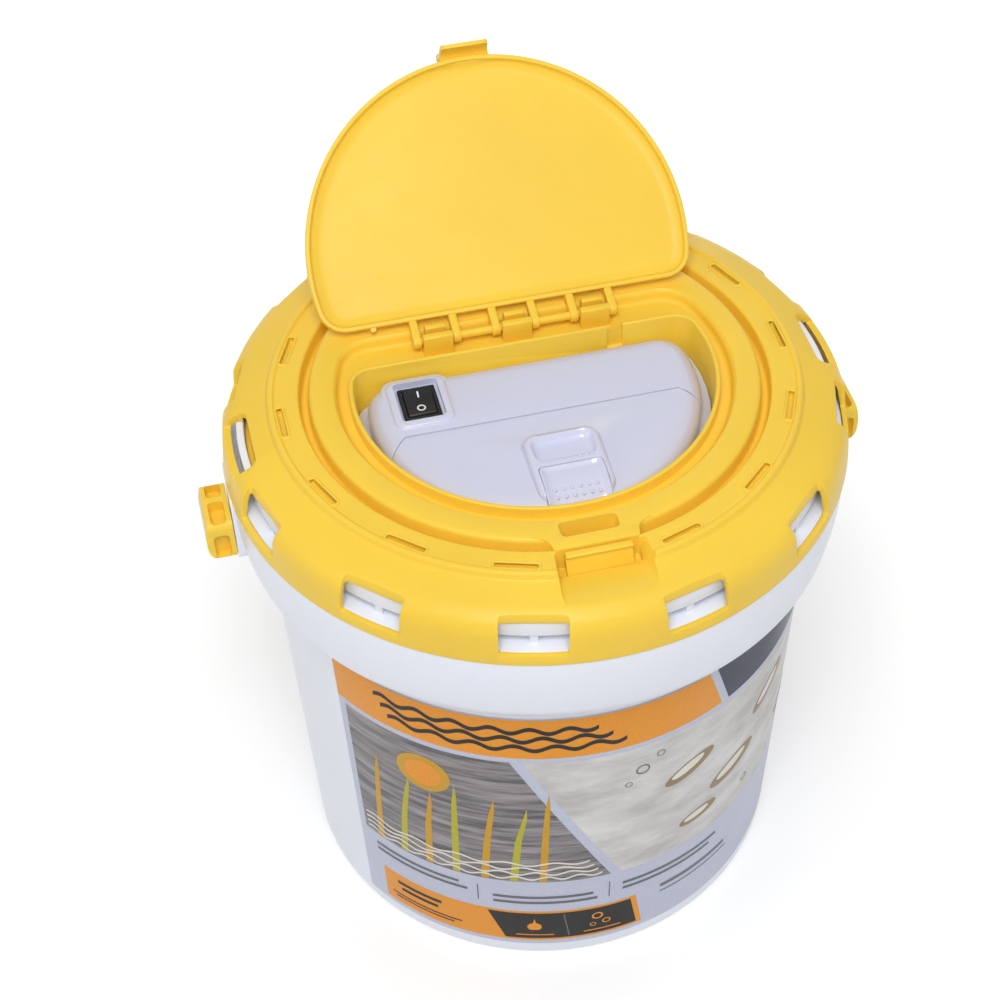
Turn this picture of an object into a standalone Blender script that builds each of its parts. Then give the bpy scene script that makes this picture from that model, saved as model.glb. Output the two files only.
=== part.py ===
"""Insulated bait bucket with an aerator in its lid.

Metres, +Z up. The origin is the centre of the base where the pail stands, the latch faces -Y.
Every piece is modelled in place, in the pose of the photograph: access door open, bail hanging behind.
"""
import math

import bmesh
import bpy
from mathutils import Matrix, Vector

COLLECTION = "bait_bucket"
CUTTERS = "bait_bucket_cutters"

# Fits shared by several pieces
GAP = 0.0003
RUNNING_GAP = 0.0004
EMBED = 0.0008
OVERCUT = 0.004
ROUND_STEPS = 48
D_STEPS = 28
CORNER_STEPS = 4
ROD_SIDES = 16

# Pail: its height and its collar are set, and the rest of its heights and radii follow
RIM_TOP = 0.2400
COLLAR_RADIUS = 0.1244
COLLAR_BULGE = 0.01184
COLLAR_HEIGHT = 0.0412
COLLAR_BULGE_HEIGHT = 0.0230
PAIL_TAPER = 0.0344
PAIL_WALL = 0.0022
PAIL_FLOOR = 0.0025
PAIL_FOOT_WIDTH = 0.0090
PAIL_FOOT_HEIGHT = 0.0022
PAIL_EDGE_ROUND = 0.0020
LEDGE_STEP = 0.0022
LEDGE_HEIGHT = 0.0048
RIM_HEIGHT = 0.0120
RIM_SETBACK = 0.0124
RIM_LIP_WIDTH = 0.0060
RIM_LIP_HEIGHT = 0.0080
GUSSET_WIDTH = 0.0030
EAR_WIDTH = 0.0250
EAR_HEIGHT = 0.0330
EAR_FORWARD = 0.0110
EAR_STAND_OUT = 0.0007
PIVOT_DROP = 0.0232
PIVOT_PIN_RADIUS = 0.0040
COLLAR_TOP = RIM_TOP - RIM_HEIGHT - LEDGE_HEIGHT
COLLAR_START = COLLAR_TOP - COLLAR_HEIGHT
PAIL_BASE_RADIUS = COLLAR_RADIUS - COLLAR_BULGE - PAIL_TAPER * COLLAR_START
RIM_RADIUS = COLLAR_RADIUS - RIM_SETBACK
PIVOT_HEIGHT = COLLAR_TOP - PIVOT_DROP

# Foam liner and label
LINER_WALL = 0.0080
LINER_FLOOR = 0.0080
LINER_HEADROOM = 0.0028
LINER_TOP = COLLAR_TOP + LEDGE_HEIGHT - PAIL_WALL - LINER_HEADROOM
LABEL_THICKNESS = 0.0004
LABEL_START_DEG = -60.0
LABEL_END_DEG = 114.0
LABEL_BOTTOM = 0.0090
LABEL_MARGIN = 0.0055
LABEL_TOP = COLLAR_START - LABEL_MARGIN

# Bail handle: its reach follows from the open door, which it swings past
HUB_THICKNESS = 0.0116
HUB_FRONT = 0.0090
HUB_BACK = 0.0160
HUB_HEIGHT = 0.0200
HUB_CORNER = 0.0030
HUB_FLANGE = 0.0026
HUB_POCKET_DEPTH = 0.0050
HUB_RIB = 0.0022
BAIL_DOOR_CLEARANCE = 0.0030
BAIL_DEPTH = 0.0090
BAIL_FLANGE = 0.0024
BAIL_WEB = 0.0026
BAIL_INNER_INSET = 0.0024
BAIL_OUTER_INSET = 0.0007
BAIL_SQUARENESS = 2.5
BAIL_RIBS = 9
GRIP_LENGTH = 0.0960
GRIP_DEPTH = 0.0120
GRIP_HEIGHT = 0.0092

# Batteries and contacts
CELL_RADIUS = 0.0171
CELL_LENGTH = 0.0600
CELL_NUB_RADIUS = 0.0045
CELL_NUB_HEIGHT = 0.0015
CELL_SPACING = 0.0018
CELL_MARGIN = 0.0040
CELL_HEADROOM = 0.0043
SPRING_TURNS = 3.5
SPRING_BASE_RADIUS = 0.0070
SPRING_TOP_RADIUS = 0.0040
SPRING_WIRE_RADIUS = 0.0005
SPRING_HEIGHT = 0.0062
CONTACT_THICKNESS = 0.0006
CONTACT_WIDTH = 0.0150
PARTITION_FRONT = 0.0155
PARTITION_THICKNESS = 0.0020
PARTITION_TO_CELL = 0.0039
CELL_X = CELL_RADIUS + CELL_SPACING / 2
CELL_Y = -PARTITION_FRONT - PARTITION_TO_CELL - CELL_RADIUS

# Sections of the lid and its well, set by the wall thicknesses and by the room that the cells need
LID_THICKNESS = 0.0022
D_WALL = 0.0018
D_WALL_BACK = 0.0222
D_WALL_CORNER = 0.0100
WELL_LEDGE = 0.0064
WELL_DEPTH = 0.0210
WELL_FLOOR_THICKNESS = 0.0025
BASE_WALL = 0.0020
BASE_CLEARANCE = 0.0008
CELL_REACH = math.hypot(CELL_X, CELL_Y) + CELL_RADIUS
D_WALL_RADIUS = CELL_REACH + CELL_MARGIN + BASE_WALL + BASE_CLEARANCE + WELL_LEDGE + D_WALL
RECESS_LEDGE = 0.0048
RECESS_BACK_LEDGE = 0.0150
RECESS_CORNER = 0.0140
RECESS_DEPTH = 0.0050
RECESS_RADIUS = D_WALL_RADIUS + RECESS_LEDGE
RECESS_BACK = D_WALL_BACK + RECESS_BACK_LEDGE

# Lid: it sits on the pail's rim lip, and its skirt reaches down to the collar
LID_OVERHANG = 0.0006
LID_RADIUS = COLLAR_RADIUS + LID_OVERHANG
SKIRT_BOTTOM = COLLAR_TOP + GAP
RIM_HEADROOM = 0.0016
CREST_HEIGHT = RIM_TOP + LID_THICKNESS + RIM_HEADROOM
CREST_DROP = 0.0072
LID_TOP = CREST_HEIGHT + CREST_DROP
CREST_SETBACK = 0.0067
CREST_RADIUS = LID_RADIUS - CREST_SETBACK
PLATFORM_WIDTH = 0.0108
PLATFORM_RADIUS = RECESS_RADIUS + PLATFORM_WIDTH
GROOVE_WIDTH = 0.0038
GROOVE_DEPTH = 0.0076
RING_INNER_RADIUS = PLATFORM_RADIUS + GROOVE_WIDTH
RING_BEAD_SHARE = 0.4444
RING_SLOT_SHARE = 0.3103
BEAD_RADIUS = RING_INNER_RADIUS + (CREST_RADIUS - RING_INNER_RADIUS) * RING_BEAD_SHARE
BEAD_WIDTH = 0.0026
SEAL_RIB_WIDTH = 0.0025
WINDOW_PITCH_DEG = 28.9
WINDOW_WIDTH = 0.0255
WINDOW_DEPTH = 0.0074
WINDOW_SILL_GAP = 0.0005
WINDOW_SILL = COLLAR_TOP + LEDGE_HEIGHT + WINDOW_SILL_GAP
SIDE_WINDOW_WIDTH = 0.0310
SIDE_WINDOW_DEPTH = 0.0126
SIDE_WINDOW_BAR = 0.0150
SIDE_WINDOW_SILL = SKIRT_BOTTOM + SIDE_WINDOW_BAR
SLOT_RADIUS = RING_INNER_RADIUS + (CREST_RADIUS - RING_INNER_RADIUS) * RING_SLOT_SHARE
SLOT_LENGTH = 0.0160
SLOT_WIDTH = 0.0026
SLOT_PITCH_DEG = 24.0
SLOT_FIRST_DEG = 18.0
SLOT_RIM = 0.0009
SLOT_RIM_HEIGHT = 0.0004
RECESS_FLOOR = LID_TOP - RECESS_DEPTH
WELL_FLOOR = LID_TOP - WELL_DEPTH
NOTCH_X = 0.0385
NOTCH_WIDTH = 0.0066
NOTCH_DEPTH = 0.0086
NOTCH_BOTTOM = LID_TOP - NOTCH_DEPTH

# Access door and its hinge
HINGE_INSET = 0.0056
HINGE_DROP = 0.0004
HINGE_Y = RECESS_BACK - HINGE_INSET
HINGE_Z = LID_TOP - HINGE_DROP
DOOR_OPEN_DEG = 136.2
DOOR_OVERLAP = 0.0004
DOOR_TO_HINGE = 0.00865
DOOR_RADIUS = RECESS_RADIUS + DOOR_OVERLAP
DOOR_BACK = HINGE_Y - DOOR_TO_HINGE
DOOR_CORNER = 0.0110
DOOR_SEAT_GAP = 0.0004
DOOR_THICKNESS = 0.0060
DOOR_PANEL = 0.0024
DOOR_LIP = 0.0018
DOOR_EDGE_ROUND = 0.0012
ROD_RADIUS = 0.0017
ARM_END_RADIUS = 0.0028
ARM_WIDTH = 0.0032
ARM_PITCH = 0.01615
POST_CLEARANCE = 0.0005
FRONT_JAW_HEIGHT = 0.0047
REAR_JAW_HEIGHT = 0.0047
REAR_JAW_WIDTH = 0.0080
JAW_SLOT = 0.0020
JAW_FRONT = 0.0044
JAW_REAR = 0.0046
TAB_WIDTH = 0.0190
TAB_REACH = 0.0074
TAB_THICKNESS = 0.0022
TAB_HOOK_DROP = 0.0142

# Nose, hook slot, ramp and catch at the front of the lid, placed by the door's tab
NOSE_WIDTH = 0.0310
NOSE_THICKNESS = 0.0030
NOSE_REACH = 0.0042
NOSE_FRONT = PLATFORM_RADIUS + NOSE_REACH
HOOK_SLOT_MARGIN = 0.0016
HOOK_SLOT_WIDTH = 0.0204
HOOK_SLOT_BACK = DOOR_RADIUS + HOOK_SLOT_MARGIN
HOOK_SLOT_FRONT = DOOR_RADIUS + TAB_REACH + HOOK_SLOT_MARGIN
RAMP_HALF_WIDTH = 0.0150
RAMP_FLARE = 0.0035
RAMP_DEPTH = 0.0106
RAMP_RISE = 0.0032
RAMP_FLOOR = LID_TOP - RAMP_DEPTH
RAMP_SETBACK = 0.0050
RAMP_END = LID_RADIUS - RAMP_SETBACK
RAMP_BLOCK_SETBACK = 0.0053
RAMP_BLOCK_END = CREST_RADIUS - RAMP_BLOCK_SETBACK
RAMP_THICKNESS = 0.0015
CATCH_WIDTH = 0.0252
CATCH_THICKNESS = 0.0020
CATCH_LEAN = 0.0030
CATCH_LIP = 0.0016
CATCH_SUNK = 0.0010
CATCH_STAND = 0.0009
CATCH_TOP = LID_TOP - CATCH_SUNK
CATCH_BASE = RAMP_FLOOR + CATCH_STAND
CATCH_GAP = 0.0005
CATCH_SIDE_ROOM = 0.0020

# Aerator housing
FLANGE_CLEARANCE = 0.0008
FLANGE_THICKNESS = 0.0022
GASKET_THICKNESS = 0.0010
GASKET_WIDTH = 0.0045
COVER_MARGIN = 0.0068
COVER_BACK_MARGIN = 0.0026
COVER_DROP = 0.0070
COVER_RADIUS = D_WALL_RADIUS - COVER_MARGIN
COVER_BACK = D_WALL_BACK - COVER_BACK_MARGIN
COVER_CORNER = 0.0120
COVER_TOP = LID_TOP - COVER_DROP
COVER_SHELL = 0.0020
COVER_EDGE_ROUND = 0.0040
CELL_STACK = CELL_LENGTH + CELL_NUB_HEIGHT + SPRING_HEIGHT
BASE_BOTTOM = COVER_TOP - COVER_SHELL - CELL_HEADROOM - CELL_STACK - BASE_WALL
SEAM_TO_PARTITION = 0.0019
SEAM_SIDE_INSET = 0.0110
SEAM_END_INSET = 0.0036
SEAM_STEP = 0.0079
SEAM_Y = -PARTITION_FRONT + SEAM_TO_PARTITION
SEAM_HALF_WIDTH = COVER_RADIUS - SEAM_SIDE_INSET
SEAM_END_X = COVER_RADIUS - SEAM_END_INSET
SEAM_END_Y = SEAM_Y - SEAM_STEP
SEAM_GAP = 0.0004

# Switch
SWITCH_SIDE_INSET = 0.0205
SWITCH_BACK_INSET = 0.0155
SWITCH_X = -COVER_RADIUS + SWITCH_SIDE_INSET
SWITCH_Y = COVER_BACK - SWITCH_BACK_INSET
BEZEL_WIDTH = 0.0150
BEZEL_LENGTH = 0.0182
BEZEL_HEIGHT = 0.0014
SWITCH_BODY_WIDTH = 0.0124
SWITCH_BODY_LENGTH = 0.0136
SWITCH_BODY_DEPTH = 0.0110
SWITCH_POCKET_MARGIN = 0.0013
SWITCH_POCKET_END_MARGIN = 0.0018
SWITCH_POCKET_WIDTH = BEZEL_WIDTH + 2 * SWITCH_POCKET_MARGIN
SWITCH_POCKET_LENGTH = BEZEL_LENGTH + 2 * SWITCH_POCKET_END_MARGIN
SWITCH_POCKET_DEPTH = 0.0018
SURROUND_MARGIN = 0.0042
SURROUND_HEIGHT = 0.0012
ROCKER_WIDTH = 0.0114
ROCKER_LENGTH = 0.0150
ROCKER_RISE = 0.0034
ROCKER_DIP = 0.0011
ROCKER_TILT_DEG = 7.0
TERMINAL_LENGTH = 0.0060
TERMINAL_OFFSET = 0.0040

# Thumb latch
LATCH_X = 0.0020
LATCH_MARGIN = 0.0020
LATCH_LENGTH = 0.0165
LATCH_WIDTH = 0.0250
LATCH_THICKNESS = 0.0034
LATCH_HOUSING_WALL = 0.0020
LATCH_HOUSING_RISE = 0.0036
LATCH_HOUSING_WIDTH = LATCH_WIDTH + 2 * LATCH_HOUSING_WALL
LATCH_FRONT = COVER_RADIUS - LATCH_MARGIN
LATCH_BACK = LATCH_FRONT - LATCH_LENGTH
SCOOP_BRIDGE = 0.0030
SCOOP_LENGTH = 0.0105
SCOOP_DEPTH = 0.0030
SCOOP_WIDTH = LATCH_WIDTH + 0.0002
SCOOP_FRONT = LATCH_BACK - SCOOP_BRIDGE
SCOOP_BACK = SCOOP_FRONT - SCOOP_LENGTH
LATCH_HOUSING_SLOPE = 0.0040
LATCH_HOUSING_BACK = SCOOP_BACK - LATCH_HOUSING_SLOPE
GRIP_DOT_RADIUS = 0.0007
GRIP_DOT_ROWS = 2
GRIP_DOT_COLUMNS = 6

# Wires inside the tub
WIRE_RADIUS = 0.0007
WIRE_HOLE_RADIUS = 0.0018

# Motor and diaphragm pump
PUMP_Y = -0.0014
MOTOR_X = -0.0220
MOTOR_RADIUS = 0.0098
MOTOR_LENGTH = 0.0270
MOTOR_STAND = 0.0090
MOTOR_TOP = BASE_BOTTOM + BASE_WALL + MOTOR_STAND + MOTOR_LENGTH
MOTOR_BOSS_RADIUS = 0.0030
MOTOR_BOSS_HEIGHT = 0.0012
SHAFT_RADIUS = 0.0010
CRANK_RADIUS = 0.0045
CRANK_THICKNESS = 0.0025
CRANK_THROW = 0.0015
CRANK_PIN_RADIUS = 0.0012
CRANK_PIN_HEIGHT = 0.0030
CHASSIS_PLATE = 0.0016
CHASSIS_HALF_LENGTH = 0.0380
CHASSIS_HALF_DEPTH = 0.0105
CHASSIS_LEG = 0.0030
ROD_BAR_WIDTH = 0.0050
ROD_THICKNESS = 0.0024
ROD_EYE_RADIUS = 0.0042
ROD_BUTTON = 0.0080
ROD_BUTTON_THICKNESS = 0.0020
ROD_END_GAP = 0.0005
PUMP_X = 0.0090
PUMP_HALF = 0.0090
PUMP_HEIGHT = 0.0150
PUMP_BODY_LENGTH = 0.0110
VALVE_THICKNESS = 0.0012
HEAD_LENGTH = 0.0080
DIAPHRAGM_THICKNESS = 0.0022
CHAMBER_RADIUS = 0.0055
CHAMBER_DEPTH = 0.0050
BARB_RADIUS = 0.0021
TUBE_BORE = 0.0024
TUBE_WALL = 0.0011
NIPPLE_RADIUS = 0.0030
NIPPLE_FLANGE_RADIUS = 0.0060
NIPPLE_FLANGE = 0.0015
NIPPLE_DROP = 0.0110
NIPPLE_BORE = 0.0012

# Screws that hold the aerator in the lid
SCREW_RADIUS = 0.0012
SCREW_HEAD_RADIUS = 0.0024
SCREW_HEAD_HEIGHT = 0.0014
SCREW_CLEARANCE = 0.0004
SCREW_DRIVE_WIDTH = 0.0008
SCREW_FRONT_DEG = 38.0
SCREW_BACK_X = 0.0400

WHITE = (0.86, 0.87, 0.90)
YELLOW = (0.86, 0.55, 0.05)


def material(name, colour, roughness, metallic=0.0):
    """A plain Principled material with one colour."""
    found = bpy.data.materials.get(name)
    if found:
        return found
    made = bpy.data.materials.new(name)
    made.use_nodes = True
    shader = made.node_tree.nodes["Principled BSDF"]
    shader.inputs["Base Color"].default_value = (*colour, 1.0)
    shader.inputs["Roughness"].default_value = roughness
    shader.inputs["Metallic"].default_value = metallic
    made.diffuse_color = (*colour, 1.0)
    return made


def collection(name):
    """The named collection, made and linked when it is new."""
    found = bpy.data.collections.get(name)
    if found is None:
        found = bpy.data.collections.new(name)
        bpy.context.scene.collection.children.link(found)
    return found


def new_object(name, mesh, cutter=False):
    """An object for a mesh, in the parts' or the cutters' collection."""
    made = bpy.data.objects.new(name, mesh)
    collection(CUTTERS if cutter else COLLECTION).objects.link(made)
    if cutter:
        made.hide_render = True
        made.display_type = "WIRE"
    return made


def finish(part, paint, smooth_deg=30.0):
    """Give a part its material and smooth its round faces."""
    part.data.materials.clear()
    part.data.materials.append(paint)
    part.data.shade_smooth()
    part.data.set_sharp_from_angle(angle=math.radians(smooth_deg))
    return part


def mesh_from(name, builder, cutter=False):
    """An object whose mesh is filled in by a function that gets a bmesh."""
    mesh = bpy.data.meshes.new(name)
    data = bmesh.new()
    builder(data)
    data.to_mesh(mesh)
    data.free()
    return new_object(name, mesh, cutter)


def add_box(data, low, high, turn=None):
    """Add a box between two corners to a bmesh, turned by a matrix if one is given."""
    low = Vector(low)
    high = Vector(high)
    place = Matrix.Translation((low + high) / 2) @ Matrix.Diagonal((*(high - low), 1.0))
    if turn is not None:
        place = turn @ place
    bmesh.ops.create_cube(data, size=1.0, matrix=place)


def add_rod(data, start, end, radius, sides=ROD_SIDES):
    """Add a round rod between two points to a bmesh."""
    start = Vector(start)
    end = Vector(end)
    way = end - start
    turn = way.to_track_quat("Z", "Y").to_matrix().to_4x4()
    place = Matrix.Translation((start + end) / 2) @ turn
    bmesh.ops.create_cone(data, cap_ends=True, segments=sides, radius1=radius, radius2=radius,
                          depth=way.length, matrix=place)


def box(name, low, high, cutter=False):
    """A box between two corners."""
    return mesh_from(name, lambda data: add_box(data, low, high), cutter)


def rod(name, start, end, radius, sides=ROD_SIDES, cutter=False):
    """A round rod between two points."""
    return mesh_from(name, lambda data: add_rod(data, start, end, radius, sides), cutter)


def turned(name, profile, steps=ROUND_STEPS, cutter=False, closed=False):
    """Turn a profile of (radius, height) points about Z; it runs down the outer side."""
    mesh = bpy.data.meshes.new(name)
    points = [(radius, 0.0, height) for radius, height in profile]
    edges = [(index, index + 1) for index in range(len(points) - 1)]
    if closed:
        edges.append((len(points) - 1, 0))
    mesh.from_pydata(points, edges, [])
    made = new_object(name, mesh, cutter)
    screw = made.modifiers.new("Turn", "SCREW")
    screw.steps = steps
    screw.render_steps = steps
    screw.use_merge_vertices = True
    screw.merge_threshold = 0.00001
    return as_mesh(made)


def as_mesh(made):
    """Replace an object by the plain mesh that it evaluates to, welded and closed."""
    bpy.context.view_layer.update()
    graph = bpy.context.evaluated_depsgraph_get()
    mesh = bpy.data.meshes.new_from_object(made.evaluated_get(graph))
    data = bmesh.new()
    data.from_mesh(mesh)
    bmesh.ops.remove_doubles(data, verts=data.verts, dist=0.000001)
    bmesh.ops.recalc_face_normals(data, faces=data.faces)
    data.to_mesh(mesh)
    data.free()
    name = made.name
    place = made.matrix_world.copy()
    cutter = made.display_type == "WIRE"
    bpy.data.objects.remove(made)
    replaced = new_object(name, mesh, cutter)
    replaced.matrix_world = place
    return replaced


def prism(name, outline, bottom, top, cutter=False):
    """Extrude a flat outline of (x, y) points between two heights."""
    curve = bpy.data.curves.new(name, "CURVE")
    curve.dimensions = "2D"
    curve.fill_mode = "BOTH"
    curve.extrude = (top - bottom) / 2
    spline = curve.splines.new("POLY")
    spline.points.add(len(outline) - 1)
    for point, (x, y) in zip(spline.points, outline):
        point.co = (x, y, 0.0, 1.0)
    spline.use_cyclic_u = True
    made = new_object(name, curve, cutter)
    made.location.z = (top + bottom) / 2
    return as_mesh(made)


def side_prism(name, outline, left, right, cutter=False):
    """Extrude an outline of (y, z) points along X between two places."""
    made = prism(name, outline, left, right, cutter)
    turn = Matrix(((0, 0, 1, 0), (1, 0, 0, 0), (0, 1, 0, 0), (0, 0, 0, 1)))
    made.data.transform(turn @ made.matrix_world)
    made.matrix_world = Matrix.Identity(4)
    return made


def wire(name, points, radius, cutter=False):
    """A bent wire or tube along a list of points."""
    curve = bpy.data.curves.new(name, "CURVE")
    curve.dimensions = "3D"
    curve.bevel_depth = radius
    curve.bevel_resolution = 1
    curve.use_fill_caps = True
    spline = curve.splines.new("POLY")
    spline.points.add(len(points) - 1)
    for point, place in zip(spline.points, points):
        point.co = (*place, 1.0)
    return as_mesh(new_object(name, curve, cutter))


def loft(name, rings, cutter=False):
    """A closed body through a row of rings that have the same number of points."""
    def fill(data):
        rows = [[data.verts.new(point) for point in ring] for ring in rings]
        for first, second in zip(rows[:-1], rows[1:]):
            for side in range(len(first)):
                after = (side + 1) % len(first)
                data.faces.new((first[side], first[after], second[after], second[side]))
        data.faces.new(rows[0])
        data.faces.new(tuple(reversed(rows[-1])))
        bmesh.ops.recalc_face_normals(data, faces=data.faces)
    return mesh_from(name, fill, cutter)


def boolean(part, other, kind):
    """Cut or join another object, which stays as a hidden helper."""
    step = part.modifiers.new(other.name, "BOOLEAN")
    step.operation = kind
    step.solver = "EXACT"
    step.object = other
    if other.name not in collection(CUTTERS).objects:
        collection(COLLECTION).objects.unlink(other)
        collection(CUTTERS).objects.link(other)
    other.hide_render = True
    other.display_type = "WIRE"


def cut(part, *cutters):
    """Take the cutters away from a part."""
    for cutter in cutters:
        boolean(part, cutter, "DIFFERENCE")


def join(part, *others):
    """Fuse the others with a part."""
    for other in others:
        boolean(part, other, "UNION")


def round_edges(part, width, segments=2, angle_deg=50.0):
    """Round the sharp edges of a part."""
    bevel = part.modifiers.new("Round", "BEVEL")
    bevel.width = width
    bevel.segments = segments
    bevel.limit_method = "ANGLE"
    bevel.angle_limit = math.radians(angle_deg)


def arc(centre, radius, start_deg, end_deg, steps):
    """Points on an arc, both ends included."""
    found = []
    for index in range(steps + 1):
        angle = math.radians(start_deg + (end_deg - start_deg) * index / steps)
        found.append((centre[0] + radius * math.cos(angle), centre[1] + radius * math.sin(angle)))
    return found


def d_outline(radius, back, corner):
    """A capital D lying on its side: a round front about the Z axis and a straight back."""
    middle_y = back - corner
    middle_x = math.sqrt((radius - corner) ** 2 - middle_y ** 2)
    tangent = math.degrees(math.atan2(middle_y, middle_x))
    points = arc((0.0, 0.0), radius, -180.0 - tangent, tangent, D_STEPS)
    points += arc((middle_x, middle_y), corner, tangent, 90.0, CORNER_STEPS)[1:]
    points += arc((-middle_x, middle_y), corner, 90.0, 180.0 - tangent, CORNER_STEPS)[:-1]
    return points


def rounded_box_outline(low, high, corner, steps=3):
    """A rectangle with round corners."""
    points = arc((high[0] - corner, low[1] + corner), corner, -90.0, 0.0, steps)
    points += arc((high[0] - corner, high[1] - corner), corner, 0.0, 90.0, steps)
    points += arc((low[0] + corner, high[1] - corner), corner, 90.0, 180.0, steps)
    points += arc((low[0] + corner, low[1] + corner), corner, 180.0, 270.0, steps)
    return points


def front_turn(angle_deg):
    """The turn that carries the front of the bucket, at -Y, to an angle towards +X."""
    return Matrix.Rotation(math.radians(angle_deg), 4, "Z")


def window_angles():
    """The angles of the plain windows in the lid's skirt, from the latch."""
    firsts = [WINDOW_PITCH_DEG * (index + 0.5) for index in range(3)]
    fronts = firsts + [180.0 - angle for angle in firsts]
    return [side * angle for angle in fronts for side in (-1, 1)]


def slot_angles():
    """The angles of the slots in the lid's ring, from the latch."""
    firsts = [SLOT_FIRST_DEG + SLOT_PITCH_DEG * index for index in range(7)]
    return [side * angle for angle in firsts for side in (-1, 1)]


def wall_radius(height):
    """The outer radius of the pail's tapered wall."""
    return PAIL_BASE_RADIUS + PAIL_TAPER * height


def pail():
    """White pail: foot ring, tapered wall, collar, ledge, rim lip, ears and pivot pins."""
    ledge_radius = COLLAR_RADIUS - LEDGE_STEP
    ledge_top = COLLAR_TOP + LEDGE_HEIGHT
    lip_bottom = RIM_TOP - RIM_LIP_HEIGHT
    bulge_top = COLLAR_START + COLLAR_BULGE_HEIGHT
    run = COLLAR_RADIUS - wall_radius(COLLAR_START)
    inner_collar = ledge_radius - PAIL_WALL
    outer = [
        (RIM_RADIUS + RIM_LIP_WIDTH, RIM_TOP),
        (RIM_RADIUS + RIM_LIP_WIDTH, lip_bottom),
        (RIM_RADIUS, lip_bottom),
        (RIM_RADIUS, ledge_top),
        (ledge_radius, ledge_top),
        (ledge_radius, COLLAR_TOP),
        (COLLAR_RADIUS, COLLAR_TOP),
        (COLLAR_RADIUS - 0.0004, bulge_top),
        (COLLAR_RADIUS - run * 0.22, COLLAR_START + COLLAR_BULGE_HEIGHT * 0.41),
        (COLLAR_RADIUS - run * 0.45, COLLAR_START + COLLAR_BULGE_HEIGHT * 0.20),
        (wall_radius(COLLAR_START), COLLAR_START),
        (wall_radius(PAIL_EDGE_ROUND), PAIL_EDGE_ROUND),
        (PAIL_BASE_RADIUS - PAIL_EDGE_ROUND * 0.5, 0.0),
        (PAIL_BASE_RADIUS - PAIL_FOOT_WIDTH, 0.0),
        (PAIL_BASE_RADIUS - PAIL_FOOT_WIDTH - PAIL_FOOT_HEIGHT * 0.5, PAIL_FOOT_HEIGHT),
        (0.0, PAIL_FOOT_HEIGHT),
    ]
    floor = PAIL_FOOT_HEIGHT + PAIL_FLOOR
    inner = [
        (0.0, floor),
        (wall_radius(floor) - PAIL_WALL, floor),
        (wall_radius(COLLAR_START) - PAIL_WALL, COLLAR_START + PAIL_WALL),
        (COLLAR_RADIUS - run * 0.45 - PAIL_WALL, COLLAR_START + COLLAR_BULGE_HEIGHT * 0.20 + PAIL_WALL),
        (inner_collar, bulge_top - PAIL_WALL),
        (inner_collar, ledge_top - PAIL_WALL),
        (RIM_RADIUS - PAIL_WALL, ledge_top - PAIL_WALL),
        (RIM_RADIUS - PAIL_WALL, RIM_TOP),
    ]
    shell = turned("pail", outer + inner, closed=True)
    join(shell, pail_gussets(ledge_top, lip_bottom), pail_ears())
    return finish(shell, material("white_shell", WHITE, 0.32))


def pail_gussets(bottom, top):
    """Short upright gussets between the ledge and the rim lip, one at each window."""
    def fill(data):
        for angle in window_angles() + [-90.0, 90.0]:
            add_box(data, (-GUSSET_WIDTH / 2, -(RIM_RADIUS + RIM_LIP_WIDTH - EMBED), bottom - EMBED),
                    (GUSSET_WIDTH / 2, -(RIM_RADIUS - EMBED), top + EMBED), front_turn(angle))
    return mesh_from("pail_gussets", fill, cutter=True)


def pail_ears():
    """The flat pads at both sides with the pins on which the bail turns."""
    face = COLLAR_RADIUS + EAR_STAND_OUT
    inside = COLLAR_RADIUS - LEDGE_STEP - PAIL_WALL / 2
    top = COLLAR_TOP

    def fill(data):
        for side in (-1, 1):
            edges = sorted((side * inside, side * face))
            add_box(data, (edges[0], -EAR_FORWARD, top - EAR_HEIGHT), (edges[1], EAR_WIDTH - EAR_FORWARD, top))
            add_rod(data, (side * (inside + EMBED), 0.0, PIVOT_HEIGHT),
                    (side * (face + HUB_THICKNESS - HUB_FLANGE), 0.0, PIVOT_HEIGHT), PIVOT_PIN_RADIUS)
    ears = mesh_from("pail_ears", fill, cutter=True)
    return union_self(ears)


def union_self(made):
    """Fuse the overlapping bodies of one helper mesh."""
    pieces = made.modifiers.new("Fuse", "BOOLEAN")
    pieces.operation = "UNION"
    pieces.solver = "EXACT"
    pieces.use_self = True
    pieces.operand_type = "COLLECTION"
    pieces.collection = collection("empty_helpers")
    return as_mesh(made)


def foam_liner():
    """Foam cup inside the pail that insulates the water."""
    floor = PAIL_FOOT_HEIGHT + PAIL_FLOOR + GAP
    shrink = PAIL_WALL + GAP
    outer = [
        (wall_radius(COLLAR_START) - shrink, LINER_TOP),
        (wall_radius(COLLAR_START) - shrink, COLLAR_START),
        (wall_radius(floor) - shrink, floor),
        (0.0, floor),
    ]
    inner = [
        (0.0, floor + LINER_FLOOR),
        (wall_radius(floor) - shrink - LINER_WALL, floor + LINER_FLOOR),
        (wall_radius(COLLAR_START) - shrink - LINER_WALL, COLLAR_START),
        (wall_radius(COLLAR_START) - shrink - LINER_WALL, LINER_TOP),
    ]
    cup = turned("foam_liner", outer + inner, closed=True)
    return finish(cup, material("foam", (0.90, 0.90, 0.88), 0.85))


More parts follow.
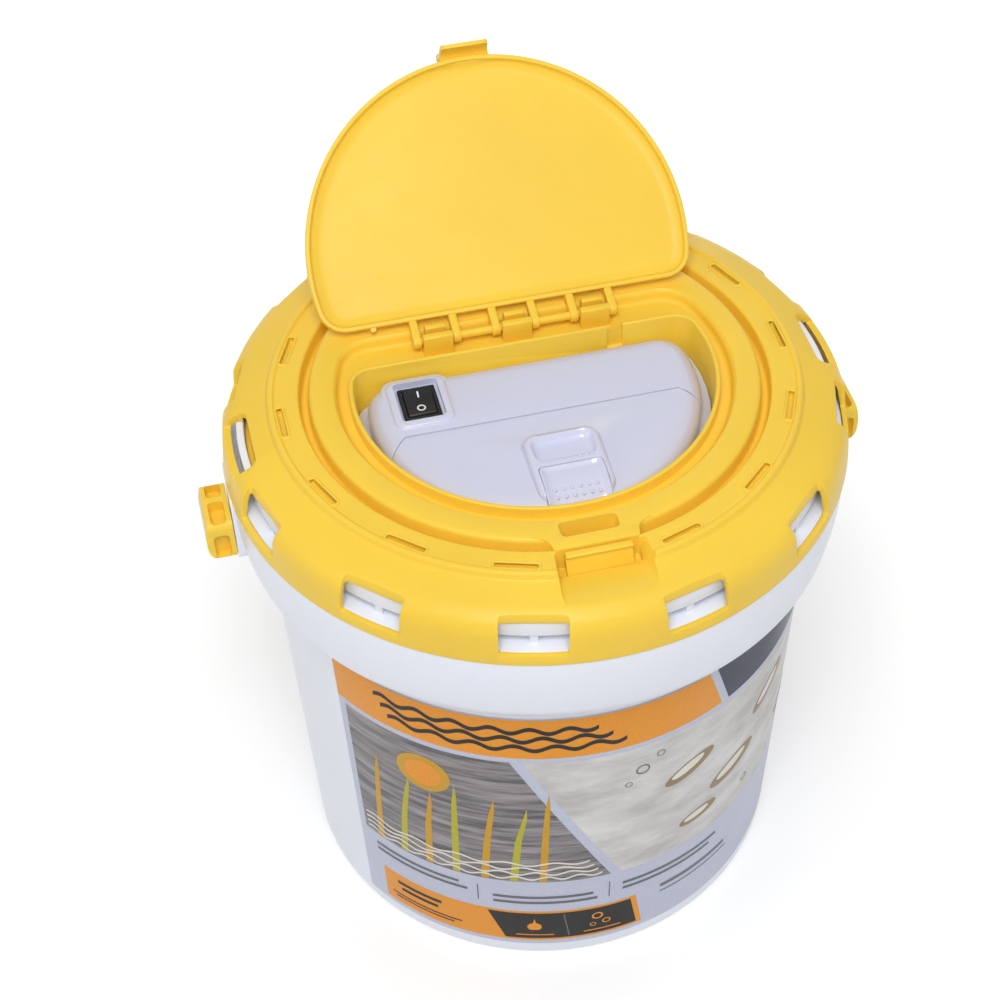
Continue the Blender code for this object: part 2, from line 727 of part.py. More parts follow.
def label():
    """Printed film wrapped round part of the wall."""
    inner = GAP
    outer = GAP + LABEL_THICKNESS
    profile = [
        (wall_radius(LABEL_TOP) + outer, LABEL_TOP),
        (wall_radius(LABEL_BOTTOM) + outer, LABEL_BOTTOM),
        (wall_radius(LABEL_BOTTOM) + inner, LABEL_BOTTOM),
        (wall_radius(LABEL_TOP) + inner, LABEL_TOP),
    ]
    steps = round((LABEL_END_DEG - LABEL_START_DEG) * ROUND_STEPS / 360.0)
    rings = []
    for index in range(steps + 1):
        turn = front_turn(LABEL_START_DEG + (LABEL_END_DEG - LABEL_START_DEG) * index / steps)
        rings.append([turn @ Vector((0.0, -radius, height)) for radius, height in profile])
    film = loft("label", rings)
    return finish(film, material("label_film", (0.75, 0.42, 0.08), 0.4))


def open_point(y, z):
    """The Y and Z that a point of the closed door has when the door is open."""
    turn = math.radians(-DOOR_OPEN_DEG)
    ahead = y - HINGE_Y
    above = z - HINGE_Z
    return (HINGE_Y + ahead * math.cos(turn) - above * math.sin(turn),
            HINGE_Z + ahead * math.sin(turn) + above * math.cos(turn))


def bail_reach():
    """The distance from the pivots to the middle of the arch, which swings past the open door's tab."""
    tip = -(DOOR_RADIUS + TAB_REACH)
    top = door_closed_height() + DOOR_THICKNESS
    corners = [open_point(tip, height) for height in (top, top - TAB_HOOK_DROP)]
    farthest = max(math.hypot(y, z - PIVOT_HEIGHT) for y, z in corners)
    return farthest + BAIL_DOOR_CLEARANCE


def rest_angle():
    """The angle from straight down at which the bail's grip leans on the pail's wall."""
    reach = bail_reach()
    low, high = 0.1, 1.2
    for _ in range(40):
        middle = (low + high) / 2
        bottom = PIVOT_HEIGHT - (reach + HUB_THICKNESS) * math.cos(middle)
        stand_off = (reach * math.sin(middle)) - GRIP_DEPTH / 2 * math.cos(middle)
        if stand_off > wall_radius(max(bottom, 0.0)) + LABEL_THICKNESS + 3 * GAP:
            high = middle
        else:
            low = middle
    return high


def bail_point(across, along, depth, angle):
    """A point of the bail: across is X, along runs from the pivot, depth is square to both."""
    y = along * math.sin(angle) + depth * math.cos(angle)
    z = PIVOT_HEIGHT - along * math.cos(angle) + depth * math.sin(angle)
    return Vector((across, y, z))


def arch_place(offset, turn):
    """The across and along of a place on the arch; offset is from its inner face."""
    half_span = COLLAR_RADIUS + EAR_STAND_OUT + GAP + BAIL_INNER_INSET
    power = 2.0 / BAIL_SQUARENESS
    side = -1.0 if turn < math.pi / 2 else 1.0
    across = side * (half_span + offset) * abs(math.cos(turn)) ** power
    along = (bail_reach() + offset) * abs(math.sin(turn)) ** power
    return across, along


def bail_band(name, inside, outside, low, high, angle, start_deg=0.0, steps=24, cutter=False):
    """A band that follows the bail's arch between two offsets and two depths."""
    rings = []
    for index in range(steps + 1):
        turn = math.radians(start_deg + (180.0 - 2 * start_deg) * index / steps)
        ring = []
        for offset, depth in ((inside, low), (inside, high), (outside, high), (outside, low)):
            across, along = arch_place(offset, turn)
            ring.append(bail_point(across, along, depth, angle))
        rings.append(ring)
    return loft(name, rings, cutter)


def bail_handle():
    """Yellow bail: ribbed arch with a hub at each end and a thicker grip."""
    angle = rest_angle()
    thickness = HUB_THICKNESS - BAIL_INNER_INSET - BAIL_OUTER_INSET
    half = BAIL_DEPTH / 2
    arch = bail_band("bail_handle", 0.0, thickness, -half, half, angle)
    for side in (-1, 1):
        low, high = sorted((side * BAIL_WEB / 2, side * (half + EMBED)))
        groove = bail_band(f"bail_groove_{side + 1}", BAIL_FLANGE, thickness - BAIL_FLANGE, low, high, angle,
                           3.0, 22, True)
        cut(arch, groove)
    join(arch, bail_ribs(angle, thickness), bail_grip(angle))
    for side in (-1, 1):
        join(arch, bail_hub(side))
    for side in (-1, 1):
        cut(arch, *hub_pockets(side))
    return finish(arch, material("yellow_handle", YELLOW, 0.35))


def bail_ribs(angle, thickness):
    """Cross ribs between the flanges of the arch."""
    def fill(data):
        for index in range(BAIL_RIBS):
            share = index / (BAIL_RIBS - 1)
            turn = math.radians(6.0 + 168.0 * share)
            inner = arch_place(BAIL_FLANGE / 2, turn)
            outer = arch_place(thickness - BAIL_FLANGE / 2, turn)
            middle = bail_point((inner[0] + outer[0]) / 2, (inner[1] + outer[1]) / 2, 0.0, angle)
            reach = Vector((outer[0] - inner[0], 0.0, -(outer[1] - inner[1])))
            tilt = math.atan2(reach.x, reach.z)
            place = Matrix.Translation(middle) @ Matrix.Rotation(angle, 4, "X") @ Matrix.Rotation(tilt, 4, "Y")
            half = reach.length / 2
            add_box(data, (-HUB_RIB / 2, -BAIL_DEPTH / 2 + GAP, -half), (HUB_RIB / 2, BAIL_DEPTH / 2 - GAP, half),
                    place)
    return mesh_from("bail_ribs", fill, cutter=True)


def bail_grip(angle):
    """Thicker hand grip in the middle of the arch."""
    low = (-GRIP_LENGTH / 2, -GRIP_DEPTH / 2)
    high = (GRIP_LENGTH / 2, GRIP_DEPTH / 2)
    outline = rounded_box_outline(low, high, GRIP_DEPTH / 2 - GAP, 4)
    start = bail_reach()
    grip = prism("bail_grip", outline, -start - GRIP_HEIGHT, -start, cutter=True)
    grip.data.transform(Matrix.Translation((0, 0, PIVOT_HEIGHT)) @ Matrix.Rotation(angle, 4, "X")
                        @ grip.matrix_world)
    grip.matrix_world = Matrix.Identity(4)
    round_edges(grip, 0.0018)
    return grip


def hub_range(side):
    """The inner and outer X of a bail hub."""
    inner = COLLAR_RADIUS + EAR_STAND_OUT + GAP
    return sorted((side * inner, side * (inner + HUB_THICKNESS)))


def bail_hub(side):
    """The square hub block at one end of the bail."""
    low_x, high_x = hub_range(side)
    outline = rounded_box_outline((-HUB_FRONT, PIVOT_HEIGHT - HUB_HEIGHT / 2),
                                  (HUB_BACK, PIVOT_HEIGHT + HUB_HEIGHT / 2), HUB_CORNER)
    return side_prism(f"bail_hub_{side + 1}", outline, low_x, high_x, cutter=True)


def hub_pockets(side):
    """The pockets in a hub's top and front, and the bore for the pivot pin."""
    low_x, high_x = hub_range(side)
    left = low_x + HUB_FLANGE
    right = high_x - HUB_FLANGE
    top = PIVOT_HEIGHT + HUB_HEIGHT / 2
    rib_y = (HUB_BACK - HUB_FRONT) / 2
    floor = top - HUB_POCKET_DEPTH
    inner = COLLAR_RADIUS + EAR_STAND_OUT
    end = inner + HUB_THICKNESS - HUB_FLANGE + GAP

    def fill(data):
        add_box(data, (left, rib_y + HUB_RIB / 2, floor), (right, HUB_BACK - HUB_FLANGE, top + OVERCUT))
        add_box(data, (left, -HUB_FRONT + HUB_RIB, floor), (right, rib_y - HUB_RIB / 2, top + OVERCUT))
        add_box(data, (left, -HUB_FRONT - OVERCUT, PIVOT_HEIGHT + HUB_RIB / 2),
                (right, -HUB_FRONT + HUB_FLANGE, floor - HUB_RIB / 2))
        add_box(data, (left, -HUB_FRONT - OVERCUT, PIVOT_HEIGHT - HUB_HEIGHT / 2 + HUB_FLANGE),
                (right, -HUB_FRONT + HUB_FLANGE, PIVOT_HEIGHT - HUB_RIB / 2))
    pockets = mesh_from(f"hub_pockets_{side + 1}", fill, cutter=True)
    bore = rod(f"hub_bore_{side + 1}", (side * (inner - OVERCUT), 0.0, PIVOT_HEIGHT),
               (side * end, 0.0, PIVOT_HEIGHT), PIVOT_PIN_RADIUS + RUNNING_GAP, cutter=True)
    return pockets, bore


def lid():
    """Yellow lid with its skirt, ring, platform, D-shaped well and hinge posts."""
    shell = turned("lid", lid_profile())
    recess = prism("lid_recess", d_outline(RECESS_RADIUS, RECESS_BACK, RECESS_CORNER),
                   RECESS_FLOOR, LID_TOP + OVERCUT, cutter=True)
    tub = prism("lid_tub", d_outline(RECESS_RADIUS + LID_THICKNESS, RECESS_BACK + LID_THICKNESS,
                                     RECESS_CORNER + LID_THICKNESS),
                RECESS_FLOOR - LID_THICKNESS, LID_TOP - EMBED, cutter=True)
    join(shell, tub)
    cut(shell, recess)
    bottom = WELL_FLOOR - WELL_FLOOR_THICKNESS
    wall = prism("lid_d_wall", d_outline(D_WALL_RADIUS, D_WALL_BACK, D_WALL_CORNER),
                 bottom, LID_TOP, cutter=True)
    well = prism("lid_well", d_outline(D_WALL_RADIUS - D_WALL, D_WALL_BACK - D_WALL, D_WALL_CORNER - D_WALL),
                 WELL_FLOOR, LID_TOP + OVERCUT, cutter=True)
    opening = prism("lid_opening", ledge_outline(0.0), bottom - OVERCUT, LID_TOP + OVERCUT, cutter=True)
    join(shell, wall)
    cut(shell, well, opening)
    join(shell, lid_nose(), lid_slot_rims(), ramp_block())
    cut(shell, lid_windows(), lid_slots(), lid_front_cuts(), lid_ramp())
    join(shell, hinge_posts())
    cut(shell, hinge_bore(), *[screw_hole(index) for index in range(len(screw_places()))])
    return finish(shell, material("yellow_shell", YELLOW, 0.34))


def ledge_outline(clearance):
    """The opening in the well's floor that the aerator's tub hangs through, less a clearance."""
    inset = D_WALL + WELL_LEDGE + clearance
    return d_outline(D_WALL_RADIUS - inset, D_WALL_BACK - inset, D_WALL_CORNER - D_WALL)


def lid_profile():
    """The turned section of the lid, from the centre of the top round to its underside."""
    wall = LID_THICKNESS
    groove = LID_TOP - GROOVE_DEPTH
    ring_outer = BEAD_RADIUS - BEAD_WIDTH / 2
    bead_out = BEAD_RADIUS + BEAD_WIDTH / 2
    top = [
        (0.0, LID_TOP),
        (PLATFORM_RADIUS - 0.0010, LID_TOP),
        (PLATFORM_RADIUS, LID_TOP - 0.0010),
        (PLATFORM_RADIUS + 0.0006, groove),
        (RING_INNER_RADIUS - 0.0004, groove),
        (RING_INNER_RADIUS + 0.0004, LID_TOP - 0.0004),
        (ring_outer, LID_TOP - 0.0012),
        (BEAD_RADIUS - BEAD_WIDTH / 4, LID_TOP - 0.0002),
        (BEAD_RADIUS + BEAD_WIDTH / 4, LID_TOP - 0.0002),
        (bead_out, LID_TOP - 0.0018),
        (CREST_RADIUS - 0.0020, CREST_HEIGHT + 0.0008),
        (CREST_RADIUS + (LID_RADIUS - CREST_RADIUS) * 0.35, CREST_HEIGHT - 0.0014),
        (CREST_RADIUS + (LID_RADIUS - CREST_RADIUS) * 0.70, CREST_HEIGHT - 0.0050),
        (LID_RADIUS, SKIRT_BOTTOM),
    ]
    rib_in = RIM_RADIUS + RIM_LIP_WIDTH / 2 - SEAL_RIB_WIDTH / 2
    rib_out = rib_in + SEAL_RIB_WIDTH
    rib_end = RIM_TOP + GAP
    under = [
        (LID_RADIUS - wall, SKIRT_BOTTOM),
        (LID_RADIUS - wall - 0.0002, COLLAR_TOP + LEDGE_HEIGHT + 0.0015),
        (CREST_RADIUS + (LID_RADIUS - CREST_RADIUS) * 0.70 - wall, CREST_HEIGHT - 0.0062),
        (rib_out, CREST_HEIGHT - wall + 0.0002),
        (rib_out, rib_end),
        (rib_in, rib_end),
        (rib_in, CREST_HEIGHT - wall + 0.0010),
        (bead_out, LID_TOP - 0.0018 - wall),
        (RING_INNER_RADIUS + wall, LID_TOP - 0.0005 - wall),
        (RING_INNER_RADIUS + wall, groove - wall),
        (PLATFORM_RADIUS - wall, groove - wall),
        (PLATFORM_RADIUS - wall, LID_TOP - wall),
        (0.0, LID_TOP - wall),
    ]
    return top + under


def lid_windows():
    """Cutters for the windows, which open the skirt from their sills up over the shoulder."""
    def fill(data):
        for angle in window_angles():
            add_box(data, (-WINDOW_WIDTH / 2, -LID_RADIUS - OVERCUT, WINDOW_SILL),
                    (WINDOW_WIDTH / 2, -LID_RADIUS + WINDOW_DEPTH, LID_TOP), front_turn(angle))
        for angle in (-90.0, 90.0):
            add_box(data, (-SIDE_WINDOW_WIDTH / 2, -LID_RADIUS - OVERCUT, SIDE_WINDOW_SILL),
                    (SIDE_WINDOW_WIDTH / 2, -LID_RADIUS + SIDE_WINDOW_DEPTH, LID_TOP), front_turn(angle))
    return mesh_from("lid_windows", fill, cutter=True)


def lid_slots():
    """Cutters for the slots in the ring."""
    def fill(data):
        for angle in slot_angles():
            add_box(data, (-SLOT_LENGTH / 2, -SLOT_RADIUS - SLOT_WIDTH / 2, LID_TOP - 2 * OVERCUT),
                    (SLOT_LENGTH / 2, -SLOT_RADIUS + SLOT_WIDTH / 2, LID_TOP + OVERCUT), front_turn(angle))
    return mesh_from("lid_slots", fill, cutter=True)


def lid_slot_rims():
    """Slim raised rims round the slots."""
    length = SLOT_LENGTH / 2 + SLOT_RIM
    width = SLOT_WIDTH / 2 + SLOT_RIM

    def fill(data):
        for angle in slot_angles():
            add_box(data, (-length, -SLOT_RADIUS - width, LID_TOP - LID_THICKNESS),
                    (length, -SLOT_RADIUS + width, LID_TOP + SLOT_RIM_HEIGHT), front_turn(angle))
    return mesh_from("lid_slot_rims", fill, cutter=True)


def lid_nose():
    """The flat bridge from the platform to the latch at the front."""
    return box("lid_nose", (-NOSE_WIDTH / 2, -NOSE_FRONT, LID_TOP - NOSE_THICKNESS),
               (NOSE_WIDTH / 2, -RECESS_RADIUS, LID_TOP), cutter=True)


def lid_front_cuts():
    """The hook slot in the nose, the notch in the well's back wall and the gap round the catch."""
    side = CATCH_WIDTH / 2 + CATCH_GAP + CATCH_SIDE_ROOM
    back = NOSE_FRONT + CATCH_LEAN + CATCH_THICKNESS + CATCH_GAP

    def fill(data):
        add_box(data, (-HOOK_SLOT_WIDTH / 2, -HOOK_SLOT_FRONT, RAMP_FLOOR - LID_THICKNESS - OVERCUT),
                (HOOK_SLOT_WIDTH / 2, -HOOK_SLOT_BACK, LID_TOP + OVERCUT))
        add_box(data, (NOTCH_X - NOTCH_WIDTH / 2, D_WALL_BACK - D_WALL - OVERCUT, NOTCH_BOTTOM),
                (NOTCH_X + NOTCH_WIDTH / 2, D_WALL_BACK + EMBED, LID_TOP + OVERCUT))
        add_box(data, (-side, -back, CATCH_BASE - 0.0004),
                (side, -NOSE_FRONT, LID_TOP + OVERCUT))
    return mesh_from("lid_front_cuts", fill, cutter=True)


def ramp_height(distance):
    """The height of the ramp's floor at a distance in front of the axis."""
    share = (distance - NOSE_FRONT) / (RAMP_END - NOSE_FRONT)
    return RAMP_FLOOR + RAMP_RISE * share


def ramp_block():
    """Material under and beside the ramp, kept below the ring and the shoulder."""
    start = NOSE_FRONT + GAP
    knee = BEAD_RADIUS + BEAD_WIDTH / 4
    outline = [
        (-start, LID_TOP - 0.0014),
        (-knee, LID_TOP - 0.0024),
        (-RAMP_BLOCK_END, CREST_HEIGHT + 0.0006),
        (-RAMP_BLOCK_END, ramp_height(RAMP_BLOCK_END) - RAMP_THICKNESS),
        (-start, ramp_height(start) - RAMP_THICKNESS),
    ]
    half = RAMP_HALF_WIDTH + RAMP_FLARE + LID_THICKNESS
    return side_prism("ramp_block", outline, -half, half, cutter=True)


def lid_ramp():
    """Cutter for the ramp that opens the ring and shoulder in front of the latch."""
    start = NOSE_FRONT + CATCH_GAP
    end = LID_RADIUS + OVERCUT
    wide = RAMP_HALF_WIDTH + RAMP_FLARE
    outline = [(-wide, -end), (wide, -end), (RAMP_HALF_WIDTH, -start), (-RAMP_HALF_WIDTH, -start)]
    cutter = prism("lid_ramp", outline, RAMP_FLOOR - OVERCUT, LID_TOP + OVERCUT, cutter=True)
    below = [
        (-start + OVERCUT, RAMP_FLOOR - 2 * OVERCUT),
        (-start + OVERCUT, ramp_height(start - OVERCUT)),
        (-end - OVERCUT, ramp_height(end + OVERCUT)),
        (-end - OVERCUT, RAMP_FLOOR - 2 * OVERCUT),
    ]
    cut(cutter, side_prism("ramp_ground", below, -2 * wide, 2 * wide, cutter=True))
    return as_mesh(cutter)


def arm_places():
    """The X of the door's hinge arms, from left to right."""
    return [ARM_PITCH * (index - 2.5) for index in range(6)]


def post_places():
    """The X of the hinge posts, which stand between pairs of arms."""
    arms = arm_places()
    return [(arms[index] + arms[index + 1]) / 2 for index in (0, 2, 4)]


def hinge_posts():
    """Three posts on the recess floor whose jaws clasp the door's hinge rod."""
    half = (ARM_PITCH - ARM_WIDTH) / 2 - POST_CLEARANCE
    base = RECESS_FLOOR - EMBED
    front = HINGE_Y - JAW_FRONT
    rear = HINGE_Y + JAW_REAR

    def fill(data):
        for place in post_places():
            outline_low = HINGE_Z + FRONT_JAW_HEIGHT
            add_box(data, (place - half, front, base), (place + half, HINGE_Y - JAW_SLOT / 2, outline_low))
            add_box(data, (place - REAR_JAW_WIDTH / 2, HINGE_Y + JAW_SLOT / 2, base + 2 * EMBED),
                    (place + REAR_JAW_WIDTH / 2, rear, HINGE_Z + REAR_JAW_HEIGHT))
            add_box(data, (place - half + EMBED / 2, front + EMBED, base + EMBED / 2),
                    (place + half - EMBED / 2, rear - EMBED / 2, HINGE_Z - ROD_RADIUS))
    posts = mesh_from("hinge_posts", fill, cutter=True)
    return union_self(posts)


def hinge_bore():
    """Cutter for the seat of the hinge rod in the posts."""
    half = arm_places()[-1] + ARM_WIDTH
    return rod("hinge_bore", (-half, HINGE_Y, HINGE_Z), (half, HINGE_Y, HINGE_Z),
               ROD_RADIUS + RUNNING_GAP, cutter=True)


def door_catch():
    """The springy tongue in front of the nose that holds the door's hook."""
    half = CATCH_WIDTH / 2
    top_y = -(NOSE_FRONT + CATCH_GAP)
    base_y = top_y - CATCH_LEAN
    outline = [
        (base_y, CATCH_BASE),
        (top_y, CATCH_TOP - CATCH_LIP),
        (top_y, CATCH_TOP),
        (top_y - CATCH_THICKNESS - 0.0008, CATCH_TOP),
        (top_y - CATCH_THICKNESS - 0.0012, CATCH_TOP - CATCH_LIP * 0.6),
        (top_y - CATCH_THICKNESS, CATCH_TOP - CATCH_LIP),
        (base_y - CATCH_THICKNESS, CATCH_BASE),
    ]
    tongue = side_prism("door_catch", outline, -half, half)
    return finish(tongue, material("yellow_shell", YELLOW, 0.34))


def door_closed_height():
    """The height of the closed door's lip, just above the well's wall."""
    return LID_TOP + DOOR_SEAT_GAP


def access_door():
    """Yellow D-shaped door with its lip, hinge arms, rod and latch tab, built closed and turned open."""
    low = door_closed_height()
    high = low + DOOR_THICKNESS
    door = prism("access_door", d_outline(DOOR_RADIUS, DOOR_BACK, DOOR_CORNER), low, high)
    door.data.transform(door.matrix_world)
    door.matrix_world = Matrix.Identity(4)
    top_edge_bevel(door, high, DOOR_EDGE_ROUND)
    dish = prism("door_dish", d_outline(DOOR_RADIUS - DOOR_LIP, DOOR_BACK - DOOR_LIP, DOOR_CORNER - DOOR_LIP),
                 low - OVERCUT, high - DOOR_PANEL, cutter=True)
    cut(door, dish)
    join(door, door_front_land(low, high), door_arms(low, high), door_tab(high))
    rods = rod("door_rod", (arm_places()[0], HINGE_Y, HINGE_Z), (arm_places()[-1], HINGE_Y, HINGE_Z),
               ROD_RADIUS, cutter=True)
    join(door, rods)
    door = as_mesh(door)
    door.data.transform(Matrix.Translation((0.0, -HINGE_Y, -HINGE_Z)))
    door.location = (0.0, HINGE_Y, HINGE_Z)
    door.rotation_euler.x = -math.radians(DOOR_OPEN_DEG)
    return finish(door, material("yellow_door", (0.90, 0.62, 0.08), 0.38))


def top_edge_bevel(part, height, width, segments=2):
    """Round only the edges that lie at one height."""
    data = bmesh.new()
    data.from_mesh(part.data)
    edges = []
    for edge in data.edges:
        level = all(abs(vert.co.z - height) < 0.00001 for vert in edge.verts)
        if level and len(edge.link_faces) == 2 and edge.calc_face_angle(0.0) > 0.5:
            edges.append(edge)
    bmesh.ops.bevel(data, geom=edges, offset=width, segments=segments, affect="EDGES", profile=0.5)
    data.to_mesh(part.data)
    data.free()


def door_front_land(low, high):
    """The wider flat land inside the lip, next to the tab."""
    return box("door_front_land", (-TAB_WIDTH / 2 - 0.0030, -DOOR_RADIUS + DOOR_LIP / 2, low + GAP),
               (TAB_WIDTH / 2 + 0.0030, -DOOR_RADIUS + 2.4 * DOOR_LIP, high - DOOR_PANEL / 2), cutter=True)


def door_arms(low, high):
    """Six arms that reach from the door's straight edge to the hinge rod."""
    circle = arc((HINGE_Y, HINGE_Z), ARM_END_RADIUS, -120.0, 60.0, 8)
    outline = circle + [
        (HINGE_Y - 0.0045, HINGE_Z + 0.0032),
        (DOOR_BACK + 0.0010, high - EMBED),
        (DOOR_BACK - DOOR_LIP / 2, high - EMBED),
        (DOOR_BACK - DOOR_LIP / 2, low + EMBED),
    ]
    joined = bmesh.new()
    for index, place in enumerate(arm_places()):
        arm = side_prism(f"door_arm_{index}", outline, place - ARM_WIDTH / 2, place + ARM_WIDTH / 2, cutter=True)
        joined.from_mesh(arm.data)
        bpy.data.objects.remove(arm)
    mesh = bpy.data.meshes.new("door_arms")
    joined.to_mesh(mesh)
    joined.free()
    return new_object("door_arms", mesh, cutter=True)


def door_tab(high):
    """The J-shaped latch tab at the front of the door."""
    root = -DOOR_RADIUS + DOOR_LIP / 2
    tip = -DOOR_RADIUS - TAB_REACH
    top = high - 0.0002
    outline = [
        (root, top),
        (tip + 0.0016, top),
        (tip + 0.0004, top - 0.0006),
        (tip, top - 0.0018),
        (tip, top - TAB_HOOK_DROP),
        (tip + TAB_THICKNESS, top - TAB_HOOK_DROP),
        (tip + TAB_THICKNESS, top - TAB_THICKNESS - 0.0010),
        (tip + TAB_THICKNESS + 0.0010, top - TAB_THICKNESS),
        (root, top - TAB_THICKNESS),
    ]
    return side_prism("door_tab", outline, -TAB_WIDTH / 2, TAB_WIDTH / 2, cutter=True)


def base_top():
    """The height of the top of the aerator base's flange."""
    return WELL_FLOOR + GAP + FLANGE_THICKNESS


def aerator_base():
    """White tub that hangs through the lid and holds the cells and the pump."""
    flange_inset = D_WALL + FLANGE_CLEARANCE
    flange = prism("base_flange", d_outline(D_WALL_RADIUS - flange_inset, D_WALL_BACK - flange_inset,
                                            D_WALL_CORNER - D_WALL),
                   WELL_FLOOR + GAP, base_top(), cutter=True)
    tub = prism("aerator_base", ledge_outline(BASE_CLEARANCE), BASE_BOTTOM, base_top() - EMBED / 2)
    join(tub, flange)
    hollow = prism("base_hollow", ledge_outline(BASE_CLEARANCE + BASE_WALL), BASE_BOTTOM + BASE_WALL,
                   base_top() + OVERCUT, cutter=True)
    cut(tub, hollow)
    half = D_WALL_RADIUS - D_WALL - WELL_LEDGE - BASE_CLEARANCE - BASE_WALL
    partition = box("base_partition", (-half + EMBED, -PARTITION_FRONT, BASE_BOTTOM + BASE_WALL / 2),
                    (half - EMBED, -PARTITION_FRONT + PARTITION_THICKNESS, base_top() - EMBED), cutter=True)
    join(tub, partition)
    nipple_hole = rod("base_nipple_hole", (outlet_x(), PUMP_Y, BASE_BOTTOM - OVERCUT),
                      (outlet_x(), PUMP_Y, BASE_BOTTOM + BASE_WALL + EMBED),
                      NIPPLE_RADIUS + GAP, cutter=True)
    cut(tub, nipple_hole, *wire_holes())
    cut(tub, *[screw_hole(index, "base_screw_hole") for index in range(len(screw_places()))])
    return finish(tub, material("white_housing", WHITE, 0.3))


def outlet_x():
    """The X of the air outlet, under the pump's head."""
    head_start = PUMP_X + PUMP_BODY_LENGTH + VALVE_THICKNESS + 2 * GAP
    return head_start + HEAD_LENGTH / 2


def screw_places():
    """The X and Y of the screws that hold the aerator's flange to the well's floor."""
    inset = D_WALL + (WELL_LEDGE + FLANGE_CLEARANCE) / 2
    radius = D_WALL_RADIUS - inset
    angle = math.radians(SCREW_FRONT_DEG)
    back = D_WALL_BACK - inset
    front = [(side * radius * math.sin(angle), -radius * math.cos(angle)) for side in (-1, 1)]
    return front + [(side * SCREW_BACK_X, back) for side in (-1, 1)]


def screw_hole(index, name="lid_screw_hole"):
    """Cutter for one screw through the well's floor and the flange."""
    x, y = screw_places()[index]
    return rod(f"{name}_{index}", (x, y, WELL_FLOOR - WELL_FLOOR_THICKNESS - OVERCUT),
               (x, y, base_top() + OVERCUT), SCREW_RADIUS + SCREW_CLEARANCE, 12, cutter=True)


def flange_screw(index):
    """One pan-head screw, driven from under the lid."""
    x, y = screw_places()[index]
    seat = WELL_FLOOR - WELL_FLOOR_THICKNESS - GAP
    head = seat - SCREW_HEAD_HEIGHT
    screw = rod(f"flange_screw_{index + 1}", (x, y, head), (x, y, seat), SCREW_HEAD_RADIUS, 16)
    shank = rod(f"screw_shank_{index}", (x, y, seat - EMBED / 2), (x, y, base_top() - GAP),
                SCREW_RADIUS, 12, cutter=True)

    def fill(data):
        length = SCREW_HEAD_RADIUS * 0.7
        half = SCREW_DRIVE_WIDTH / 2
        add_box(data, (x - length, y - half, head - OVERCUT), (x + length, y + half, head + SCREW_HEAD_HEIGHT / 2))
        add_box(data, (x - half, y - length, head - OVERCUT - GAP), (x + half, y + length,
                                                                     head + SCREW_HEAD_HEIGHT / 2 - GAP))
    join(screw, shank)
    drive = union_self(mesh_from(f"screw_drive_{index}", fill, cutter=True))
    cut(screw, drive)
    return finish(screw, material("screw_steel", (0.55, 0.55, 0.57), 0.35, 1.0))


def gasket_bottom():
    """The height of the underside of the housing gasket."""
    return base_top() + GAP


def cover_bottom():
    """The height at which the cover and the battery door stand on the gasket."""
    return gasket_bottom() + GASKET_THICKNESS + GAP


def housing_gasket():
    """Rubber ring between the tub's flange and the cover."""
    outer = d_outline(COVER_RADIUS - GAP, COVER_BACK - GAP, COVER_CORNER)
    ring = prism("housing_gasket", outer, gasket_bottom(), gasket_bottom() + GASKET_THICKNESS)
    hole = prism("gasket_hole", d_outline(COVER_RADIUS - GAP - GASKET_WIDTH, COVER_BACK - GAP - GASKET_WIDTH,
                                          COVER_CORNER - GASKET_WIDTH),
                 gasket_bottom() - OVERCUT, gasket_bottom() + OVERCUT, cutter=True)
    cut(ring, hole)
    return finish(ring, material("black_rubber", (0.03, 0.03, 0.03), 0.7))


def seam_outline(gap):
    """The region in front of the seam, where the battery door lies; gap moves its edge forward."""
    slope_x = SEAM_END_X - SEAM_HALF_WIDTH
    slope_y = SEAM_END_Y - SEAM_Y
    far_x = SEAM_END_X + 2 * slope_x
    far_y = SEAM_END_Y + 2 * slope_y
    side = COVER_RADIUS + 0.02
    return [
        (-side, -side),
        (side, -side),
        (side, far_y - gap),
        (far_x, far_y - gap),
        (SEAM_HALF_WIDTH, SEAM_Y - gap),
        (-SEAM_HALF_WIDTH, SEAM_Y - gap),
        (-far_x, far_y - gap),
        (-side, far_y - gap),
    ]


def housing_shell(name):
    """The closed D-shaped hood that both the cover and the battery door are cut from."""
    bottom = cover_bottom()
    hood = prism(name, d_outline(COVER_RADIUS, COVER_BACK, COVER_CORNER), bottom, COVER_TOP)
    hood.data.transform(hood.matrix_world)
    hood.matrix_world = Matrix.Identity(4)
    top_edge_bevel(hood, COVER_TOP, COVER_EDGE_ROUND, 4)
    inside = prism(f"{name}_inside", d_outline(COVER_RADIUS - COVER_SHELL, COVER_BACK - COVER_SHELL,
                                               COVER_CORNER - COVER_SHELL),
                   bottom - OVERCUT, COVER_TOP - COVER_SHELL, cutter=True)
    inside.data.transform(inside.matrix_world)
    inside.matrix_world = Matrix.Identity(4)
    top_edge_bevel(inside, COVER_TOP - COVER_SHELL, COVER_EDGE_ROUND - COVER_SHELL / 2, 2)
    return hood, inside


